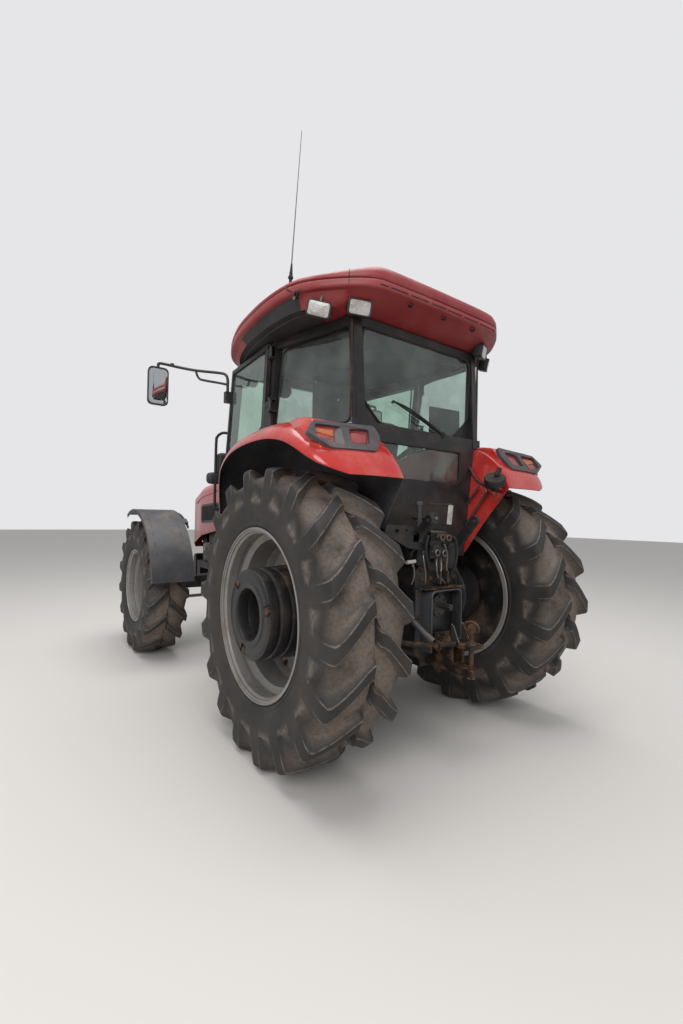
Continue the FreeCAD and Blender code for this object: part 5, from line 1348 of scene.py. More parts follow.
# cab: painted frame, bonded glass on rubber, doors, mirrors and lamps
dressedNodes = {
    "cab_frame": ("cabPaint", "cab_black", 0.007), "cab_tub": ("cabPaint", "cab_black", 0.005),
    "door_left": ("cabPaint", "cab_black", 0.005), "door_right": ("cabPaint", "cab_black", 0.005),
    "console": ("grainedPlastic", "black_plastic", 0.018),
    "steering_wheel": ("sealRubber", "black_plastic", 0.004),
    "steps": ("chassisPaint", "chassis_black", 0.004), "fuel_tank": ("guardPlastic", "black_plastic", 0.022),
    "battery_box": ("grainedPlastic", "black_plastic", 0.01),
    "exhaust": ("hotSteel", "exhaust_steel", 0.003),
    "engine_block": ("castIron", "cast_black", 0.01), "transmission": ("castIron", "cast_black", 0.012),
    "rear_axle": ("castIron", "cast_black", 0.008), "front_axle": ("castIron", "cast_black", 0.007),
    "knuckle_left": ("castIron", "cast_black", 0.006), "knuckle_right": ("castIron", "cast_black", 0.006),
    "front_fender_left": ("guardPlastic", "black_plastic", 0.0024),
    "front_fender_right": ("guardPlastic", "black_plastic", 0.0024),
    "track_rod": ("zincSteel", "bare_steel", 0.002), "front_frame": ("chassisPaint", "chassis_black", 0.005),
    "weight_carrier": ("castIron", "cast_black", 0.008),
    "bonnet_support": ("chassisPaint", "chassis_black", 0.004),
    "hitch": ("brownSteel", "cast_black", 0.004), "hitch_pin": ("rustedSteel", "bare_steel", 0.003),
    "pto_stub": ("castIron", "bare_steel", 0.002), "lift_housing": ("castIron", "cast_black", 0.012),
    "lift_arms": ("castIron", "cast_black", 0.006), "bonnet": ("redEnamel", "red_paint", 0.01),
}
dressed = {}
for node, (finish, slot, edge) in dressedNodes.items():
    dressed[node] = roundedCopy(node, finish, slot, edge, 3)
for node, finish in (("cab_glass", "tintedGlass"), ("door_glass_left", "doorGlass"),
                     ("door_glass_right", "doorGlass")):
    shell = frame["nodes"][node]
    shell.data.materials.clear()
    shell.data.materials.append(allFinishes[finish])
print("plain castings dressed:", len(dressed))

cabLook = {
    "rearPane": [(0.352, 2.042), (0.505, 2.19), (0.522, 2.6), (0.49, 2.64)],
    "rearY": 0.2335, "bead": 0.008, "shadeFoot": 2.52, "strip": 0.0075,
}


def quarterX(y):
    # the quarter windows stand in a plane that narrows to the rear
    return 0.69 - 0.2231 * (y + 0.45)


def ringOf(outline, at, radius, corner):
    return tubeShape([at(a, b) for a, b in roundedOutline(outline, corner, 6)], radius, 8, True)


seals = Workpiece("windowSeals")
rearHalf = cabLook["rearPane"]
rearWindow = rearHalf + [(-x, z) for x, z in reversed(rearHalf)]
seals.add(ringOf(rearWindow, lambda x, z: spot(x, cabLook["rearY"], z), cabLook["bead"], 0.05), "sealRubber")
lowWindow = [(-0.38, 1.7), (0.38, 1.7), (0.38, 1.93), (-0.38, 1.93)]
seals.add(ringOf(lowWindow, lambda x, z: spot(x, 0.272, z), 0.007, 0.04), "sealRubber")
quarter = [(-0.52, 2.045), (0.176, 2.045), (0.186, 2.63), (-0.448, 2.63)]
seals.add(ringOf(quarter, lambda y, z: spot(quarterX(y) + 0.004, y, z), 0.008, 0.05), "sealRubber",
          both=True)
# rubbed brown rubber down the door posts and the rear posts
for foot, head in (((0.728, -0.623, 2.215), (0.717, -0.572, 2.68)),
                   ((0.549, 0.236, 2.14), (0.553, 0.232, 2.64)),
                   ((0.6, 0.246, 2.06), (0.606, 0.24, 2.69))):
    path = [spot(*foot).lerp(spot(*head), k / 6) for k in range(7)]
    seals.bar(path, cabLook["strip"], "brownSteel", 8, both=True)
seals.make("chassis", "black_plastic")
# sheet corners that close the rear window's lower ends
corners = Workpiece("windowCorners")
corner = spots((0.34, 0.222, 2.03), (0.566, 0.222, 2.03), (0.566, 0.222, 2.25), (0.512, 0.222, 2.2))
corners.add(plateShape(corner, (0, 0.008, 0)), "cabPaint", both=True)
corners.make("chassis", "cab_black")

# smoked band along the top of the rear window, and its blind box inside
shade = Workpiece("rearShade")
shadeOutline = roundedOutline([(0.5, 2.505), (0.505, 2.64), (-0.505, 2.64), (-0.5, 2.6), (-0.29, 2.56)],
                              (0.01, 0.01, 0.01, 0.03, 0.06), 5)
shade.add(plateShape([spot(x, 0.219, z) for x, z in shadeOutline], (0, 0.004, 0)), "brownShade")
shade.block(spot(-0.48, 0.15, 2.6), spot(0.48, 0.212, 2.64), "grainedPlastic")
shade.make("chassis", "black_plastic", bevel=0.003)

# inside the left quarter window: a switch panel with four screws and a small control box
panel = Workpiece("switchPanel")
panelOutline = [(-0.222, 2.06), (-0.222, 2.394), (0.164, 2.271), (0.168, 2.06)]
panel.add(plateShape([spot(quarterX(y) - 0.052, y, z) for y, z in panelOutline], (-0.018, 0, 0)),
          "panelPaint",
          both=True)
box = [spot(quarterX(y) - 0.05, y, z) for y,
       z in ((-0.075, 2.316), (-0.075, 2.426), (0.075, 2.412), (0.075, 2.302))]
panel.add(plateShape(box, (-0.06, 0, 0)), "grainedPlastic")
panel.make("chassis", "cab_black", bevel=0.008, segments=3)
screws = [(spot(quarterX(y) - 0.052, y, z), (1, 0, 0)) for y, z in
          ((-0.188, 2.369), (0.017, 2.215), (0.122, 2.187), (0.132, 2.083))]
repeated("panelScrews", boltShape(0.013, 0.004, 12, 0.009), screws, "reflector", "chassis", "bare_steel")

# covers over the door hinges
covers = Workpiece("hingeCovers")
wedge = [(-0.585, 2.06), (-0.47, 2.065), (-0.505, 2.235), (-0.545, 2.245), (-0.585, 2.18)]
covers.add(plateShape([spot(0.748, y, z) for y, z in wedge], (0.034, 0, 0)), "grainedPlastic", both=True)
covers.make("chassis", "black_plastic", bevel=0.012, segments=3)


def doorSpot(y, z, out=0.0):
    # the doors hang in an upright plane that leans in towards the front
    return spot(0.75 + (y + 0.508) * 0.0788 + out, y, z)


for side, word in sideWords:
    trim = Workpiece("doorTrim." + word)
    flip = Vector((side, 1, 1))
    glassEdge = [(-0.584, 2.65), (-0.64, 2.104), (-0.74, 2.055), (-0.88, 1.985), (-1.0, 1.895),
                 (-1.086, 1.785), (-1.122, 1.65), (-1.122, 1.255), (-1.545, 1.255), (-1.3, 2.65)]
    bead = [doorSpot(y, z, 0.02) * flip for y, z in roundedOutline(glassEdge, 0.03, 4)]
    trim.add(tubeShape(bead, 0.007, 8, True), "sealRubber")
    # the latch handle outside, on its plate
    latch = [doorSpot(-1.17, 1.5, 0.034) * flip, doorSpot(-1.19, 1.5, 0.06) * flip,
             doorSpot(-1.3, 1.5, 0.06) * flip, doorSpot(-1.33, 1.5, 0.04) * flip]
    trim.bar(smoothPath(latch, 5), 0.011, "grainedPlastic", 12)
    plate = [doorSpot(y, z, 0.03) * flip for y, z in
             roundedOutline([(-1.12, 1.45), (-1.36, 1.45), (-1.36, 1.56), (-1.12, 1.56)], 0.03, 5)]
    trim.add(plateShape(plate, (0.008 * side, 0, 0)), "grainedPlastic")
    for z in (2.24, 2.62):
        # hinge straps over the door's rear edge
        strap = [spot(0.772, -0.56, z - 0.022), spot(0.772, -0.488, z - 0.022),
                 spot(0.772, -0.488, z + 0.022),
                 spot(0.772, -0.56, z + 0.022)]
        trim.add(plateShape([p * flip for p in strap], (0.01 * side, 0, 0)), "chassisPaint")
    trim.make("door_" + word, "black_plastic", bevel=0.002)

# wiper on the rear window
wiper = Workpiece("rearWiper")
wiper.disc(spot(-0.187, 0.236, 2.035), (0, 1, 0), 0.022, 0.05, "sealRubber", 20)
arm = smoothPath(spots((-0.187, 0.28, 2.035), (-0.05, 0.284, 2.094), (0.149, 0.284, 2.169),
                       (0.278, 0.276, 2.198)), 6)
wiper.add(tubeShape(arm, [0.01 - 0.005 * k / (len(arm) - 1) for k in range(len(arm))], 10), "sealRubber")
wiper.bar(spots((0.278, 0.276, 2.198), (0.278, 0.256, 2.196)), 0.008, "sealRubber", 10)
blade = spots((0.262, 0.248, 2.212), (0.05, 0.25, 2.14), (-0.18, 0.248, 2.056))
wiper.add(tubeShape(smoothPath(blade, 8), 0.0065, 8), "sealRubber")
wiper.block(spot(-0.235, 0.238, 1.996), spot(-0.139, 0.252, 2.03), "grainedPlastic")
wiper.make("chassis", "black_plastic", ("wiper",), bevel=0.0015)
print("cab glass and trim ready")

mirrorLook = {"lo": (1.15, -1.722, 2.38), "hi": (1.32, -1.668, 2.71), "corner": 0.045}


def makeMirrors():
    # rounded shells with a convex glass towards the rear, on bent tube arms with a clamp
    x0, y0, z0 = mirrorLook["lo"]
    x1, y1, z1 = mirrorLook["hi"]
    edge = roundedOutline([(x0, z0), (x1, z0), (x1, z1), (x0, z1)], mirrorLook["corner"], 8)
    shell = Workpiece("mirrorShells")
    glass = Workpiece("mirrorGlasses")
    for side in (1, -1):
        at = lambda x, z, y: spot(x * side, y, z)
        steps = [(0.03, y0), (0.012, y0 + 0.004), (0.003, y0 + 0.014), (0.0, y0 + 0.03), (0.0, y1 - 0.004),
                 (0.002, y1), (0.008, y1 + 0.0005), (0.012, y1 - 0.003), (0.013, y1 - 0.01)]
        shell.add(stepped(edge, steps, at), "grainedPlastic")
        steps = [(0.0, y1 - 0.009), (0.0005, y1 - 0.0065), (0.02, y1 - 0.004), (0.04, y1 - 0.0035)]
        glass.add(stepped(drawnIn(edge, 0.0135), steps, at), "mirrorGlass")
    arm = [(0.726, -1.382, 2.48), (0.727, -1.384, 2.56), (0.728, -1.386, 2.63), (0.742, -1.402, 2.675),
           (0.785, -1.45, 2.694), (0.93, -1.602, 2.722), (1.06, -1.664, 2.738), (1.18, -1.687, 2.748),
           (1.226, -1.692, 2.746), (1.235, -1.696, 2.722), (1.235, -1.7, 2.64)]
    shell.bar(smoothPath(spots(*arm), 6), 0.0125, "grainedPlastic", 12, both=True)
    # second strut below the arm, the clamp with its wing knob and the pivot block at the post
    strut = [(0.937, -1.606, 2.722), (0.925, -1.6, 2.68), (0.905, -1.59, 2.65), (0.87, -1.56, 2.636),
             (0.78, -1.45, 2.606), (0.727, -1.39, 2.588)]
    shell.bar(smoothPath(spots(*strut), 6), 0.0105, "grainedPlastic", 12, both=True)
    shell.bar(spots((1.12, -1.683, 2.738), (1.12, -1.683, 2.764)), 0.017, "sealRubber", 12, both=True)
    shell.bar(spots((1.12, -1.683, 2.752), (1.12, -1.683, 2.7655)), 0.008, "sealRubber", 10, both=True)
    shell.block(spot(0.7, -1.408, 2.425), spot(0.752, -1.358, 2.52), "grainedPlastic", both=True)
    shell.make("chassis", "black_plastic", ("mirrors",), bevel=0.003, segments=2)
    glass.make("chassis", "black_plastic", sharp=30)


# x, y, height over the cab's header, turn, tilt and roll in degrees
lampSpots = [(0.6, 0.312, 0.006, -26, -12, -5), (0.815, 0.185, -0.018, -38, -12, -12),
             (0.54, -1.38, -0.05, 180, 0, 0)]


def makeWorkLamps():
    # rectangular work lamps: a black shell, a grey rim and a ribbed clear face over the reflector
    half = Vector((0.075, 0.0, 0.0475))
    shells = Workpiece("workLamps")
    faces = Workpiece("workLampGlasses")
    for x, y, drop, turn, tilt, roll in lampSpots:
        for side in (1, -1):
            centre = spot(x * side, y, headerZ + drop)
            spin = Matrix.Rotation(radians(turn) * side, 3, "Z") @ Matrix.Rotation(radians(tilt), 3, "X")
            spin = spin @ Matrix.Rotation(radians(roll) * side, 3, "Y")
            outline = roundedOutline([(-half.x, -half.z), (half.x, -half.z), (half.x, half.z),
                                      (-half.x, half.z)],
                                     0.018, 6)
            at = lambda a, b, back: centre + spin @ Vector((a, back, b))
            steps = [(0.022, -0.075), (0.008, -0.068), (0.002, -0.05), (0.0, -0.012), (0.0, -0.002),
                     (0.003, 0.0), (0.009, 0.0), (0.011, -0.004)]
            shells.add(stepped(outline, steps, at), "grainedPlastic")
            steps = [(0.0, -0.008), (0.001, -0.003), (0.012, -0.0008), (0.026, 0.0)]
            faces.add(stepped(drawnIn(outline, 0.0105), steps, at), "reflector")
            shells.bar([at(0, 0.046, -0.03), at(0, 0.08, -0.045)], 0.012, "zincSteel", 12)
            for a in (-1, 1):
                shells.bar([at(a * 0.07, 0.0, -0.04), at(a * 0.079, 0.0, -0.04)], 0.012, "sealRubber", 12)
            strap = [at(-0.06, 0.052, -0.045), at(0.0, 0.056, -0.045), at(0.06, 0.052, -0.045)]
            shells.bar(strap, 0.006, "chassisPaint", 8)
    shells.make("chassis", "black_plastic", ("work_lamps",), bevel=0.0015)
    faces.make("chassis", "lamp_plastic", sharp=24)


makeMirrors()
makeWorkLamps()

# radio aerial: a spring foot on the roof's edge, a thin steel whip and its cable tied in a bundle
aerial = Workpiece("aerial")
foot, tip = Vector((0.893, -0.02, 2.93)), Vector((0.9, 0.09, 3.77))
whip = [spot(*(foot.lerp(tip, k / 12))) for k in range(13)]
aerial.add(tubeShape(whip, [0.0042 - 0.0022 * k / 12 for k in range(13)], 8), "zincSteel")
aerial.turn([(0.0, 0.0), (0.0, 0.016), (0.012, 0.016), (0.016, 0.012), (0.034, 0.01), (0.07, 0.0065),
             (0.09, 0.005),
             (0.09, 0.0)], spot(0.893, -0.02, 2.918), "sealRubber", (0.008, 0.13, 1), 20)
aerial.make("chassis", "black_plastic", ("antenna",))
loops = Workpiece("aerialCable")
loops.bar(spots((0.893, -0.02, 2.872), (0.893, -0.02, 2.921)), 0.01, "sealRubber", 12)
for k in range(4):
    r = 0.026 + 0.004 * (k % 2)
    turn = [(0.896 + 0.005 * k + 0.01 * cos(a), 0.076 + r * cos(a), 2.786 - 0.004 * k + r * 0.8 * sin(a))
            for a in [2 * pi * j / 16 for j in range(16)]]
    loops.add(tubeShape(spots(*turn), 0.0035, 8, True), "sealRubber")
lead = [(0.9, -0.02, 2.885), (0.92, -0.008, 2.87), (0.938, 0.01, 2.83), (0.916, 0.05, 2.8)]
loops.bar(smoothPath(spots(*lead), 5), 0.0035, "sealRubber", 8)
loops.bar(spots((0.9, 0.04, 2.774), (0.916, 0.07, 2.758)), 0.01, "zincSteel", 10)
loops.make("chassis", "black_plastic")

# looped grab rail at each front post, with a tall and a wide lamp pod on it
railLook = {
    "path": [(0.66, -1.56, 1.5), (0.735, -1.56, 1.5), (0.752, -1.56, 1.525), (0.752, -1.562, 1.8),
             (0.747, -1.571, 2.1), (0.738, -1.571, 2.15), (0.712, -1.56, 2.18), (0.68, -1.53, 2.188),
             (0.652, -1.506, 2.165), (0.642, -1.5, 2.06), (0.642, -1.498, 1.98)],
    "radius": 0.0125,
    "pods": [(0.63, 0.728, 1.8, 2.01), (0.69, 0.82, 1.722, 1.826)],
    "back": -1.548, "front": -1.606,
}
rail = Workpiece("grabRails")
rail.bar(smoothPath(spots(*railLook["path"]), 5), railLook["radius"], "sealRubber", 12, both=True)
rail.make("chassis", "chassis_black", ("handrails",))
pods = Workpiece("sideLamps")
for x0, x1, z0, z1 in railLook["pods"]:
    edge = roundedOutline([(x0, z0), (x1, z0), (x1, z1), (x0, z1)], 0.042, 6)
    back, front = railLook["back"], railLook["front"]
    at = lambda x, z, y: spot(x, y, z)
    steps = [(0.022, back), (0.008, back - 0.006), (0.0, back - 0.02), (0.0, front + 0.002), (0.004, front),
             (0.01, front)]
    pods.add(stepped(edge, steps, at), "grainedPlastic", True)
    steps = [(0.0, front + 0.002), (0.001, front - 0.003), (0.01, front - 0.005)]
    pods.add(stepped(drawnIn(edge, 0.012), steps, at), "amberLens", True)
pods.make("chassis", "lamp_plastic")
print("mirrors, lamps and aerial ready")


# rear: shaft guard, couplers, pipes and what hangs on the rear housing
guardLook = {"low": 0.612, "top": 1.0, "wall": 0.42, "mouth": 0.508, "halfWall": 0.162, "halfMouth": 0.14,
             "corner": 0.045, "thick": 0.007}


def makeGuard():
    look = guardLook

    def arch(half, top, y):
        corners = [(-half, look["low"]), (-half, top), (half, top), (half, look["low"])]
        line = roundedOutline(corners, (0, look["corner"], look["corner"], 0), 6)
        return [spot(x, y, z) for x, z in line]

    guard = Workpiece("shaftGuard")
    t = look["thick"]
    rings = [arch(look["halfWall"] - t, look["top"] - t, look["wall"]),
             arch(look["halfWall"], look["top"], look["wall"]),
             arch(look["halfWall"] - 0.004, look["top"] - 0.002, look["wall"] + 0.03),
             arch(look["halfMouth"] + 0.004, look["top"] - 0.006, look["mouth"] - 0.012),
             arch(look["halfMouth"] + 0.006, look["top"] - 0.004, look["mouth"] - 0.004),
             arch(look["halfMouth"] + 0.004, look["top"] - 0.006, look["mouth"]),
             arch(look["halfMouth"] - t, look["top"] - 0.006 - t, look["mouth"]),
             arch(look["halfMouth"] - t, look["top"] - 0.006 - t, look["mouth"] - 0.02)]
    count = len(rings[0])
    points, faces = loftShape(rings + [rings[0]], caps=False, loop=False)
    for end in (0, count - 1):
        # the two feet are closed
        faces.append(tuple(end + count * k for k in range(len(rings))))
    guard.add((points, faces), "guardPlastic")
    flange = roundedOutline([(-0.204, 0.64), (0.204, 0.64), (0.204, 1.008), (-0.204, 1.008)], 0.03, 5)
    opening = roundedOutline([(-0.15, 0.65), (0.15, 0.65), (0.15, 0.985), (-0.15, 0.985)], 0.03, 5)
    guard.add(holedShape([flange, opening], lambda x, z, side: spot(x, 0.4215 + 0.007 * side, z)),
              "guardPlastic")
    guard.block(spot(-0.19, 0.424, 1.001), spot(0.2, 0.5, 1.007), "brownSteel")
    guard.make("chassis", "black_plastic", ("pto_guard",), bevel=0.0015, sharp=30)
    bolts = [(spot(x * 0.184, 0.4285, z), (0, 1, 0)) for x in (-1, 1) for z in (0.67, 0.82, 0.97)]
    repeated("guardBolts", boltShape(0.017, 0.009, 6, 0.014), bolts, "rustedSteel", "chassis", "bare_steel")


def makeShaft():
    # splined stub with a ring groove, in its bolted bearing cap
    stub = Workpiece("shaftSplines")
    for k in range(6):
        a = radians(60 * k)
        c = Vector((0.0165 * cos(a), 0, shaftZ + 0.0165 * sin(a)))
        stub.bar([spot(c.x, 0.452, c.z), spot(c.x, 0.505, c.z)], 0.0038, "zincSteel", 8)
        stub.bar([spot(c.x, 0.512, c.z), spot(c.x, 0.538, c.z)], 0.0038, "zincSteel", 8)
    stub.make("chassis", "bare_steel")
    bolts = ringSpots(spot(0, 0, 0), 0.056, 6, 0.5)
    bolts = [(spot(p.y - axleY, 0.444, shaftZ + p.z), (0, 1, 0)) for p in [Vector(p) for p, _ in bolts]]
    repeated("capBolts", boltShape(0.013, 0.008), bolts, "castIron", "chassis", "bare_steel")


def makeCouplers():
    # four quick couplers on two spool valves, their sleeves pointing to the rear
    places = [(0.04, 1.328), (-0.019, 1.324), (0.085, 1.231), (0.018, 1.226)]
    block = Workpiece("spoolValves")
    for z, x0, x1 in ((1.326, -0.05, 0.104), (1.229, -0.02, 0.11)):
        block.block(spot(x0, 0.421, z - 0.036), spot(x1, 0.456, z + 0.034), "castIron")
        block.bar(spots((x0 + 0.01, 0.44, z + 0.03), (x1 - 0.008, 0.44, z + 0.036)), 0.01, "zincSteel", 12)
    block.block(spot(-0.056, 0.421, 1.165), spot(0.06, 0.446, 1.366), "castIron")
    block.make("chassis", "cast_black", ("remotes",), bevel=0.005, segments=3)
    sleeves = Workpiece("couplers")
    for x, z in places:
        sleeves.turn([(0.0, 0.0), (0.0, 0.017), (0.008, 0.017), (0.008, 0.0215), (0.013, 0.023),
                      (0.018, 0.0205),
                      (0.022, 0.0205), (0.027, 0.023), (0.041, 0.023), (0.044, 0.021), (0.044, 0.0145),
                      (0.036, 0.0125), (0.02, 0.012), (0.02, 0.0)], spot(x, 0.455, z), "zincSteel",
                     (0, 1, 0), 28)
        sleeves.turn([(0.0, 0.0), (0.0, 0.0085), (0.004, 0.0095), (0.012, 0.006), (0.014, 0.0)],
                     spot(x, 0.474, z), "sealRubber", (0, 1, 0), 16)
    sleeves.make("chassis", "bare_steel", sharp=30)
    caps = Workpiece("couplerCaps")
    for x, z in ((0.108, 1.288), (-0.062, 1.27)):
        caps.turn([(0.0, 0.0), (0.0, 0.02), (0.004, 0.022), (0.022, 0.021), (0.026, 0.017), (0.026, 0.0)],
                  spot(x, 0.452, z), "sealRubber", (0, 1, -0.4), 20)
        caps.bar(smoothPath(spots((x, 0.462, z + 0.02), (x * 0.8, 0.47, z + 0.04),
                                  (x * 0.6, 0.462, z + 0.046)), 4),
                 0.0035, "sealRubber", 8)
    caps.make("chassis", "black_plastic")


def makePipes():
    # steel pipes and rubber hoses from the valves down over the housing
    pipes = Workpiece("rearPipes")
    steel = [
        [(0.05, 0.452, 1.19), (0.062, 0.466, 1.15), (0.058, 0.47, 1.09), (0.02, 0.462, 1.04),
         (0.0, 0.44, 1.012)],
        [(0.012, 0.452, 1.19), (0.02, 0.47, 1.14), (0.03, 0.474, 1.075), (-0.02, 0.466, 1.03),
         (-0.04, 0.44, 1.01)],
        [(-0.02, 0.452, 1.285), (-0.035, 0.468, 1.22), (-0.03, 0.47, 1.13), (-0.06, 0.462, 1.05),
         (-0.08, 0.44, 1.012)],
        [(0.16, 0.448, 1.24), (0.176, 0.462, 1.19), (0.164, 0.466, 1.11), (0.15, 0.452, 1.04),
         (0.146, 0.43, 1.01)],
        [(0.264, 0.446, 1.18), (0.258, 0.46, 1.14), (0.258, 0.46, 1.08), (0.264, 0.446, 1.04)],
    ]
    for route in steel:
        pipes.bar(smoothPath(spots(*route), 6), 0.0065, "zincSteel", 10)
        pipes.bar([spot(*route[0]), spot(*route[0]).lerp(spot(*route[1]), 0.5)], 0.011, "zincSteel", 6)
    pipes.bar(spots((0.252, 0.462, 1.182), (0.322, 0.462, 1.178)), 0.012, "reflector", 12)
    pipes.bar(spots((0.272, 0.462, 1.178), (0.272, 0.462, 1.15)), 0.009, "zincSteel", 10)
    rubber = [
        [(0.1, 0.43, 1.33), (0.15, 0.47, 1.33), (0.172, 0.476, 1.26), (0.15, 0.47, 1.18),
         (0.11, 0.44, 1.12)],
        [(-0.06, 0.43, 1.33), (-0.11, 0.466, 1.32), (-0.13, 0.47, 1.23), (-0.12, 0.46, 1.13),
         (-0.11, 0.43, 1.07)],
        [(-0.09, 0.425, 1.13), (-0.16, 0.45, 1.09), (-0.19, 0.44, 1.0), (-0.196, 0.41, 0.9)],
    ]
    for route in rubber:
        pipes.bar(smoothPath(spots(*route), 6), 0.01, "sealRubber", 12)
    pipes.make("chassis", "bare_steel")


def makeBrackets():
    # post, reel, tag and the holed plate between the cab and the lift
    parts = Workpiece("rearBrackets")
    parts.bar(spots((0.213, 0.452, 1.345), (0.218, 0.46, 1.45), (0.224, 0.462, 1.53)), 0.015,
              "guardPlastic", 14)
    parts.bar(spots((0.224, 0.462, 1.528), (0.225, 0.462, 1.552)), 0.024, "guardPlastic", 14)
    parts.block(spot(0.196, 0.42, 1.3), spot(0.232, 0.474, 1.356), "castIron")
    plate = roundedOutline([(0.503, 1.353), (0.481, 1.407), (0.2, 1.398), (0.196, 1.25), (0.3, 1.262)],
                           0.012, 4)
    hole = [(0.402 + 0.017 * cos(2 * pi * k / 16), 1.366 + 0.014 * sin(2 * pi * k / 16)) for k in range(16)]
    small = [(0.32 + 0.008 * cos(2 * pi * k / 12), 1.372 + 0.008 * sin(2 * pi * k / 12)) for k in range(12)]
    slot = roundedOutline([(0.232, 1.3), (0.262, 1.3), (0.262, 1.345), (0.232, 1.345)], 0.01, 4)
    parts.add(holedShape([plate, hole, small, slot], lambda x, z, side: spot(x, 0.45 + 0.007 * side, z)),
              "chassisPaint")
    for x in (0.3, 0.46):
        parts.bar(spots((x, 0.3, 1.375), (x, 0.452, 1.375)), 0.012, "chassisPaint", 10)
    parts.add(plateShape([spot(x, 0.474, z) for x, z in
                          roundedOutline([(-0.078, 1.537), (-0.032, 1.537), (-0.018, 1.412),
                                          (-0.062, 1.41)], 0.006, 3)],
                         (0, 0.004, 0)), "reflector")
    parts.bar(spots((-0.054, 0.288, 1.545), (-0.054, 0.476, 1.54)), 0.006, "zincSteel", 8)
    parts.make("chassis", "chassis_black", bevel=0.0015)
    reel = Workpiece("hoseReel")
    reel.turn([(0.0, 0.01), (0.0, 0.036), (0.004, 0.038), (0.008, 0.034), (0.01, 0.024), (0.028, 0.024),
               (0.03, 0.034), (0.034, 0.038), (0.038, 0.036), (0.038, 0.01)], spot(0.081, 0.43, 1.449),
              "grainedPlastic", (0, 1, 0), 28)
    reel.turn([(-0.02, 0.0), (-0.02, 0.011), (0.048, 0.011), (0.05, 0.009), (0.05, 0.0)],
              spot(0.081, 0.43, 1.449),
              "zincSteel", (0, 1, 0), 16)
    reel.bar(spots((0.081, 0.286, 1.449), (0.081, 0.44, 1.449)), 0.012, "chassisPaint", 10)
    reel.make("chassis", "black_plastic")


def makeTow():
    # tube with its eye, cross bar and gussets over the drawbar; a looped handle on the drop pin
    tow = Workpiece("towFittings")
    tow.bar(spots((0.262, 0.47, 0.812), (0.24, 0.54, 0.752), (0.224, 0.6, 0.716)), 0.019, "guardPlastic", 16)
    ring = [spot(0.216 + 0.006 * sin(a), 0.622 + 0.024 * cos(a), 0.7 + 0.026 * sin(a))
            for a in [2 * pi * k / 20 for k in range(20)]]
    tow.add(tubeShape(ring, 0.009, 10, True), "brownSteel")
    tow.bar(spots((0.36, 0.44, 0.7), (0.3, 0.52, 0.69), (0.075, 0.64, 0.69)), 0.016, "brownSteel", 14)
    tow.bar(spots((0.262, 0.47, 0.812), (0.28, 0.428, 0.836)), 0.026, "castIron", 14)
    for x in (-0.052, 0.044):
        gusset = spots((x, 0.585, 0.692), (x, 0.652, 0.692), (x, 0.604, 0.79), (x, 0.585, 0.8))
        tow.add(plateShape(gusset, (0.01, 0, 0)), "zincSteel")
    tow.block(spot(-0.072, 0.44, 0.66), spot(0.072, 0.47, 0.72), "castIron")
    tow.make("chassis", "cast_black", bevel=0.002)
    handle = Workpiece("pinHandle")
    loop = [spot(0.0, 0.7 + 0.052 * cos(a), 0.792 + 0.034 * sin(a))
            for a in [2 * pi * k / 24 for k in range(24)]]
    handle.add(tubeShape(loop, 0.008, 10, True), "rustedSteel")
    handle.bar(spots((0.0, 0.7, 0.752), (0.0, 0.7, 0.775)), 0.019, "rustedSteel", 16)
    clip = smoothPath(spots((0.0, 0.69, 0.503), (0.03, 0.7, 0.494), (0.0, 0.722, 0.49), (-0.03, 0.7, 0.494),
                            (0.0, 0.682, 0.5)), 5)
    handle.bar(clip, 0.004, "zincSteel", 8)
    handle.make("chassis", "bare_steel")
    plateBolts = [(spot(x, y, 0.69), (0, 0, 1)) for x in (-0.04, 0.04) for y in (0.47, 0.53)]
    plateBolts += [(spot(x, y, 0.552), (0, 0, 1)) for x in (-0.09, 0.09) for y in (0.225, 0.355)]
    repeated("towBolts", boltShape(0.024, 0.014, 6, 0.02), plateBolts, "rustedSteel", "chassis",
             "bare_steel")
    washer = [(spot(0.0, 0.7, 0.691), (0, 0, 1))]
    repeated("pinWasher", latheShape([(0.0, 0.018), (0.0, 0.034), (0.005, 0.034), (0.005, 0.018)], 24),
             washer,
             "zincSteel", "chassis", "bare_steel")


def makeHousingBolts():
    # cap screws round the rear cover and the axle trumpets
    back = [(spot(x, 0.421, z), (0, 1, 0)) for x in (-0.15, -0.075, 0.075, 0.15)
            for z in (1.062, 1.12)]
    ends = []
    for side in (1, -1):
        ends += ringSpots(spot(0.5 * side, 0, rearTyre["tip"]), 0.186, 12, 0.2, (side, 0, 0))
        ends += ringSpots(spot(0.64 * side, 0, rearTyre["tip"]), 0.205, 10, 0.1, (-side, 0, 0))
    flange = Workpiece("axleFlanges")
    for side in (1, -1):
        flange.turn([(0.0, 0.1), (0.0, 0.205), (0.004, 0.209), (0.022, 0.209), (0.026, 0.205), (0.026, 0.1)],
                    spot(0.474 * side, 0, rearTyre["tip"]), "castIron", (side, 0, 0), 48)
        for k in range(6):
            a = radians(60 * k + 30)
            low = Vector((0.5 * side, axleY + 0.116 * cos(a), rearTyre["tip"] + 0.116 * sin(a)))
            high = Vector((0.634 * side, axleY + 0.2 * cos(a), rearTyre["tip"] + 0.2 * sin(a)))
            flange.bar([low, high], 0.011, "castIron", 8)
    flange.make("chassis", "cast_black", bevel=0.002)
    repeated("housingBolts", boltShape(0.022, 0.012, 6, 0.018), back + ends, "rustedSteel", "chassis",
             "bare_steel")


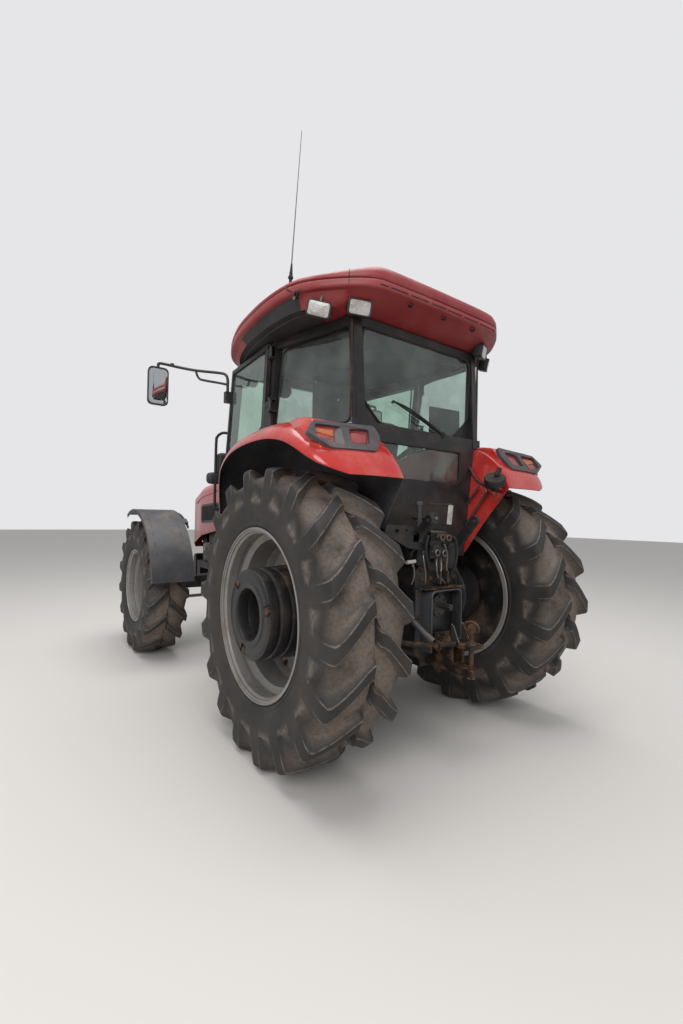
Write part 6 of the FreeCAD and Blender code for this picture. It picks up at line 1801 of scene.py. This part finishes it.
def makeFenderFittings():
    # on the right fender's inner panel: a bent stay, its rubber puck and two webbing straps
    fit = Workpiece("fenderStay")
    stay = [(-0.5, 0.25, 1.85), (-0.49, 0.284, 1.816), (-0.485, 0.331, 1.751), (-0.48, 0.376, 1.715),
            (-0.465, 0.463, 1.674), (-0.445, 0.534, 1.652)]
    fit.add(tubeShape(smoothPath(spots(*stay), 5), 0.014, 12, flat=0.5), "guardPlastic")
    # a drum-shaped rubber puck with a knob
    fit.turn([(-0.028, 0.0), (-0.028, 0.06), (-0.022, 0.07), (0.02, 0.073), (0.027, 0.068), (0.028, 0.04),
              (0.025, 0.034), (0.025, 0.0)], spot(-0.416, 0.55, 1.716), "sealRubber", (0.46, 0.34, 0.82), 40)
    fit.bar(spots((-0.445, 0.534, 1.65), (-0.425, 0.545, 1.695)), 0.016, "sealRubber", 12)
    fit.bar(spots((-0.41, 0.56, 1.75), (-0.434, 0.578, 1.802)), 0.014, "sealRubber", 14)
    straps = [((0.362, 1.681), (0.205, 1.478)), ((0.447, 1.652), (0.24, 1.351))]
    for (y0, z0), (y1, z1) in straps:
        for side in (-1, 1):
            a = fenderInner(z0) * side - 0.01 * side
            b = fenderInner(z1) * side - 0.01 * side
            line = [spot(a, y0, z0).lerp(spot(b, y1, z1), k / 5) for k in range(6)]
            fit.add(tubeShape(line, 0.02, 12, flat=0.22), "guardPlastic")
    fit.make("chassis", "chassis_black", sharp=50)


makeGuard()
makeShaft()
makeCouplers()
makePipes()
makeBrackets()
makeTow()
makeHousingBolts()
makeFenderFittings()
print("rear attachments ready")


# front: tilting bonnet with its grilles, engine fittings, tank, steps and exhaust
bonnetRows = [(-1.7, 0.352, 1.29, 1.925), (-2.45, 0.344, 1.28, 1.872), (-3.1, 0.326, 1.19, 1.796),
              (-3.4, 0.3, 1.08, 1.7), (-3.47, 0.262, 1.03, 1.56)]


def bonnetAt(y):
    # half width, foot and crown of the bonnet at a station
    for a, b in zip(bonnetRows, bonnetRows[1:]):
        if b[0] <= y <= a[0]:
            t = (a[0] - y) / (a[0] - b[0])
            return [p + (q - p) * t for p, q in zip(a[1:], b[1:])]
    return list(bonnetRows[-1][1:])


def sideSpot(y, z, out, side=1):
    return spot((bonnetAt(y)[0] + out) * side, y, z)


def makeBonnetTrim():
    trim = Workpiece("bonnetGrilles")
    for side in (1, -1):
        # one long side vent in a black frame, its slats standing proud of a mesh
        frameEdge = roundedOutline([(-3.08, 1.34), (-2.47, 1.372), (-2.462, 1.59), (-3.08, 1.56)], 0.06, 6)
        hole = roundedOutline([(-3.05, 1.366), (-2.495, 1.396), (-2.49, 1.564), (-3.05, 1.536)], 0.045, 6)
        at = lambda y, z, low: sideSpot(y, z, 0.0085 - 0.01 * low, side)
        trim.add(holedShape([frameEdge, hole], at), "guardPlastic")
        back = [sideSpot(y, z, 0.0012, side) for y, z in hole]
        trim.add(plateShape(back, (0.001 * side, 0, 0)), "sealRubber")
    trim.make("bonnet", "black_plastic", bevel=0.002)
    slats = []
    for side in (1, -1):
        for k in range(25):
            y = -3.032 + 0.0215 * k
            low = 1.374 + (y + 3.05) * 0.052
            high = 1.53 + (y + 3.05) * 0.04
            slats.append((sideSpot(y, (low + high) / 2, 0.004, side), (side, 0, 0)))
    repeated("bonnetSlats", blockShape((-0.003, -0.0035, -0.076), (0.0035, 0.0035, 0.076)), slats,
             "grainedPlastic",
             "bonnet", "black_plastic", bevel=0.001)
    nose = Workpiece("noseGrille")
    edge = roundedOutline([(-0.174, 1.09), (0.174, 1.09), (0.174, 1.48), (-0.174, 1.48)], 0.04, 6)
    hole = roundedOutline([(-0.156, 1.108), (0.156, 1.108), (0.156, 1.462), (-0.156, 1.462)], 0.028, 6)
    nose.add(holedShape([edge, hole], lambda x, z, side: spot(x, -3.476 + 0.028 * side, z)), "guardPlastic")
    nose.block(spot(-0.16, -3.452, 1.1), spot(0.16, -3.448, 1.47), "sealRubber")
    nose.make("bonnet", "black_plastic", ("grille",), bevel=0.004, segments=3)
    bars = [(spot(0.0, -3.466, 1.122 + 0.0195 * k), (0, -1, 0)) for k in range(18)]
    repeated("noseSlats", blockShape((-0.006, -0.157, -0.0035), (0.006, 0.157, 0.0035)), bars,
             "grainedPlastic",
             "bonnet", "black_plastic", bevel=0.0015)
    ribs = [(spot(-0.104 + 0.052 * k, -3.462, 1.285), (0, -1, 0)) for k in range(5)]
    repeated("noseRibs", blockShape((-0.004, -0.003, -0.178), (0.004, 0.003, 0.178)), ribs, "grainedPlastic",
             "bonnet", "black_plastic")
    lamps = Workpiece("headlampPods")
    faces = Workpiece("headlampGlasses")
    for side in (1, -1):
        edge = roundedOutline([(0.185 * side, 1.27), (0.248 * side, 1.27), (0.248 * side, 1.4),
                               (0.185 * side, 1.4)],
                              0.018, 5)
        at = lambda x, z, y: spot(x, y, z)
        steps = [(0.0, -3.468), (0.0, -3.481), (0.002, -3.4835), (0.006, -3.4838), (0.007, -3.481)]
        lamps.add(stepped(edge, steps, at), "grainedPlastic")
        faces.add(stepped(edge, [(0.007, -3.4805), (0.008, -3.4825), (0.014, -3.4838)], at), "reflector")
    lamps.make("bonnet", "black_plastic", ("headlamps",), sharp=30)
    faces.make("bonnet", "lamp_plastic", sharp=24)
    seamAndCreaseShade = Workpiece("bonnetSeams")
    for side in (1, -1):
        # a black line along the shoulder, painted shade for its pressed crease, and the seam of the side
        # panel
        line = [sideSpot(y, bonnetAt(y)[2] - 0.15, 0.0, side)
                for y in (-1.72, -2.0, -2.45, -2.8, -3.1, -3.3)]
        seamAndCreaseShade.bar(smoothPath(line, 4), 0.003, "sealRubber", 8)
        line = [sideSpot(-1.76, z, 0.0004, side) for z in (1.31, 1.5, 1.76)]
        seamAndCreaseShade.bar(line, 0.002, "sealRubber", 8)
    seamAndCreaseShade.make("bonnet", "red_paint")
    latch = Workpiece("bonnetLatch")
    latch.block(spot(-0.03, -3.4745, 1.5), spot(0.03, -3.468, 1.53), "guardPlastic")
    latch.turn([(0.0, 0.0), (0.0, 0.011), (0.004, 0.011), (0.005, 0.009), (0.005, 0.0)],
               spot(0.0, -3.4745, 1.515),
               "zincSteel", (0, -1, 0), 20)
    latch.make("bonnet", "black_plastic", bevel=0.002)


def makeEngineFittings():
    # what can be seen of the engine below the bonnet: filters, alternator, sump bolts and hoses
    fit = Workpiece("engineFittings")
    for y in (-2.33, -2.18):
        fit.turn([(0.0, 0.0), (0.0, 0.04), (0.012, 0.046), (0.12, 0.046), (0.132, 0.04), (0.136, 0.0)],
                 spot(0.3, y, 1.01), "grainedPlastic", (0, 0, 1), 28)
        fit.turn([(0.0, 0.0), (0.0, 0.052), (0.02, 0.052), (0.024, 0.046), (0.024, 0.0)],
                 spot(0.3, y, 1.146),
                 "castIron", (0, 0, 1), 28)
        fit.block(spot(0.25, y - 0.035, 1.14), spot(0.304, y + 0.035, 1.176), "castIron")
    for side, y in ((1, -2.8), (-1, -2.76)):
        x = 0.312 * side
        fit.turn([(0.0, 0.0), (0.0, 0.048), (0.01, 0.056), (0.1, 0.056), (0.112, 0.048), (0.112, 0.0)],
                 spot(x, y, 1.06), "zincSteel", (0, -1, 0), 32)
        fit.turn([(0.112, 0.0), (0.112, 0.03), (0.118, 0.036), (0.124, 0.03), (0.13, 0.036), (0.136, 0.03),
                  (0.136, 0.0)], spot(x, y, 1.06), "castIron", (0, -1, 0), 28)
        fit.block(spot(min(0.25 * side, x), y - 0.08, 1.04), spot(max(0.25 * side, x), y - 0.03, 1.075),
                  "castIron")
    for route in ([(0.262, -2.05, 1.2), (0.3, -2.06, 1.16), (0.306, -2.1, 1.06), (0.29, -2.14, 0.94),
                   (0.262, -2.12, 0.88)],
                  [(0.258, -2.6, 1.22), (0.305, -2.62, 1.16), (0.31, -2.58, 1.0), (0.262, -2.52, 0.92)],
                  [(-0.258, -2.3, 1.22), (-0.306, -2.34, 1.12), (-0.3, -2.46, 0.98), (-0.258, -2.52, 0.92)]):
        fit.bar(smoothPath(spots(*route), 6), 0.014, "sealRubber", 12)
    fit.make("chassis", "cast_black", sharp=34)
    bolts = []
    for side in (1, -1):
        for k in range(12):
            bolts.append((spot(0.255 * side, -2.98 + 0.112 * k, 0.905), (side, 0, 0)))
            if k % 2:
                bolts.append((spot(0.255 * side, -2.98 + 0.112 * k, 1.245), (side, 0, 0)))
    repeated("engineBolts", boltShape(0.019, 0.01), bolts, "rustedSteel", "chassis", "bare_steel")


def makeExhaustTrim():
    x, y = -0.48, -1.79
    shield = Workpiece("exhaustShield")
    rings = []
    for z in (1.515, 1.53, 2.17, 2.185):
        r = 0.0705 if z in (1.515, 2.185) else 0.0725
        rings.append([spot(x + r * cos(2 * pi * k / 40), y + r * sin(2 * pi * k / 40), z)
                      for k in range(40)])
    inner = [[spot(x + 0.0665 * cos(2 * pi * k / 40), y + 0.0665 * sin(2 * pi * k / 40), z)
              for k in range(40)]
             for z in (2.185, 1.515)]
    points, faces = loftShape(rings + inner + [rings[0]], caps=False)
    shield.add((points, faces), "hotSteel")
    for z in (1.46, 2.24):
        shield.turn([(0.0, 0.03), (0.0, 0.037), (0.016, 0.037), (0.016, 0.03)], spot(x, y, z), "rustedSteel",
                    (0, 0, 1), 28)
        shield.bar(spots((x + 0.034, y - 0.012, z + 0.008), (x + 0.034, y + 0.016, z + 0.008)), 0.006,
                   "zincSteel", 8)
    shield.make("chassis", "exhaust_steel", bevel=0.001)
    # the slots are not cut through: thin black ovals on the shield are painted shade for the dark inside of
    # each slot
    holes = []
    for row in range(20):
        for k in range(14):
            a = 2 * pi * (k + 0.5 * (row % 2)) / 14
            holes.append((spot(x + 0.0722 * cos(a), y + 0.0722 * sin(a), 1.555 + 0.031 * row),
                          (cos(a), sin(a), 0)))
    slotShadowShape = [(0.0, 0.0045 * cos(2 * pi * k / 8), 0.0095 * sin(2 * pi * k / 8)) for k in range(8)]
    repeated("shieldSlots", plateShape(slotShadowShape, (0.0009, 0, 0)), holes, "sealRubber", "chassis",
             "exhaust_steel")


def makeTankAndSteps():
    tank = Workpiece("tankFittings")
    for y in (-1.45, -1.11):
        loop = roundedOutline([(0.256, 0.596), (0.604, 0.596), (0.604, 1.094), (0.256, 1.094)], 0.055, 6)
        tank.add(tubeShape([spot(px, y, pz) for px, pz in loop], 0.018, 10, True, 0.16), "chassisPaint")
    tank.turn([(0.0, 0.0), (0.0, 0.052), (0.01, 0.055), (0.034, 0.052), (0.04, 0.044), (0.04, 0.0)],
              spot(0.47, -1.06, 1.086), "sealRubber", (0, 0, 1), 32)
    for k in range(10):
        a = 2 * pi * k / 10
        tank.bar([spot(0.47 + 0.053 * cos(a), -1.06 + 0.053 * sin(a), 1.094),
                  spot(0.47 + 0.053 * cos(a), -1.06 + 0.053 * sin(a), 1.12)], 0.004, "sealRubber", 6)
    tank.block(spot(-0.566, -1.4, 1.0), spot(-0.558, -1.18, 1.006), "sealRubber")
    for y in (-1.44, -1.14):
        tank.block(spot(-0.572, y - 0.018, 0.96), spot(-0.558, y + 0.018, 1.04), "zincSteel")
    tank.bar(smoothPath(spots((-0.558, -1.34, 0.9), (-0.59, -1.34, 0.9), (-0.59, -1.24, 0.9),
                              (-0.558, -1.24, 0.9)), 5),
             0.007, "sealRubber", 10)
    tank.make("chassis", "black_plastic", bevel=0.002)
    studs = []
    for side, x0 in ((1, 0.6), (-1, 0.56)):
        for z in (0.482, 0.782, 1.06):
            for i in range(7):
                for j in range(5):
                    studs.append((spot((x0 + 0.03 + 0.035 * j) * side, -1.465 + 0.038 * i, z), (0, 0, 1)))
    ring = latheShape([(-0.001, 0.006), (-0.001, 0.012), (0.0035, 0.0085), (0.0035, 0.007)], 10)
    repeated("stepStuds", ring, studs, "chassisPaint", "chassis", "chassis_black")


def makeAxleTrim():
    # caps on the front axle's kingpins, and stays on the front mudguards
    for side, word in sideWords:
        x = 0.76 * side
        cap = Workpiece("kingpinCaps." + word)
        for z, up in ((0.838, 1), (0.538, -1)):
            cap.turn([(0.0, 0.0), (0.0, 0.052), (0.01, 0.054), (0.022, 0.048), (0.026, 0.03), (0.028, 0.0)],
                     spot(x, frontY - axleY, z), "castIron", (0, 0, up), 28)
        cap.make("steer_" + word, "cast_black")
        stay = Workpiece("mudguardStay." + word)
        centre = Vector((0, frontY - axleY, frontTyre["tip"]))
        for offset in (0.14, -0.12):
            line = []
            for k in range(13):
                a = radians(12 + (108 - 12) * k / 12)
                line.append(spot((0.9775 + offset) * side, centre.y + 0.793 * cos(a),
                                 centre.z + 0.793 * sin(a)))
            stay.add(tubeShape(line, 0.009, 8), "chassisPaint")
        stay.make("steer_" + word, "chassis_black")


makeBonnetTrim()
makeEngineFittings()
makeExhaustTrim()
makeTankAndSteps()
makeAxleTrim()
print("front ready")


# inside the cab: sprung seat with its two pads, levers, pedals and the mat
def padShape(outline, at, depth, edge=0.022):
    # a soft block: outline (a, b), at(a, b, c) gives a place c above its back
    rings = []
    for inset, c in ((edge, 0.0), (edge * 0.3, depth * 0.08), (0.0, depth * 0.25), (0.0, depth * 0.72),
                     (edge * 0.3, depth * 0.92), (edge, depth)):
        rings.append([at(a, b, c) for a, b in insetOutline(outline, inset)])
    return loftShape(rings)


def puffed(name, shape, cap, channels):
    # cloth blown up over its foam, then the sewn channels are pressed in
    raw = scratch(name + ".form", *shape)
    bmeshClean(raw.data)
    mod = raw.modifiers.new("Remesh", "REMESH")
    mod.mode = "VOXEL"
    mod.voxel_size = 0.0065
    graph = bpy.context.evaluated_depsgraph_get()
    mesh = bpy.data.meshes.new_from_object(raw.evaluated_get(graph))
    forget(raw)
    start = [v.co.copy() for v in mesh.vertices]
    soft = bpy.data.objects.new(name + ".cloth", mesh)
    bpy.context.collection.objects.link(soft)
    cloth = soft.modifiers.new("Cloth", "CLOTH")
    cloth.settings.quality = 5
    cloth.settings.use_pressure = True
    cloth.settings.uniform_pressure_force = 4.0
    cloth.settings.effector_weights.gravity = 0.0
    scene = bpy.context.scene
    for step in range(1, 21):
        scene.frame_set(step)
    graph = bpy.context.evaluated_depsgraph_get()
    blown = bpy.data.meshes.new_from_object(soft.evaluated_get(graph))
    for before, after in zip(start, blown.vertices):
        move = after.co - before
        if move.length > cap:
            after.co = before + move * (cap / move.length)
    scene.frame_set(1)
    forget(soft)
    mesh = blown
    for v in mesh.vertices:
        press = channels(v.co)
        if press is not None:
            v.co += press
    mesh.name = name
    mesh.materials.clear()
    mesh.materials.append(allFinishes["wovenCloth"])
    piece = place(mesh, name, "chassis", "seat_cloth", (), subdivide=1)
    return piece


seatLook = {"frontY": -0.772, "backY": -0.292, "low": 1.572, "top": 1.668, "half": 0.236,
            "tiltFoot": (-0.292, 1.69), "tiltHead": (-0.19, 2.19)}


def dent(distance, width, depth):
    return depth * 2.718 ** (-(distance / width) ** 2)


def cushionChannels(p):
    # two long seams beside the middle panel, three across it
    y = p.y - axleY
    if p.z < 1.64:
        return None
    down = dent(abs(abs(p.x) - 0.135), 0.007, 0.011)
    if abs(p.x) < 0.135:
        down = max(down, max(dent(abs(y - s), 0.007, 0.009) for s in (-0.64, -0.52, -0.4)))
    return Vector((0, 0, -down))


backUp = Vector((0, seatLook["tiltHead"][0] - seatLook["tiltFoot"][0],
                 seatLook["tiltHead"][1] - seatLook["tiltFoot"][1]))
backLength = backUp.length
backUp.normalize()
backOut = Vector((0, -backUp.z, backUp.y))


def backSpot(x, up, out):
    y, z = seatLook["tiltFoot"]
    return spot(x, y, z) + backUp * up + backOut * out


def backChannels(p):
    y, z = seatLook["tiltFoot"]
    local = p - spot(0, y, z)
    up, out = local.dot(backUp), local.dot(backOut)
    if out < 0.01:
        return None
    press = dent(abs(abs(p.x) - 0.13), 0.007, 0.01)
    if abs(p.x) < 0.13:
        press = max(press, max(dent(abs(up - s), 0.007, 0.009) for s in (0.12, 0.235, 0.35)))
    return backOut * -press


def makeSeat():
    look = seatLook
    half = look["half"]
    outline = roundedOutline([(-half, look["frontY"]), (half, look["frontY"]), (half, look["backY"]),
                              (-half, look["backY"])], (0.08, 0.08, 0.05, 0.05), 6)
    shape = padShape(outline, lambda a, b, c: spot(a, b, look["low"] + c), look["top"] - look["low"])
    cushion = puffed("seatCushion", shape, 0.012, cushionChannels)
    high = backLength
    outline = roundedOutline([(-0.22, 0.0), (0.22, 0.0), (0.2, high), (-0.2, high)], (0.05, 0.05, 0.1, 0.1),
                             6)
    shape = padShape(outline, lambda a, b, c: backSpot(a, b, c - 0.034), 0.072)
    puffed("seatBack", shape, 0.012, backChannels)
    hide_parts("seat")
    carrier = Workpiece("seatBase")
    # bellows between two steel frames, the pan, and the shell behind the backrest
    rings = []
    for k in range(15):
        grow = 0.012 if k % 2 else 0.0
        z = 1.262 + 0.0185 * k
        box = roundedOutline([(-0.15 - grow, -0.65 - grow), (0.15 + grow, -0.65 - grow),
                              (0.15 + grow, -0.33 + grow), (-0.15 - grow, -0.33 + grow)], 0.05, 4)
        rings.append([spot(a, b, z) for a, b in box])
    carrier.add(loftShape(rings), "sealRubber")
    carrier.block(spot(-0.178, -0.678, 1.201), spot(0.178, -0.302, 1.262), "chassisPaint")
    carrier.block(spot(-0.178, -0.678, 1.522), spot(0.178, -0.302, 1.56), "chassisPaint")
    carrier.block(spot(-0.215, -0.74, 1.558), spot(0.215, -0.3, 1.574), "grainedPlastic")
    shell = [backSpot(x, up, -0.034) for x, up in
             roundedOutline([(-0.205, 0.02), (0.205, 0.02), (0.185, 0.49), (-0.185, 0.49)], 0.06, 5)]
    carrier.add(plateShape(shell, backOut * -0.012), "grainedPlastic")
    carrier.bar(smoothPath(spots((0.19, -0.32, 1.6), (0.215, -0.268, 1.64), (0.2, -0.255, 1.72)), 5), 0.014,
                "chassisPaint", 12, both=True)
    for side in (1, -1):
        arm = roundedOutline([(0.222, -0.56), (0.25, -0.56), (0.25, -0.27), (0.222, -0.27)], 0.012, 4)
        carrier.add(plateShape([spot(a * side, b, 1.85) for a, b in arm], (0, 0, 0.038)), "sealRubber")
        carrier.bar(spots((0.236 * side, -0.285, 1.86), (0.228 * side, -0.24, 1.8)), 0.012, "chassisPaint",
                    10)
    carrier.make("chassis", "black_plastic", bevel=0.006, segments=3)


def makeControls():
    inside = Workpiece("driverControls")
    # side console with its levers, pedals and the floor mat
    inside.block(spot(-0.47, -0.9, 1.205), spot(-0.33, -0.33, 1.64), "grainedPlastic")
    for x, y, tall, grip in ((-0.38, -0.82, 0.17, "sealRubber"), (-0.42, -0.76, 0.14, "yellowGrip"),
                             (-0.38, -0.7, 0.14, "sealRubber"), (-0.42, -0.6, 0.12, "sealRubber")):
        inside.bar(smoothPath(spots((x, y, 1.638), (x, y - 0.012, 1.638 + tall * 0.6),
                                    (x, y - 0.035, 1.638 + tall)), 4),
                   0.006, "zincSteel", 8)
        inside.turn([(-0.03, 0.0), (-0.03, 0.012), (-0.01, 0.019), (0.012, 0.019), (0.022, 0.012),
                     (0.024, 0.0)],
                    spot(x, y - 0.038, 1.65 + tall), grip, (0, -0.2, 1), 16)
    for x in (-0.16, -0.25, 0.23):
        inside.bar(smoothPath(spots((x, -1.43, 1.36), (x, -1.33, 1.33), (x, -1.29, 1.265)), 4), 0.009,
                   "chassisPaint", 8)
        inside.block(spot(x - 0.035, -1.31, 1.245), spot(x + 0.035, -1.236, 1.262), "sealRubber")
    inside.block(spot(-0.48, -1.33, 1.2005), spot(0.48, -0.16, 1.2075), "sealRubber")
    inside.make("chassis", "black_plastic", bevel=0.005, segments=2)
    dash = Workpiece("dashboard")
    tilt = Vector((0, 0.766, 0.643))
    for x, r in ((-0.085, 0.05), (0.085, 0.05), (0.0, 0.032)):
        centre = spot(x, -1.374, 1.8 + (0.02 if x else 0.0))
        dash.turn([(-0.03, 0.0), (-0.03, r), (0.006, r), (0.008, r - 0.003), (0.006, r - 0.008),
                   (0.001, r - 0.01),
                   (0.001, 0.0)], centre, "grainedPlastic", tilt, 32)
        dash.turn([(0.0008, 0.0), (0.0008, r - 0.011), (0.0016, r - 0.012), (0.0016, 0.0)], centre,
                  "reflector", tilt, 32)
    dash.make("chassis", "black_plastic", bevel=0.001)
    hub = Workpiece("steeringBoss")
    wheelHub = spot(0, -1.13, 1.93)
    axis = Vector((0, sin(radians(38)), cos(radians(38))))
    hub.turn([(0.0, 0.0), (0.0, 0.05), (0.01, 0.052), (0.018, 0.044), (0.024, 0.02), (0.025, 0.0)],
             wheelHub + axis * 0.018, "grainedPlastic", axis, 32)
    knob = wheelHub + Vector((0.18, 0.04, 0)) + axis * 0.02
    hub.turn([(0.0, 0.0), (0.0, 0.008), (0.016, 0.01), (0.022, 0.02), (0.04, 0.021), (0.046, 0.014),
              (0.048, 0.0)],
             knob, "grainedPlastic", axis, 20)
    hub.make("handwheel", "black_plastic")
    # inside mirror and a lamp under the roof's front, seen as dark ovals through the glass
    oval = Workpiece("insideMirror")
    for x in (-0.18, 0.3):
        oval.turn([(-0.012, 0.0), (-0.012, 0.06), (-0.004, 0.07), (0.01, 0.07), (0.012, 0.066),
                   (0.012, 0.0)],
                  spot(x, -1.14, 2.56), "grainedPlastic", (0.1, 1, 0), 28)
        oval.bar(spots((x, -1.15, 2.56), (x, -1.16, 2.694)), 0.007, "sealRubber", 8)
    oval.make("chassis", "black_plastic")


makeSeat()
makeControls()
print("inside ready")
